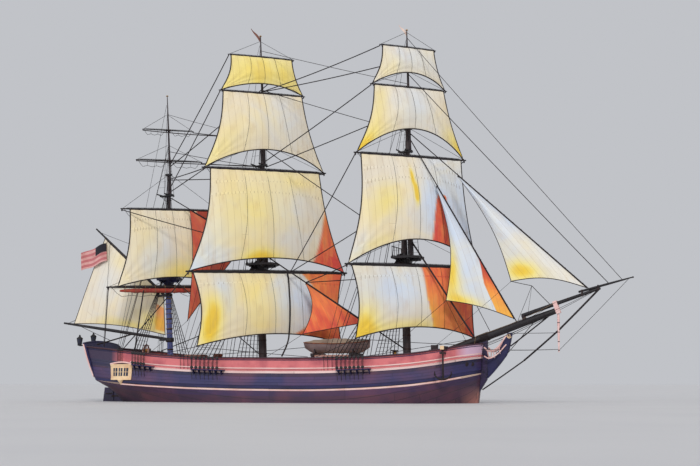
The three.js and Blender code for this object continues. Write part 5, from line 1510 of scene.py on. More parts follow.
# %% Yards table and their fittings
YARDS = {
    # name, height, half length, radius, ahead of the brace axis
    "fore": [("fore_yard", 11.95, 6.95, 0.17, 0.6), ("fore_topsail_yard", 21.7, 5.8, 0.13, 0.55),
             ("fore_topgallant_yard", 27.95, 4.0, 0.09, 0.5), ("fore_royal_yard", 31.6, 2.95, 0.07, 0.5)],
    "main": [("main_yard", 11.75, 8.1, 0.18, 0.6), ("main_topsail_yard", 21.2, 6.3, 0.14, 0.55),
             ("main_topgallant_yard", 28.45, 4.4, 0.095, 0.5), ("main_royal_yard", 31.9, 3.4, 0.075, 0.5)],
    "mizzen": [("crossjack_yard", 10.65, 6.6, 0.14, 0.55), ("mizzen_topsail_yard", 17.95, 5.0, 0.11, 0.5),
               ("mizzen_topgallant_yard", 22.65, 3.35, 0.075, 0.46),
               ("mizzen_royal_yard", 25.6, 2.6, 0.06, 0.46)],
}
YARD_SHARES, YARD_SIZES = [0, 0.25, 0.44, 0.56, 0.75, 1], [0.45, 0.85, 1.0, 1.0, 0.85, 0.45]


def yard_radius(radius, share):
    return radius * float(np.interp(share, YARD_SHARES, YARD_SIZES))


def yard_stick(piece, height, half, radius, ahead):
    """The spar with its bands, and the jackstay on short feet along its top."""
    piece.spar((ahead, -half, height), (ahead, half, height),
               [(s, yard_radius(radius, s)) for s in YARD_SHARES], 20)
    for share in (0.035, 0.09, 0.47, 0.53, 0.91, 0.965):
        piece.hoop((ahead, lerp(-half, half, share), height), (0, 1, 0), yard_radius(radius, share),
                   0.09, 1, 20, 0.012)
    rod = [(ahead, lerp(-half, half, s), height + yard_radius(radius, s) + 0.035)
           for s in np.linspace(0.06, 0.94, 13)]
    piece.tube(rod, 0.018, 6, 1)
    for share in np.linspace(0.06, 0.94, 2 * round(half)):
        y, top = lerp(-half, half, share), height + yard_radius(radius, share)
        piece.tube([(ahead, y, top - 0.01), (ahead, y, top + 0.04)], 0.016, 6, 1)


print("yards to build:", sum(len(yards) for yards in YARDS.values()))

# %% What holds a yard to its mast
FORK_CLEAR = 10 * MILLIMETRE
SLIDE_CLEAR = 0.45 * MILLIMETRE
RING = [(0, 0.1), (0.015, 0.12), (0.105, 0.12), (0.12, 0.1)]
PIN = [(0, 0.045), (0.03, 0.06), (0.15, 0.06), (0.18, 0.045)]


def gallant_radius(mast, height):
    share = (height - mast["trees"]) / (mast["truck"] - mast["trees"])
    return mast["gallant"] * (1 - 0.6 * max(0, (share - 0.35) / 0.65))


def collar(piece, x, height, bore, wall, half, count, slot=1):
    """A square-section ring round an upright spar."""
    section = ((bore, -half), (bore + wall, -half), (bore + wall, half), (bore, half))
    piece.loft([[Vector((x + reach * cos(t), reach * sin(t), height + z)) for reach, z in section]
                for t in np.linspace(0, 2 * pi, count)], slot)


def fork(piece, height, ahead):
    """A lower yard hangs on a forked iron with a pin through both prongs."""
    top, low = height + 0.091, height - 0.091
    for z0, z1 in ((top, top + 0.12), (low - 0.12, low)):
        piece.box((0, -0.1, z0), (ahead - 0.02, 0.1, z1), 1)
        piece.turned((0, 0, z0), RING, 20, 1)
        piece.turned((0, 0, z0 - 0.03), PIN, 12, 1)
    piece.box((0.19, -0.13, low - 0.12), (ahead - 0.02, 0.13, top + 0.12), 1)


def parrel(piece, mast, height, ahead):
    """A topsail yard slides on a collar with wooden beads."""
    bore = (mast["topmast"] + FORK_CLEAR) / cos(pi / 12)
    collar(piece, 0, height, bore, 0.07, 0.1, 33)
    for t in np.linspace(0, 2 * pi, 14, endpoint=False):
        if cos(t) < 0.9:
            centre = Vector(((bore + 0.05) * cos(t), (bore + 0.05) * sin(t), height))
            piece.ball(centre, 0.045, 2, 8, 5, 1.6)
    piece.box((bore + 0.02, -0.08, height - 0.08), (ahead, 0.08, height + 0.08), 1)


def saddle_block(piece, mast, height, radius, ahead):
    """The upper yards rest against their mast with a hollowed block."""
    depth = radius * 0.8
    bore = AHEAD + gallant_radius(mast, height - depth) + SLIDE_CLEAR
    hollow = [(bore / cos(pi / 30) * cos(t), bore / cos(pi / 30) * sin(t))
              for t in np.radians(np.arange(-48, 49, 8))]
    piece.prism(hollow + [(ahead, hollow[-1][1]), (ahead, hollow[0][1])], height - depth, height + depth, 1)


print("room between a fork and its mast", FORK_CLEAR)

# %% Footropes and the finished yards
def footropes(name, height, half, radius, ahead):
    """They hang under the yard and are held up by short stirrups."""
    rope_half, depth = half * 0.92, 0.75 * min(1, half / 5)
    for side in SIDES.values():
        hang = []
        for k in range(13):
            share = k / 12
            up = height - depth - 0.12 * sin(3 * pi * share) ** 2
            up += depth * smooth(share, 0.86, 1.0) + 0.35 * smooth(1 - share, 0.86, 1.0)
            hang.append((ahead - 0.1, side * lerp(0.35, rope_half, share), up))
        rigging.line(name + "_yards", 0.02, [on_yards(name, *p) for p in hang])
        for p in (hang[4], hang[8]):
            stirrup = (p[0], p[1], height - radius * 0.5)
            rigging.line(name + "_yards", 0.014, [on_yards(name, *stirrup), on_yards(name, *p)])


for name, rows in YARDS.items():
    mast = MASTS[name]
    for index, (yard, height, half, radius, ahead) in enumerate(rows):
        piece = Maker(YARD_PLACE[name])
        yard_stick(piece, height, half, radius, ahead)
        if index == 0:
            fork(piece, height, ahead)
        elif index == 1:
            parrel(piece, mast, height, ahead)
        else:
            saddle_block(piece, mast, height, radius, ahead)
        made = piece.make(yard + "_spar", [spar_black, iron, mast_brown], name + "_yards", crisp=40)
        dress(made, yard, slot="spar")
        footropes(name, height, half, radius, ahead)
    print(name, "yards", len(rows))

# %% [markdown]
# ## Sails
# A filled square sail bellies most across its middle and stays straight where it is bent to
# the yard. Its foot is cut in an arch. The surface is worked out point by point from the same
# rule as the construction, only finer, with scallops between the ties and soft folds that run
# from the corners. Then it gets two skins, and a tarred rope round its edge.

# %% Square sail surfaces
SAILS = {
    # name, yard, half width at the head and foot, clew height, rise of the foot, belly
    "fore": [("fore_course", 0, 6.35, 6.05, 5.6, 0.95, 1.0), ("fore_topsail", 1, 5.15, 6.6, 12.0, 2.2, 1.25),
             ("fore_topgallant_sail", 2, 3.6, 5.5, 21.75, 2.3, 0.95),
             ("fore_royal_sail", 3, 2.65, 3.75, 28.0, 1.2, 0.6)],
    "main": [("main_course", 0, 7.45, 7.2, 5.15, 0.95, 1.15),
             ("main_topsail", 1, 5.5, 7.75, 11.8, 1.15, 1.35),
             ("main_topgallant_sail", 2, 4.0, 6.0, 21.25, 1.75, 1.0),
             ("main_royal_sail", 3, 3.1, 4.15, 28.5, 0.75, 0.65)],
    "mizzen": [("mizzen_topsail", 1, 4.1, 5.5, 10.7, 0.8, 0.85)],
}


def square_sail(row, yards):
    """The cloth as a function of u, from starboard to port, and v, from head to foot."""
    _, index, head_half, foot_half, clew, rise, belly = row
    head = yards[index][1] - yards[index][3] * 0.55
    head_ahead = yards[index][4] + yards[index][3] * 0.8
    foot_ahead = yards[index - 1][4] if index > 0 else yards[index][4]

    def surface(u, v):
        side = u * 2 - 1
        bow = 1 - abs(side) ** 2.4
        half = lerp(head_half, foot_half, v) - 0.07 * foot_half * sin(pi * v)
        foot = clew + rise * (1 - side * side)
        swell = belly * (bow * sin(pi * 0.72 * v) ** 0.8 + 0.22 * (1 - bow) * sin(pi * v))
        swell += 0.035 * sin(u * head_half * 2 * pi / CLOTH_WIDTH) * exp(-6 * v)
        for corner in (0, 1):
            reach = hypot((u - corner) * foot_half * 2, (1 - v) * 6) + 0.3
            swing = atan2(1 - v + 0.001, abs(u - corner) + 0.001)
            swell += 0.05 * sin(swing * 15 + corner) * exp(-reach / 2.6) * smooth(reach, 0.3, 1.2)
        swell += 0.03 * sin(7 * u + 4 * v) * sin(9 * v - 3 * u) * sin(pi * u) * sin(pi * v)
        return lerp(head_ahead, foot_ahead, v) + swell, side * half, lerp(head, foot, v)
    return surface


print("masts with square sails:", ", ".join(SAILS))

# %% Cloth from a surface
CLOTH = 0.014  # thickness of the canvas


def cloth_measures(grid, across, down):
    """Distances along the cloth, counted from its middle and from its head."""
    steps_across = np.linalg.norm(np.diff(grid, axis=1), axis=2)
    steps_down = np.linalg.norm(np.diff(grid, axis=0), axis=2)
    wide = np.concatenate([np.zeros((down + 1, 1)), np.cumsum(steps_across, axis=1)], axis=1)
    wide -= wide[:, -1:] / 2
    return wide, np.concatenate([np.zeros((1, across + 1)), np.cumsum(steps_down, axis=0)])


def cloth_faces(across, down):
    """Two skins, back to back, closed along all four edges."""
    row, back = across + 1, (across + 1) * (down + 1)
    faces = []
    for a in (j * row + i for j in range(down) for i in range(across)):
        b = back + a
        faces += [(a, a + 1, a + row + 1, a + row), (b, b + row, b + row + 1, b + 1)]
    for i in range(across):
        low = down * row + i
        faces += [(i, back + i, back + i + 1, i + 1), (low, low + 1, back + low + 1, back + low)]
    for j in range(down):
        left, right = j * row, j * row + across
        faces += [(left, left + row, back + left + row, back + left),
                  (right, back + right, back + right + row, right + row)]
    return faces


def cloth_area(grid):
    """The area of one skin, in square metres of the model."""
    a, b, c, d = grid[:-1, :-1], grid[:-1, 1:], grid[1:, :-1], grid[1:, 1:]
    one = np.linalg.norm(np.cross(c - a, b - a), axis=2) / 2
    two = np.linalg.norm(np.cross(c - d, b - d), axis=2) / 2
    return float((one + two).sum()) * MODEL ** 2


def cloth_piece(place, tones, across, down, facing, back_tones=None):
    """place(u, v) gives a point, tones(u, v) gives the painted sunlight, the painted red-orange shade and the
    painted cool shade.
    """
    cells = [(i, j) for j in range(down + 1) for i in range(across + 1)]
    grid = np.array([place(i / across, j / down) for i, j in cells], float).reshape(down + 1, across + 1, 3)
    normal = np.cross(np.gradient(grid, axis=1), np.gradient(grid, axis=0))
    normal /= np.maximum(np.linalg.norm(normal, axis=2, keepdims=True), 1e-9)
    if (normal * np.array(facing)).sum() < 0:
        normal = -normal
    wide, tall = cloth_measures(grid, across, down)
    maker = Maker()
    points = [Vector(grid[j, i] + normal[j, i] * sign * CLOTH / 2) for sign in (1, -1) for i, j in cells]
    uvs = [(float(wide[j, i]), float(tall[j, i]) + 0.001) for i, j in cells] * 2
    maker.add(points, cloth_faces(across, down), 0, uvs)
    marks = [skin(i / across, j / down) for skin in (tones, back_tones or tones) for i, j in cells]
    for mark, values in zip(("sun", "painted_shade", "cool"), zip(*marks)):
        maker.marks[mark] = list(values)
    return maker, grid, normal, cloth_area(grid)


def rope_round(maker, grid, radius):
    loop = [*grid[0, ::2], *grid[2::2, -1], *grid[-1, -3::-2], *grid[-3::-2, 0]]
    maker.tube([Vector(p) for p in loop], radius, 8)
    for j, i in ((0, 0), (0, -1), (-1, 0), (-1, -1)):
        maker.ball(Vector(grid[j, i]), radius * 1.7, 0, 8, 5)


print("canvas is", CLOTH, "thick and its cloths", CLOTH_WIDTH, "wide")

# %% [markdown]
# Light falling through the canvas unevenly is painted into its colour. Each sail gets a few soft
# spots of painted warm light or painted cool shade, listed as (u, v, width, height, strength), and
# some have a part in the painted red-orange shade of the next sail, which starts at a line that
# runs down the cloth.

# %% Painted light and shade of the square sails
def spots(entries, u, v):
    return sum(strength * exp(-((u - cu) / wide) ** 2 - ((v - cv) / tall) ** 2)
               for cu, cv, wide, tall, strength in entries)


# painted warm light spots, painted cool shade spots, and the line where the painted red-orange shade starts,
# as (v, u) points
TONES = {
    "fore_royal_sail": ([(0.2, 0.75, 0.25, 0.4, 0.2)], [(0.6, 0.4, 0.6, 0.6, 0.5)], None),
    "fore_topgallant_sail": ([(0.0, 1.0, 0.2, 0.3, 1.0), (1.0, 0.95, 0.16, 0.3, 0.95),
                              (0.08, 0.35, 0.1, 0.4, 0.4)], [(0.5, 0.5, 0.25, 0.6, 0.65)], None),
    "fore_topsail": ([(0.2, 0.5, 0.16, 0.2, 0.62), (0.455, 0.25, 0.016, 0.1, 1.4),
                      (0.48, 0.45, 0.022, 0.13, 1.6), (0.15, 0.95, 0.15, 0.08, 0.4)],
                     [(0.85, 0.45, 0.25, 0.6, 1.0), (0.6, 0.6, 0.1, 0.4, 0.5), (0.05, 0.9, 0.1, 0.2, 0.4)],
                     [(0.42, 0.7), (0.5, 0.665), (0.7, 0.63), (1.0, 0.6)]),
    "fore_course": ([(0.05, 0.88, 0.12, 0.35, 1.0), (0.35, 0.97, 0.3, 0.12, 0.6)],
                    [(0.3, 0.3, 0.4, 0.4, 0.8)], [(0, 0.55), (0.5, 0.555), (1, 0.61)]),
    "main_royal_sail": ([(0.5, 0.55, 0.9, 1.0, 0.8)], [(0.5, 0.0, 0.2, 0.3, 0.25)], None),
    "main_topgallant_sail": ([(0.05, 0.9, 0.2, 0.35, 0.5), (0.35, 0.5, 0.3, 0.3, 0.12)],
                             [(0.7, 0.5, 0.3, 0.5, 0.4)], None),
    "main_topsail": ([(0.3, 0.45, 0.3, 0.35, 0.5), (0.42, 1.0, 0.14, 0.12, 1.0), (0.75, 0.1, 0.25, 0.2, 0.3)],
                     [(0.03, 0.9, 0.2, 0.3, 0.9), (0.65, 0.55, 0.2, 0.4, 0.35)], [(0, 1.149), (1, 0.767)]),
    "main_course": ([(0.07, 0.72, 0.075, 0.42, 1.1), (0.38, 0.5, 0.16, 0.6, 0.45)],
                    [(0.17, 0.35, 0.07, 0.35, 0.9), (0.55, 0.5, 0.08, 0.6, 0.6), (0.72, 0.4, 0.1, 0.5, 1.0)],
                    [(0, 0.72), (0.2, 0.79), (0.4, 0.83), (0.7, 0.81), (0.88, 0.72), (1, 0.64)]),
    "mizzen_topsail": ([(0.55, 0.92, 0.25, 0.2, 0.7), (0.2, 0.4, 0.2, 0.3, 0.2)], [(0.3, 0.7, 0.3, 0.4, 0.5)],
                       [(0, 0.8), (0.75, 0.72), (1, 0.77)]),
}
# painted sunlight inside the painted red-orange shade: its warmth at the head and at the foot, and how fast
# it fades away from the line where that shade starts
PAINTED_SHADE_WARMTH = {"fore_course": (0.15, 0.9, 0.15), "fore_topsail": (0.0, 0.0, 1.0), "main_course": (0.3, 0.3, 0.3),
            "main_topsail": (0.7, 0.0, 0.3), "mizzen_topsail": (0.0, 0.0, 1.0)}


def square_tones(name):
    warm, cold, line = TONES[name]

    def tones(u, v):
        # Beyond the line, towards the port edge, the sail is painted in red-orange shade.
        if line and v >= line[0][0]:
            edge = float(np.interp(v, [p[0] for p in line], [p[1] for p in line]))
            painted_shade = smooth(u - edge, -0.012, 0.012)
        else:
            painted_shade = 0.0
        if painted_shade > 0.5:
            head_warm, foot_warm, reach = PAINTED_SHADE_WARMTH[name]
            # Far to port the fore topsail gets painted cool shade instead.
            if name == "fore_topsail" and u > 0.77:
                return 0.0, 0.0, 1.0
            # The mizzen topsail's painted shade is made a deeper red.
            deep = 0.9 if name == "mizzen_topsail" else 0.0
            return lerp(head_warm, foot_warm, smooth(v, 0.1, 0.9)) * exp(-(u - edge) / reach), painted_shade, deep
        # Elsewhere the sail gets soft spots of painted sunlight and painted cool shade.
        return min(1.2, 0.02 + spots(warm, u, v)), painted_shade, min(1.0, 0.14 + spots(cold, u, v))
    return tones


# These sails have a part painted in red-orange shade.
print("sails with a part in the lee:", ", ".join(PAINTED_SHADE_WARMTH))

# %% What is sewn and tied to a square sail
ACROSS, DOWN = 64, 48  # cells of a square sail
REEFS = {"topsail": (0.12, 0.24), "course": (0.14,)}
CORNERS = [(0, 5, 42, 48), (59, 64, 42, 48), (0, 4, 0, 5), (60, 64, 0, 5)]
reef_points = Rigging()


def ties(mast, row, grid):
    """Short lashings from the head of the sail over the jackstay."""
    _, height, half, radius, ahead = YARDS[mast][row[1]]
    for u in (float(share) for share in np.linspace(0.02, 0.98, round(row[2] * 3.2))):
        y = lerp(-row[2], row[2], u)
        over = ((radius * 0.95, 0.0), (radius * 0.35, yard_radius(radius, y / 2 / half + 0.5) + 0.05),
                (-radius * 0.5, radius * 0.9))
        rigging.line(mast + "_yards", 0.014, [Vector(grid[0, round(u * ACROSS)])]
                     + [on_yards(mast, ahead + dx, y, height + dz) for dx, dz in over])


def reef_band(mast, v, grid, normal, tones, lining, marks):
    """A strip across the sail, and the short lines that hang from it on both sides."""
    j = round(v * DOWN)
    section = ((0, 0.012), (1, 0.012), (1, -0.012), (0, -0.012))
    lining.loft([[Vector(grid[j + dj, i] + normal[j + dj, i] * out) for dj, out in section]
                 for i in range(ACROSS + 1)])
    marks += [tones(i / ACROSS, j / DOWN) for i in range(ACROSS + 1) for _ in section]
    for i in range(3, 63, 2):
        out = Vector(normal[j, i])
        for way in (1, -1):
            knot = Vector(grid[j, i] + normal[j, i] * way * 0.018)
            hang = knot + out * way * 0.03 + Vector((0, 0, -0.3))
            middle = (knot + hang) / 2 + out * way * 0.02
            reef_points.line(mast + "_yards", 0.011, [knot, middle, hang - Vector((0, 0, 0.12))], manila)


def doubled_corners(grid, normal, tones, lining, marks):
    """A second layer of cloth at each corner, on both sides."""
    for i0, i1, j0, j1 in CORNERS:
        ring = [(i, 0.013) for i in range(i0, i1 + 1)] + [(i, 0.002) for i in range(i1, i0 - 1, -1)]
        for sign in (1, -1):
            lining.loft([[Vector(grid[j, i] + normal[j, i] * sign * out) for i, out in ring]
                         for j in range(j0, j1 + 1)])
            marks += [tones(i / ACROSS, j / DOWN) for j in range(j0, j1 + 1) for i, _ in ring]


print("cells of a square sail", ACROSS * DOWN)

# %% Make the square sails
for mast, rows in SAILS.items():
    ropes, lining, lining_marks = Maker(), Maker(), []
    facing = YARD_PLACE[mast].to_3x3() @ Vector((1, 0, 0))
    for row in rows:
        name, index = row[0], row[1]
        surface, tones = square_sail(row, YARDS[mast]), square_tones(name)
        # The back skin of the fore topsail gets no painted red-orange shade.
        plain_back = (lambda u, v: (tones(u, v)[0], 0.0, tones(u, v)[2])) if name == "fore_topsail" else None
        maker, grid, normal, area = cloth_piece(lambda u, v: on_yards(mast, *surface(u, v)), tones,
                                                ACROSS, DOWN, facing, plain_back)
        sail = dress(maker.make("canvas_" + name, sailcloth, mast + "_yards", crisp=60), name, slot="canvas")
        rope_round(ropes, grid, 0.055)
        wide, tall = 2 * max(row[2], row[3]) * MODEL, (YARDS[mast][index][1] - row[4]) * MODEL * 1.1
        min(area, wide * tall)
        ties(mast, row, grid)
        for v in REEFS.get(name.split("_", 1)[1], ()):
            reef_band(mast, v, grid, normal, tones, lining, lining_marks)
        # bunt lines hang down the front of the sail
        for i in (round(u * ACROSS) for u in (0.3, 0.5, 0.7)):
            path = [Vector(grid[j, i] + normal[j, i] * 0.03) for j in range(0, DOWN + 1, 6)]
            rigging.line(mast + "_yards", 0.012, path)
        doubled_corners(grid, normal, tones, lining, lining_marks)
    ropes.make("bolt_ropes_" + mast, tarred, mast + "_yards")
    for k, mark in enumerate(("sun", "painted_shade", "cool")):
        lining.marks[mark] = [max(0.0, tone[k]) for tone in lining_marks]
    lining.uvs = [(0.31, 0.4)] * len(lining.points)
    lining.make("reef_bands_" + mast, sailcloth, mast + "_yards")
    print(mast, "sails", len(rows))
reef_points.make("reef_points")

# %% [markdown]
# The crossjack sail is furled. Its cloth is rolled up and lashed under the yard with gaskets,
# so its section is a spiral of a few turns, pinched where the gaskets bite.

# %% Furled crossjack sail
_, roll_height, _, _, roll_ahead = YARDS["mizzen"][0]
ROLL_HALF, ROLL_RADIUS, ROLL_TURNS, ROLL_STEPS = 5.3, 0.27, 4.5, 15
roll_middle = Vector((roll_ahead - 0.05, 0, roll_height - 0.33))


def roll_size(u):
    """The roll is fullest at its middle and thins towards both ends."""
    return float(np.interp(u, [0, 0.12, 0.5, 0.88, 1], [0.4, 0.85, 1, 0.85, 0.4])) * ROLL_RADIUS


def roll_place(u, v):
    pinch = 1 - 0.16 * abs(cos(pi * u * 11)) ** 8
    turn = v * ROLL_TURNS * 2 * pi
    reach = roll_size(u) * 0.94 * pinch * lerp(0.2, 1.0, v) + 0.012 * sin(turn * 2 + 19 * u) * v
    return on_yards("mizzen", roll_middle.x + reach * cos(turn), lerp(-ROLL_HALF, ROLL_HALF, u),
                    roll_middle.z + reach * sin(turn) - 0.02 * v)


def roll_tones(u, v):
    # The whole roll is painted red-orange shade, darkened by painted cool shade, with a little painted
    # sunlight on the turns that face up.
    low = 0.5 - 0.5 * sin(v * ROLL_TURNS * 2 * pi)
    return 0.1 * (1 - low), 1.0, 0.95


maker, grid, normal, area = cloth_piece(roll_place, roll_tones, 66, round(ROLL_TURNS * ROLL_STEPS), (0, 0, 0))
furled = maker.make("furled_crossjack", sailcloth, "mizzen_yards", crisp=70)
dress(furled, "crossjack_yard", slot="canvas")
GASKETS = 11
over_yard = ((0.15, 0.05), (0.05, 0.16), (-0.1, 0.12))
gaskets = Maker()
for k in range(GASKETS):
    u = (k + 0.5) / GASKETS
    y, size = lerp(-ROLL_HALF, ROLL_HALF, u), roll_size(u) * 0.98
    loop = [on_yards("mizzen", roll_middle.x + size * cos(t), y, roll_middle.z + size * sin(t))
            for t in np.linspace(-0.25 * pi, 1.25 * pi, 17) + pi]
    loop += [on_yards("mizzen", roll_ahead + dx, y, roll_height + dz) for dx, dz in over_yard]
    gaskets.tube(loop + [loop[0]], 0.028, 6)
gaskets.make("gaskets", manila, "mizzen_yards")
print("furled sail", round(area, 2), "square metres of model")

# %% [markdown]
# The three-cornered sails are set on stays. Their luff runs down the stay, held by hanks, and
# the free corner is hauled aft, so that the cloth curves away to leeward.

# %% Stays and fore-and-aft sails
STAYS = {
    "fore_stay": (on_mast("fore", 0.1, 0, 14.2), along(HEEL, CAP, 16.3)),
    "fore_topmast_stay": (on_mast("fore", 0.1, 0, 23.6), along(HEEL, CAP, 20.0)),
    "jib_stay": (on_mast("fore", 0.1, 0, 24.0), along(BOOM_HEEL, BOOM_TIP, 26.3)),
    "main_stay": (on_mast("main", 0.1, 0, 13.3), Vector((9.8, 0, 4.7))),
    "mizzen_topmast_stay": (on_mast("mizzen", 0.1, 0, 19.2), on_mast("main", -0.7, 0, 13.9)),
}
STAYSAILS = [
    # name, stay, luff from and to, clew, belly, hollow of the leech, rise of the foot
    ("fore_topmast_staysail", "fore_topmast_stay", 0.27, 0.965, (13.75, -0.4, 8.85), 0.5, 0.08, 0.25),
    ("jib", "jib_stay", 0.285, 0.975, (19.6, -0.75, 10.35), 0.7, 0.06, 0.5),
    ("main_staysail", "main_stay", 0.3, 0.72, (0.35, -0.3, 6.1), 0.35, 0.16, 0.0),
    ("mizzen_staysail", "mizzen_topmast_stay", 0.24, 0.86, (-11.2, -0.25, 7.5), 0.4, 0.06, 0.0),
]


def stay_sail(head, tack, clew, belly, hollow, rise):
    """The cloth as a function of u, from the stay aft, and v, from head to foot."""
    top = head.lerp(clew, 0.03)
    inward = (tack - clew).normalized() * (head - clew).length * hollow

    def place(u, v):
        luff = head.lerp(tack, v) + Vector((-0.05, 0, -0.05))
        leech = top.lerp(clew, v) + inward * sin(pi * v)
        p = luff.lerp(leech, u)
        p.y -= belly * sin(pi * u * 0.92) * sin(pi * (0.12 + 0.72 * v))
        p.y += 0.02 * sin(v * 34) * exp(-8 * u) + 0.02 * sin(11 * v + 6 * u) * sin(pi * u)
        p.z += rise * sin(pi * u) * v * v
        return p
    return place


def staysail_tones(name):
    # Every tone here is painted light or shade: the main and mizzen staysails are painted red-orange shade
    # all over, the jib painted cool shade with a spot of painted sunlight near its clew, and the fore topmast
    # staysail painted sunlight and cool shade with a strip of painted red-orange shade along its luff.
    def tones(u, v):
        if name == "main_staysail":
            return 0.3 * (1 - v), 1.0, 0.0
        if name == "mizzen_staysail":
            return 0.1, 1.0, 0.6
        if name == "jib":
            return spots([(0.8, 0.92, 0.3, 0.12, 1.0)], u, v), 0.0, 1.0 - 0.5 * v
        warm = spots([(0.95, 0.75, 0.2, 0.25, 1.0), (0.7, 0.98, 0.3, 0.06, 0.7)], u, v)
        luff = smooth(0.24 * smooth(v, 0.5, 0.8) - u, -0.008, 0.008)
        shadow = 0.7 - 0.7 * smooth(v, 0.6, 0.85)
        return lerp(warm, smooth(v, 0.65, 1.0), luff), luff, lerp(0.95 - 0.4 * warm, shadow, luff)
    return tones


def ring_round(centre, line, radius, count):
    """A ring about a line that lies in the ship's middle plane."""
    side = Vector((0, 1, 0))
    up = line.cross(side)
    return [centre + (side * cos(t) + up * sin(t)) * radius for t in np.linspace(0, 2 * pi, count)]


print("points of a hank's ring", len(ring_round(Vector(), Vector((0, 0, 1)), 1.0, 13)))

# %% Make the staysails and their stays
luffs, hanks = Maker(), Maker()
for name, stay, start, stop, clew, belly, hollow, rise in STAYSAILS:
    a, b = STAYS[stay]
    place = stay_sail(a.lerp(b, start), a.lerp(b, stop), Vector(clew), belly, hollow, rise)
    maker, grid, normal, area = cloth_piece(place, staysail_tones(name), 48, 56, (0, -1, 0))
    sail = dress(maker.make("canvas_" + name, sailcloth, "ship", crisp=60), name, slot="canvas")
    rope_round(luffs, grid, 0.036)
    reach = grid.reshape(-1, 3).max(0) - grid.reshape(-1, 3).min(0)
    wide, tall = float(reach[0]) * MODEL, float(reach[2]) * MODEL
    max(area, 0.31 * wide * tall)
    for share in np.linspace(0.03, 0.97, 15):
        centre = a.lerp(b, lerp(start, stop, float(share)))
        hanks.tube(ring_round(centre, (b - a).normalized(), 0.075, 11), 0.014, 5)
luffs.make("bolt_ropes_staysails", tarred, "ship")
hanks.make("hanks", iron, "ship")
for name, ends in STAYS.items():
    heavy = {"fore_stay": 0.075, "main_stay": 0.06}.get(name, 0.045)
    inputs = {"Radius": heavy * MODEL, "Sides": 10, "Material": tarred}
    dress(grown("rope_" + name, ends, [(0, 1)], rope_tree, inputs, "ship"), name, slot="rope")
print("staysails", len(STAYSAILS), "stays", len(STAYS))

# %% [markdown]
# The spanker is the only sail that swings fore and aft. Its head is laced to a gaff and its
# foot is stretched along a boom. Boom, gaff, sail and flag turn together about the mizzen
# mast, so they are drawn on that mast's own axis and ride on one body.

# %% Boom and gaff
mizzen = MASTS["mizzen"]
to_mizzen = MAST_PLACE["mizzen"].inverted()
jaw_bore = (mizzen["radius"] + FORK_CLEAR * 1.2) / cos(pi / 12)
JAW_THICK, GAFF_JAW, BOOM_RADIUS, GAFF_RADIUS = 0.09, 9.95, 0.15, 0.12
boom_tip, gaff_tip = to_mizzen @ Vector((-24.5, 0, 7.45)), to_mizzen @ Vector((-21.2, 0, 16.45))
boom_root = Vector((-mizzen["behind"] - jaw_bore - 0.03, 0, JAW + 0.17))
gaff_root = Vector((-mizzen["behind"] - jaw_bore - 0.03, 0, GAFF_JAW))


def spar_radius(radius, share):
    return radius * float(np.interp(share, [0, 0.45, 1], [0.8, 1, 0.6]))


def jaws(spar, height):
    """A ring round the mast, and two cheeks that join it to the spar."""
    back = -mizzen["behind"]
    collar(spar, back, height, jaw_bore, JAW_THICK, 0.12, 37, 0)
    cheek = ((back - jaw_bore * 0.4, jaw_bore * 0.93), (back - jaw_bore - 0.35, 0.09),
             (back - jaw_bore - 0.75, 0.03))
    for side in SIDES.values():
        spar.loft([[Vector((x, side * y, height + z)) for y, z in
                    ((w, -0.1), (w, 0.1), (w + JAW_THICK, 0.1), (w + JAW_THICK, -0.1))] for x, w in cheek])


for name, root, tip, radius, height in (("spanker_boom", boom_root, boom_tip, BOOM_RADIUS, JAW + 0.12),
                                        ("spanker_gaff", gaff_root, gaff_tip, GAFF_RADIUS, GAFF_JAW)):
    spar = Maker(MAST_PLACE["mizzen"])
    spar.spar(root, tip, [(0, radius * 0.8), (0.45, radius), (1, radius * 0.6)], 20)
    jaws(spar, height)
    for share in (0.1, 0.35, 0.6, 0.85, 0.96):
        spar.hoop(root.lerp(tip, share), tip - root, spar_radius(radius, share), 0.09, 1, 20, 0.012)
    spar.ball(tip, radius * 0.62, 1, 12)
    dress(spar.make(name + "_turned", [spar_black, iron], "spanker_rig", crisp=40), name, slot="spar")
print("boom and gaff", round((boom_tip - boom_root).length, 2), round((gaff_tip - gaff_root).length, 2))

# %% Spanker
tack = boom_root + Vector((-0.15, 0, 0.4))
throat = gaff_root + Vector((-0.15, 0, 0.08))
peak = gaff_root.lerp(gaff_tip, 0.875)
spanker_clew = boom_root.lerp(boom_tip, 0.9) + Vector((0, 0, 0.1))

def spanker_place(u, v):
    foot = tack.lerp(spanker_clew, u)
    foot.z += 0.35 * sin(pi * u)
    p = (throat.lerp(peak, u) + Vector((0, 0, -0.12))).lerp(foot, v)
    p.y -= 0.55 * sin(pi * min(1, u * 0.95)) * sin(pi * v * 0.9)
    p.y += 0.025 * sin(u * 40) * exp(-7 * v) + 0.03 * sin(6 * u + 8 * v) * sin(pi * u)
    return on_mast("mizzen", *p)


def spanker_tones(u, v):
    # Painted light and shade: soft spots of painted sunlight and painted cool shade, and a strip near the
    # mast painted amber with red-orange shade.
    warm = spots([(0.05, 0.75, 0.25, 0.2, 0.75), (0.6, 0.1, 0.3, 0.1, 0.2), (0.4, 0.95, 0.3, 0.08, 0.5)],
                 u, v)
    amber = smooth(0.1 - u, -0.02, 0.02) * smooth(v, 0.3, 0.34) * smooth(0.95 - v, 0, 0.05)
    return warm + 0.3 * amber, amber * 0.8, 0.15 + spots([(0.75, 0.45, 0.25, 0.3, 0.35)], u, v)


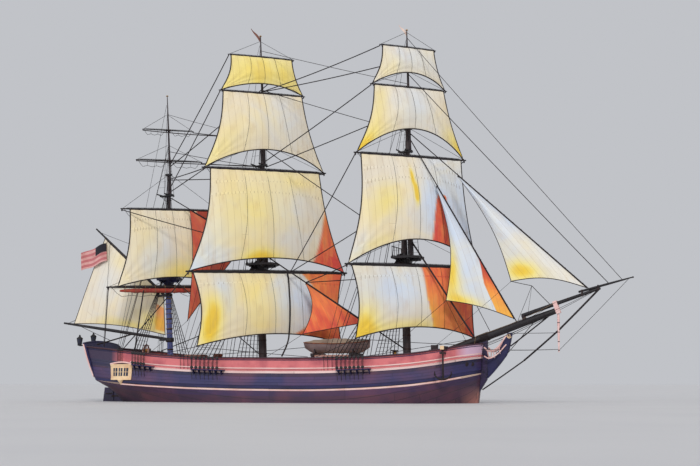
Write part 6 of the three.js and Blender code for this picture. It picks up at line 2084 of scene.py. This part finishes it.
maker, grid, normal, area = cloth_piece(spanker_place, spanker_tones, 60, 52, (0, -1, 0))
spanker = dress(maker.make("canvas_spanker", sailcloth, "spanker_rig", crisp=60), "spanker", slot="canvas")
reach = grid.reshape(-1, 3).max(0) - grid.reshape(-1, 3).min(0)
edge = Maker()
rope_round(edge, grid, 0.036)
edge.make("bolt_rope_spanker", tarred, "spanker_rig")
lacing = Maker(MAST_PLACE["mizzen"])
for k in range(17):
    share = lerp(0.03, 0.86, k / 16)
    loop = ring_round(gaff_root.lerp(gaff_tip, share), (gaff_tip - gaff_root).normalized(),
                      spar_radius(GAFF_RADIUS, share) + 0.012, 13)
    lacing.tube(loop, 0.012, 5)
hoop_radius = mizzen["radius"] + 0.05
for k in range(8):
    height = lerp(6.35, 9.6, k / 7)
    lacing.tube([(-mizzen["behind"] + hoop_radius * cos(t), hoop_radius * sin(t), height + 0.02 * cos(t))
                 for t in np.linspace(0, 2 * pi, 25)], 0.024, 6)
lacing.make("lacing_and_hoops", manila, "spanker_rig")
print("spanker", round(area, 2), "square metres of model")

# %% [markdown]
# The ensign flies from a halyard under the gaff. It has a dark plain canton and pale red bars,
# painted by the flag's own coordinates, and it ripples away from the hoist.

# %% Ensign
CANTON_WIDTH, CANTON_DEPTH = -0.16, 0.8  # the canton ends here, counted from the flag's middle and its top


def flag_paint(tree, coords):
    across, down, _ = split(tree, coords["UV"])
    bars = maths(tree, "LESS_THAN", maths(tree, "PINGPONG", times(tree, down, 2.1), 0.5), 0.25)
    colour = mix(tree, bars, shade(218, 164, 160), shade(192, 112, 116))
    canton = times(tree, maths(tree, "LESS_THAN", across, CANTON_WIDTH),
                   maths(tree, "LESS_THAN", down, CANTON_DEPTH))
    mask = use(tree, grime_effect, Vector=coords["Object"], Scale=3.0, Amount=0.5)[0]
    thread = use(tree, weave_effect, Vector=coords["UV"], Threads=26.0)[0]
    colour = mix(tree, canton, mix(tree, mask, colour, shade(168, 96, 92)), shade(18, 14, 30))
    return colour, (thread, 0.3, 0.004), None


flag_cloth = finish("Flag bunting", flag_paint, 0.8, Sheen_Weight=0.15)
halyard_top = gaff_root.lerp(gaff_tip, 0.83)
hoist = halyard_top + Vector((0, -0.3, -0.3))


def ensign_place(u, v):
    out = u * 2.6
    across = hoist.y - 0.25 * u - 0.14 * sin(u * 7) - 0.06 * sin(13 * u + 2 * v) * u
    return on_mast("mizzen", hoist.x - out, across, hoist.z - 1.7 * v - 0.3 * out + 0.05 * sin(u * 9))


maker, grid, normal, area = cloth_piece(ensign_place, lambda u, v: (0, 0, 0), 44, 20, (0, -1, 0))
ensign = dress(maker.make("ensign_bunting", flag_cloth, "spanker_rig", crisp=60), "ensign", slot="ensign")
min(area, 2.75 * 1.75 * MODEL ** 2)
halyard = Maker(MAST_PLACE["mizzen"])
halyard.tube([halyard_top] + [hoist + Vector((0, 0, up)) for up in (0.03, -0.9, -1.75)], 0.022, 6)
halyard.make("ensign_halyard", manila, "spanker_rig")
print("ensign", round(area, 3))

# %% [markdown]
# The boat's cover is a tarpaulin, stretched over a ridge and drawn down to the gunwale.

# %% Boat cover
def cover_place(u, v):
    x = lerp(-2.9, 3.0, u)
    half, _, gunwale, crown = boat_at(x)
    side = v * 2 - 1
    fall = abs(side) ** 1.6
    sag = 0.02 * sin(u * 38) * sin(pi * v) ** 2
    return BOAT_X + x, side * (half - 0.02), BOAT_Z + lerp(crown - 0.01, gunwale + 0.035, fall) - sag - 0.01


maker, grid, normal, area = cloth_piece(cover_place, lambda u, v: (0.1, 0.0, 0.6), 48, 18, (0, 0, 1))
tarpaulin = finish("Tarpaulin", paint(shade(150, 134, 116), shade(98, 82, 76), 1.6, 0.9), 0.8)
cover = dress(maker.make("boat_cover", tarpaulin, "ship", crisp=60), slot="canvas")
min(area, 6.1 * 2.2 * MODEL ** 2)
print("cover", round(area, 2))

# %% [markdown]
# ## Standing rigging
# Shrouds hold each mast sideways. They come down from the masthead to the channels, where a
# pair of deadeyes and a lanyard tighten each one. Thin ratlines are tied across them as a
# ladder. The ladder is a rule: a grid between four corners, whose long lines become shrouds
# and whose cross lines become ratlines, so one tree makes them all.

# %% Ladder tree
ladder_tree, li, lo = new_tree(
    "Ladder of shrouds", ("Foot Aft", "Vector"), ("Foot Fore", "Vector"), ("Head Aft", "Vector"),
    ("Head Fore", "Vector"), ("Shrouds", "Int"), ("Rungs", "Int"), ("Shroud Radius", "Float"),
    ("Rung Radius", "Float"), ("Material", "Material"))


def between(tree, share, a, b):
    return node(tree, "ShaderNodeMix", {0: share, 4: a, 5: b}, data_type="VECTOR").outputs[1]


grid_mesh = node(ladder_tree, "GeometryNodeMeshGrid",
                 {"Size X": 1.0, "Size Y": 1.0, "Vertices X": li[5], "Vertices Y": li[6]}).outputs[0]
flat = split(ladder_tree, node(ladder_tree, "GeometryNodeInputPosition").outputs[0])
share_across, share_up = (plus(ladder_tree, axis, 0.5) for axis in flat[:2])
net_place = between(ladder_tree, share_up, between(ladder_tree, share_across, li[1], li[2]),
                    between(ladder_tree, share_across, li[3], li[4]))
net = node(ladder_tree, "GeometryNodeSetPosition", {"Geometry": grid_mesh, "Position": net_place}).outputs[0]
ends = node(ladder_tree, "GeometryNodeInputMeshEdgeVertices").outputs
step_apart = maths(ladder_tree, "ABSOLUTE", maths(ladder_tree, "SUBTRACT", ends[0], ends[1]))
upright = maths(ladder_tree, "LESS_THAN", step_apart, 1.5)
joined = node(ladder_tree, "GeometryNodeJoinGeometry")
for chosen, radius, sides in ((upright, li[7], 6), (maths(ladder_tree, "SUBTRACT", 1.0, upright), li[8], 4)):
    picked = node(ladder_tree, "GeometryNodeMeshToCurve", {0: net, 1: chosen}).outputs[0]
    ladder_tree.links.new(tubes_along(ladder_tree, picked, sides, radius), joined.inputs[0])
smoothed = node(ladder_tree, "GeometryNodeSetShadeSmooth", {0: joined.outputs[0]}).outputs[0]
finish_tree(ladder_tree, smoothed, li[9], lo[0])


def ladder(name, feet, heads, shrouds, shroud=0.032, rung=0.013, spacing=0.42):
    corners = zip(("Foot Aft", "Foot Fore", "Head Aft", "Head Fore"), (*feet, *heads))
    inputs = {key: tuple(Vector(point) * MODEL) for key, point in corners}
    rungs = max(3, round((feet[0] - heads[0]).length / spacing))
    inputs.update({"Shrouds": shrouds, "Rungs": rungs, "Material": tarred, "Shroud Radius": shroud * MODEL,
                   "Rung Radius": rung * MODEL})
    return grown(name, [(0, 0, 0)], [], ladder_tree, inputs, "ship")


print("ladder tree", len(ladder_tree.nodes), "nodes")


# %% Lower, topmast and topgallant shrouds
def lower_shrouds(name, mast, side_name, side):
    """From the masthead to the channels, set up with deadeyes, lanyards and chain plates."""
    (start, stop), size, count = mast["channel"], mast["size"], mast["shrouds"]
    clear = 0.5 if name == "mizzen" else 0.2  # room for the lower yard and its sail when braced
    feet = [Vector((x, side * (station(x)["deckWide"] + 0.5), station(x)["deck"] + 0.95))
            for x in (start + 0.1, stop - 0.4 - clear)]
    heads = [on_mast(name, -mast["behind"] + dx, side * 0.26 * size, mast["top"] + 0.35)
             for dx in (-0.3, 0.08 - 0.75 * clear)]
    ladder(f"{name}_shrouds_{side_name}", feet, heads, count, 0.036, 0.014)
    for k in range(count):
        foot = feet[0].lerp(feet[1], k / (count - 1))
        s = station(foot.x)
        low = Vector((foot.x, foot.y, s["deck"] + 0.08))
        plate_foot = Vector((foot.x, side * (s["wide"] + 0.03), s["wale"] + 0.65))
        deadeyes.put("ship", foot, grow=1.25)
        deadeyes.put("ship", low, grow=1.25)
        for shift in (-0.06, 0, 0.06):
            rigging.line("ship", 0.014, [low + Vector((shift, 0, 0)), foot + Vector((shift, 0, 0))])
        rigging.line("ship", 0.024, [low, low + Vector((0, 0, -0.2)), plate_foot], iron)


def topmast_shrouds(name, mast, side_name, side):
    """From the crosstrees to the rim of the top, and on to the mast below it."""
    size = mast["size"]
    count = 4 if size == 1 else 3
    rims = [on_mast(name, x * size, side * 1.5 * size, mast["top"] + 0.1) for x in (-1.2, 0.35)]
    trees = [on_mast(name, x, side * 0.16 * size, mast["trees"] + 0.1) for x in (-0.22, 0.08)]
    ladder(f"{name}_topmast_shrouds_{side_name}", rims, trees, count, 0.026, 0.012, 0.45)
    futtock = on_mast(name, -mast["behind"] * 0.7, side * mast["radius"] * 0.85, mast["top"] - 0.95)
    for k in range(count):
        rim = rims[0].lerp(rims[1], k / (count - 1))
        deadeyes.put("ship", rim + Vector((0, 0, 0.02)), grow=0.75)
        rigging.line("ship", 0.024, [rim + Vector((0, 0, -0.12)), futtock])


def pole_height(mast):
    """Where the topgallant shrouds and a backstay meet the upper mast."""
    return lerp(mast["topHead"], mast["truck"], 0.36)


def topgallant_shrouds(name, mast, side):
    arms = [on_mast(name, x, side * 0.95, mast["trees"] + 0.02) for x in (-0.75, 0.05)]
    pole = on_mast(name, AHEAD, side * 0.05, pole_height(mast))
    below = on_mast(name, 0, side * mast["topmast"] * 0.8, mast["trees"] - 0.85)
    for arm in arms:
        rigging.line("ship", 0.018, [arm, pole])
        rigging.line("ship", 0.018, [arm, below])
    for share in np.linspace(0.12, 0.75, 6):
        rigging.line("ship", 0.01, [arm.lerp(pole, float(share)) for arm in arms])


for name, mast in MASTS.items():
    for side_name, side in SIDES.items():
        lower_shrouds(name, mast, side_name, side)
        topmast_shrouds(name, mast, side_name, side)
        topgallant_shrouds(name, mast, side)
print("shrouds on", len(MASTS), "masts")

# %% [markdown]
# Backstays come down to the after end of the channels. Stays hold the masts from ahead.
# Under the bowsprit, ropes and chains spread by the striker pull against the stays above.

# %% Backstays, stays and the ropes under the bowsprit
for name, mast in MASTS.items():
    start, trees = mast["channel"][0], mast["trees"] + 0.05
    backstays = [(trees, -0.15, 0.03), (trees, -0.5, 0.026), (pole_height(mast), -0.9, 0.02),
                 (mast["truck"] - 0.9, -1.25, 0.016)]
    for side in SIDES.values():
        for height, shift, radius in backstays:
            x = start + (shift if name != "mizzen" else 0.45 * shift - 1.2)
            s = station(x)
            foot = Vector((x, side * (s["deckWide"] + 0.1), s["rail"] - 0.02))
            plate_foot = Vector((x, side * (s["deckWide"] + 0.02), s["deck"] - 0.2))
            ahead = -0.25 if height < mast["topHead"] else AHEAD - 0.05
            rigging.line("ship", radius, [foot, on_mast(name, ahead, side * 0.1, height)])
            rigging.line("ship", 0.024, [foot, plate_foot], iron)
            deadeyes.put("ship", foot, grow=0.7)

STRIKER_LOW, STRIKER_MIDDLE = Vector((STRIKER_X, 0, 4.45)), Vector((STRIKER_X, 0, 6.15))
STAY_ENDS = [
    # upper end, lower end, radius
    (on_mast("fore", AHEAD, 0, 29.3), along(FLY_HEEL, FLY_TIP, 27.77), 0.034),
    (on_mast("fore", AHEAD, 0, 32.6), along(FLY_HEEL, FLY_TIP, 28.9), 0.026),
    (on_mast("main", 0.1, 0, 23.4), on_mast("fore", -0.9, 0, 14.1), 0.04),
    (on_mast("main", AHEAD, 0, 28.85), on_mast("fore", -0.35, 0, 24.1), 0.03),
    (on_mast("main", AHEAD, 0, 32.6), on_mast("fore", AHEAD - 0.12, 0, 28.4), 0.024),
    (on_mast("mizzen", 0.3, 0, 11.3), on_mast("main", -0.95, 0, 4.4), 0.045),
    (on_mast("mizzen", AHEAD, 0, 23.6), on_mast("main", -0.3, 0, 21.6), 0.028),
    (on_mast("mizzen", AHEAD, 0, 27.2), on_mast("main", -0.05, 0, 24.2), 0.02),
    (along(BOOM_HEEL, BOOM_TIP, 26.85) - Vector((0, 0, 0.1)), STRIKER_MIDDLE, 0.085),
    (STRIKER_MIDDLE, Vector((20.45, 0, 3.62)), 0.08),
    (Vector((20.45, 0, 3.62)), Vector((16.8, 0, 1.15)), 0.06),
    (along(FLY_HEEL, FLY_TIP, 29.4) - Vector((0, 0, 0.05)), STRIKER_LOW, 0.02),
    (Vector((22.6, 0, 7.34)), Vector((19.3, 0, 4.85)), 0.06),
    (Vector((21.4, 0, 6.92)), Vector((18.9, 0, 4.1)), 0.03),
    (STRIKER_MIDDLE - Vector((0, 0, 0.2)), Vector((19.46, 0, 5.95)), 0.022),
]
for high_end, low_end, radius in STAY_ENDS:
    rigging.line("ship", radius, sagging(high_end, low_end, 0.004, 6))
for side in SIDES.values():
    striker_guy = STRIKER_LOW + Vector((0, side * 0.05, 0.1))
    rigging.line("ship", 0.02, sagging(striker_guy, (16.7, side * 0.95, 4.6), 0.01, 8))
    sprit_side = along(HEEL, CAP, 23.2) + Vector((0, side * 0.2, -0.1))
    rigging.line("ship", 0.024, sagging(sprit_side, (16.9, side * 1.0, 4.9), 0.02, 8))
    boom_side = along(BOOM_HEEL, BOOM_TIP, 26.9) + Vector((0, side * 0.1, 0))
    rigging.line("ship", 0.018, sagging(boom_side, (16.6, side * 1.45, 4.95), 0.015, 10))
    cap_side, post_top = CAP + Vector((0.05, side * 0.24, 0.75)), (16.55, side * 1.2, 5.7)
    rigging.line("ship", 0.016, sagging(cap_side, post_top, 0.03, 8), manila)
    rigging.line("ship", 0.018, [post_top, (16.45, side * 1.25, 5.02)], manila)
print("stays", len(STAY_ENDS))

# %% [markdown]
# ## Running rigging
# Lifts and sheets of the upper sails ride with the yards. A brace goes from a yardarm to
# another mast or to the rail, so it crosses from a body that turns to one that stands still.
# Such a rope is made in place and is attached to neither body.

# %% Lifts, clew lines and blocks on the yards
def arm_of(name, index, share, up=0.0, back=0.0):
    """A point beside a yard, at a share of its half length. Minus is to starboard."""
    _, height, half, radius, ahead = YARDS[name][index]
    return on_yards(name, ahead - back, share * half, height + up)


for name, rows in YARDS.items():
    body, mast = name + "_yards", MASTS[name]
    lift_tops = [mast["head"] + 0.1, mast["topHead"] + 0.05]
    for index, (yard, height, half, radius, ahead) in enumerate(rows):
        top = lift_tops[index] if index < 2 else min(height + 1.5, mast["truck"] - 0.3)
        top = max(top, height + 0.9)
        block_size = 0.75 if index < 2 else 0.5
        for side in SIDES.values():
            near = on_yards(name, 0.34, side * 0.08, top)
            rigging.line(body, 0.018, [arm_of(name, index, side * 0.95, radius * 0.5), near])
            for share, low in ((0.97, 0.9), (0.07, 1.9)):
                blocks.put(body, arm_of(name, index, side * share, -radius * low, 0.05), grow=block_size)
            if index + 1 < len(rows) and (name != "mizzen" or index == 0):
                row = SAILS[name][index + 1 if name != "mizzen" else 0]
                clew = on_yards(name, ahead, side * row[3], row[4])
                rigging.line(body, 0.026, [clew, arm_of(name, index, side * 0.96, radius * 0.3)])
                rigging.line(body, 0.016, [arm_of(name, index, side * 0.94, -radius, 0.08),
                                           arm_of(name, index, side * 0.05, -radius - 0.12, 0.16)])


# %% Ropes from the ship to the turning yards and spars
def blended(name, still, moving, radius=0.02, sag=0.008, material=None, fixed=0.3):
    """A rope from a point on the ship to one on a body that turns. The fixed share is not used."""
    count = 14
    piece = grown(name, sagging(still, moving, sag, count), [(i, i + 1) for i in range(count)], rope_tree,
                  {"Radius": radius * MODEL, "Sides": 6, "Material": material or tarred})
    tuple(Vector(still).lerp(Vector(moving), fixed) * MODEL)
    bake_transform(piece)


BRACES = [
    # mast, yard, the still ends to starboard and to port
    ("fore", 3, on_mast("main", 0.3, -0.05, 28.7), on_mast("main", 0.3, 0.05, 28.7)),
    ("fore", 2, on_mast("main", 0.25, -0.2, 22.0), on_mast("main", 0.25, 0.2, 21.6)),
    ("fore", 1, Vector((-1.0, -0.06, 11.78)), Vector((-1.0, 0.06, 11.78))),
    ("fore", 0, Vector((0.5, -0.06, 10.78)), Vector((0.5, 0.06, 10.78))),
    ("main", 3, on_mast("mizzen", 0.25, -0.08, 22.3), on_mast("mizzen", 0.25, 0.08, 22.2)),
    ("main", 2, on_mast("mizzen", 0.15, -0.2, 19.9), on_mast("mizzen", 0.15, 0.2, 19.8)),
    ("main", 1, on_mast("mizzen", 0.1, -0.18, 20.9), on_mast("mizzen", 0.1, 0.18, 20.9)),
    ("main", 0, Vector((-16.0, -3.78, 4.8)), Vector((-16.0, 3.78, 4.8))),
    ("mizzen", 3, on_mast("main", -0.3, -0.2, 24.4), on_mast("main", -0.3, 0.2, 24.4)),
    ("mizzen", 2, on_mast("main", -0.3, -0.2, 21.7), on_mast("main", -0.3, 0.2, 21.7)),
    ("mizzen", 1, on_mast("main", -0.9, -0.3, 14.3), on_mast("main", -0.9, 0.3, 14.3)),
    ("mizzen", 0, Vector((-18.1, -3.5, 5.05)), on_mast("main", -0.95, 0.3, 11.0)),
]
for name, index, *still_ends in BRACES:
    for (side_name, side), still in zip(SIDES.items(), still_ends):
        blended(f"{name}_brace_{index}_{side_name}", still, arm_of(name, index, side * 0.97, -0.1, 0.05),
                0.045, 0.006 if index < 3 else 0.012,
                fixed=0.7 if side < 0 and name != "mizzen" else 0.45)
print("braces", len(BRACES) * 2)


# %% Sheets, tacks and the lines of the courses
def rail_point(x, side):
    s = station(x)
    return Vector((x, side * (s["deckWide"] - 0.1), s["rail"] + 0.03))


for name, sheet_x, tack_x in (("fore", 3.2, 15.6), ("main", -12.0, 2.4)):
    row = SAILS[name][0]
    for side_name, side in SIDES.items():
        clew = on_yards(name, YARDS[name][0][4], side * row[3], row[4] - 0.05)
        blended(f"{name}_sheet_{side_name}", rail_point(sheet_x, side), clew, 0.028, 0.004)
        blended(f"{name}_tack_{side_name}", rail_point(tack_x, side), clew, 0.028, 0.004)
blended("crossjack_line", rail_point(-14.7, -1), arm_of("mizzen", 0, -0.465, -0.3, -0.1),
        0.07, 0.0)
course = square_sail(SAILS["main"][0], YARDS["main"])
front = [YARD_PLACE["main"] @ (Vector(course(lerp(0.618, 0.594, v), v)) + Vector((0.1, 0, 0)))
         for v in np.linspace(1, 0, 15)]
foot_end = Vector((-0.05, -4.3, 4.06))
low_part = [foot_end.lerp(front[0], t) + Vector((0.25, -0.2, 0.1)) * sin(pi * t)
            for t in np.linspace(0, 1, 9)[:-1]]
piece = grown("main_course_fall", low_part + front, [(i, i + 1) for i in range(22)], rope_tree,
              {"Radius": 0.075 * MODEL, "Sides": 8, "Material": tarred})
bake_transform(piece)
leech = square_sail(SAILS["fore"][0], YARDS["fore"])(1.0, 0.42)
blended("fore_bowline", Vector((17.5, 0.05, 6.15)), on_yards("fore", *leech), 0.03, 0.004)
print("fall of the main course", len(low_part + front), "points")

# %% [markdown]
# The fore-and-aft sails have sheets to the rail. The boom and the gaff swing, and the ropes that tie
# them to the ship are made the same way, attached to neither body.

# %% Gear of the fore-and-aft sails
JIB_CLEW, STAYSAIL_CLEW, JIB_KNOT = (19.6, -0.75, 10.35), (13.75, -0.4, 8.85), Vector((21.3, -0.42, 9.95))
STAYSAIL_ROPES = [
    # upper end, lower end, radius
    (STAYSAIL_CLEW, (9.3, -3.9, 4.3), 0.02), (STAYSAIL_CLEW, (14.9, 3.1, 4.75), 0.018),
    (JIB_CLEW, JIB_KNOT, 0.028), (JIB_KNOT, (22.75, 0, 8.36), 0.03), (JIB_KNOT, (19.95, 0, 7.0), 0.02),
    (JIB_KNOT, (20.8, 0, 7.35), 0.014), (JIB_CLEW, (13.4, -3.7, 4.6), 0.014),
    ((0.35, -0.3, 6.1), (-1.6, -3.9, 4.05), 0.02), ((-11.2, -0.25, 7.5), (-13.2, -3.7, 4.5), 0.018),
]
for high_end, low_end, radius in STAYSAIL_ROPES:
    rigging.line("ship", radius, sagging(high_end, low_end, 0.006, 8))
BOOM, GAFF = (boom_root, boom_tip), (gaff_root, gaff_tip)
SPANKER_ROPES = [
    # name, still end, the spar and the share of its length at the other end, radius
    ("spanker_sheet", Vector((-19.0, -3.3, 5.25)), BOOM, 0.32, 0.07),
    ("spanker_guy", Vector((-19.5, 0.0, 5.75)), BOOM, 0.86, 0.026),
    ("boom_lift", on_mast("mizzen", -0.6, 0.5, mizzen["top"] + 0.1), BOOM, 0.97, 0.024),
    ("peak_halyard_inner", on_mast("mizzen", -0.45, 0, mizzen["head"] - 0.05), GAFF, 0.5, 0.018),
    ("peak_halyard_outer", on_mast("mizzen", -0.45, 0, mizzen["head"] + 0.4), GAFF, 0.95, 0.018),
    ("vang_starboard", Vector((-18.3, -3.3, 5.12)), GAFF, 0.8, 0.016),
    ("vang_port", Vector((-18.3, 3.3, 5.12)), GAFF, 0.8, 0.016),
]
for name, still, (root, tip), share, radius in SPANKER_ROPES:
    blended(name, still, MAST_PLACE["mizzen"] @ root.lerp(tip, share), radius, 0.004)
print("ropes of the staysails", len(STAYSAIL_ROPES), "and of the spanker", len(SPANKER_ROPES))

# %% [markdown]
# A pennant is a narrow strip of bunting at the truck that shows where the wind comes from. It
# tapers to its end, and a few slow waves are enough at this size. Only the fore mast and the
# main mast carry one.

# %% Pennants at the trucks
def pennant_shape(root, length, tall):
    """The cloth as a function of u, along it, and v, across it."""
    def place(u, v):
        half = tall / 2 * (1 - 0.8 * u)
        return (root.x - 0.06 - 0.55 * length * u, root.y - 0.3 * u - 0.07 * sin(5 * u),
                root.z + 0.75 * length * u + (0.5 - v) * 2 * half + 0.05 * sin(6 * u))
    return place


for name, length, tall, tint, worn in (("main", 1.5, 0.42, shade(122, 74, 60), shade(70, 40, 40)),
                                       ("fore", 1.1, 0.36, shade(236, 214, 200), shade(196, 160, 150))):
    bunting = finish(name.capitalize() + " pennant", paint(tint, worn), 0.8)
    place = pennant_shape(on_mast(name, AHEAD, 0, MASTS[name]["truck"] - 0.35), length, tall)
    maker, grid, normal, area = cloth_piece(place, lambda u, v: (0, 0, 0), 20, 5, (0, -1, 0))
    pennant = maker.make("pennant_" + name, bunting, "ship", crisp=60)
    min(area, 0.82 * length * tall * MODEL ** 2)
    print(pennant.name, round(area, 4))

# %% Grow the collected rigging
rigging.make("rigging")
deadeyes.make("deadeyes")
blocks.make("blocks")
pins.make("belaying_pins")

# %% [markdown]
# ## Stage
# The floor is the plane of the waterline. The camera stands low off the starboard bow, as in
# the photograph, with a long lens. Light is soft and plain: a warm lamp shines from ahead on
# the starboard side and above, and a weaker, cool one from astern on the same side.

# %% Floor and light
FLOOR_HALF = 400
floor_mesh = bpy.data.meshes.new("floor")
corners = [(x * FLOOR_HALF, y * FLOOR_HALF, 0) for x, y in ((-1, -1), (1, -1), (1, 1), (-1, 1))]
floor_mesh.from_pydata(corners, [], [(0, 1, 2, 3)])
floor = bpy.data.objects.new("floor", floor_mesh)
bpy.context.scene.collection.objects.link(floor)
floor_mesh.materials.append(finish("Pale floor", paint(shade(206, 206, 208), shade(200, 200, 203), 0.2), 0.9))
floor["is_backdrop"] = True

world = bpy.data.worlds.new("Studio")
bpy.context.scene.world = world
world.use_nodes = True
sky = world.node_tree.nodes["Background"].inputs
sky["Color"].default_value = (0.86, 0.88, 0.93, 1)
sky["Strength"].default_value = 0.62


def sun_lamp(name, energy, spread, tint, toward):
    lamp = bpy.data.lights.new(name, "SUN")
    lamp.energy, lamp.angle, lamp.color = energy, radians(spread), tint
    obj = bpy.data.objects.new(name, lamp)
    obj.rotation_euler = Vector(toward).to_track_quat("-Z", "Y").to_euler()
    bpy.context.scene.collection.objects.link(obj)


sun_lamp("Key", 1.45, 14, (1.0, 0.96, 0.9), (-0.35, 0.74, -0.58))
sun_lamp("Fill", 0.7, 40, (0.9, 0.94, 1.0), (0.6, 0.7, -0.25))
print("the floor reaches", FLOOR_HALF, "m each way")

# %% Camera
DISTANCE, EYE_HEIGHT, BEARING = 122.45 * MODEL, 1.798 * MODEL, radians(21.658)
YAW, TILT, LENS = radians(2.084), radians(6.296), 69.5
camera = bpy.data.cameras.new("Camera")
camera.lens = LENS
camera.clip_end = 2000  # past the far corner of the floor
eye = bpy.data.objects.new("Camera", camera)
eye.location = (sin(BEARING) * DISTANCE, -cos(BEARING) * DISTANCE, EYE_HEIGHT)
heading = BEARING - YAW
look = Vector((-sin(heading) * cos(TILT), cos(heading) * cos(TILT), sin(TILT)))
eye.rotation_euler = look.to_track_quat("-Z", "Y").to_euler()
bpy.context.scene.collection.objects.link(eye)
bpy.context.scene.camera = eye
bpy.context.scene.view_settings.view_transform = "Standard"
print("camera at", eye.location)

# %% Finish
low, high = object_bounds()
print("visual box", low, high)
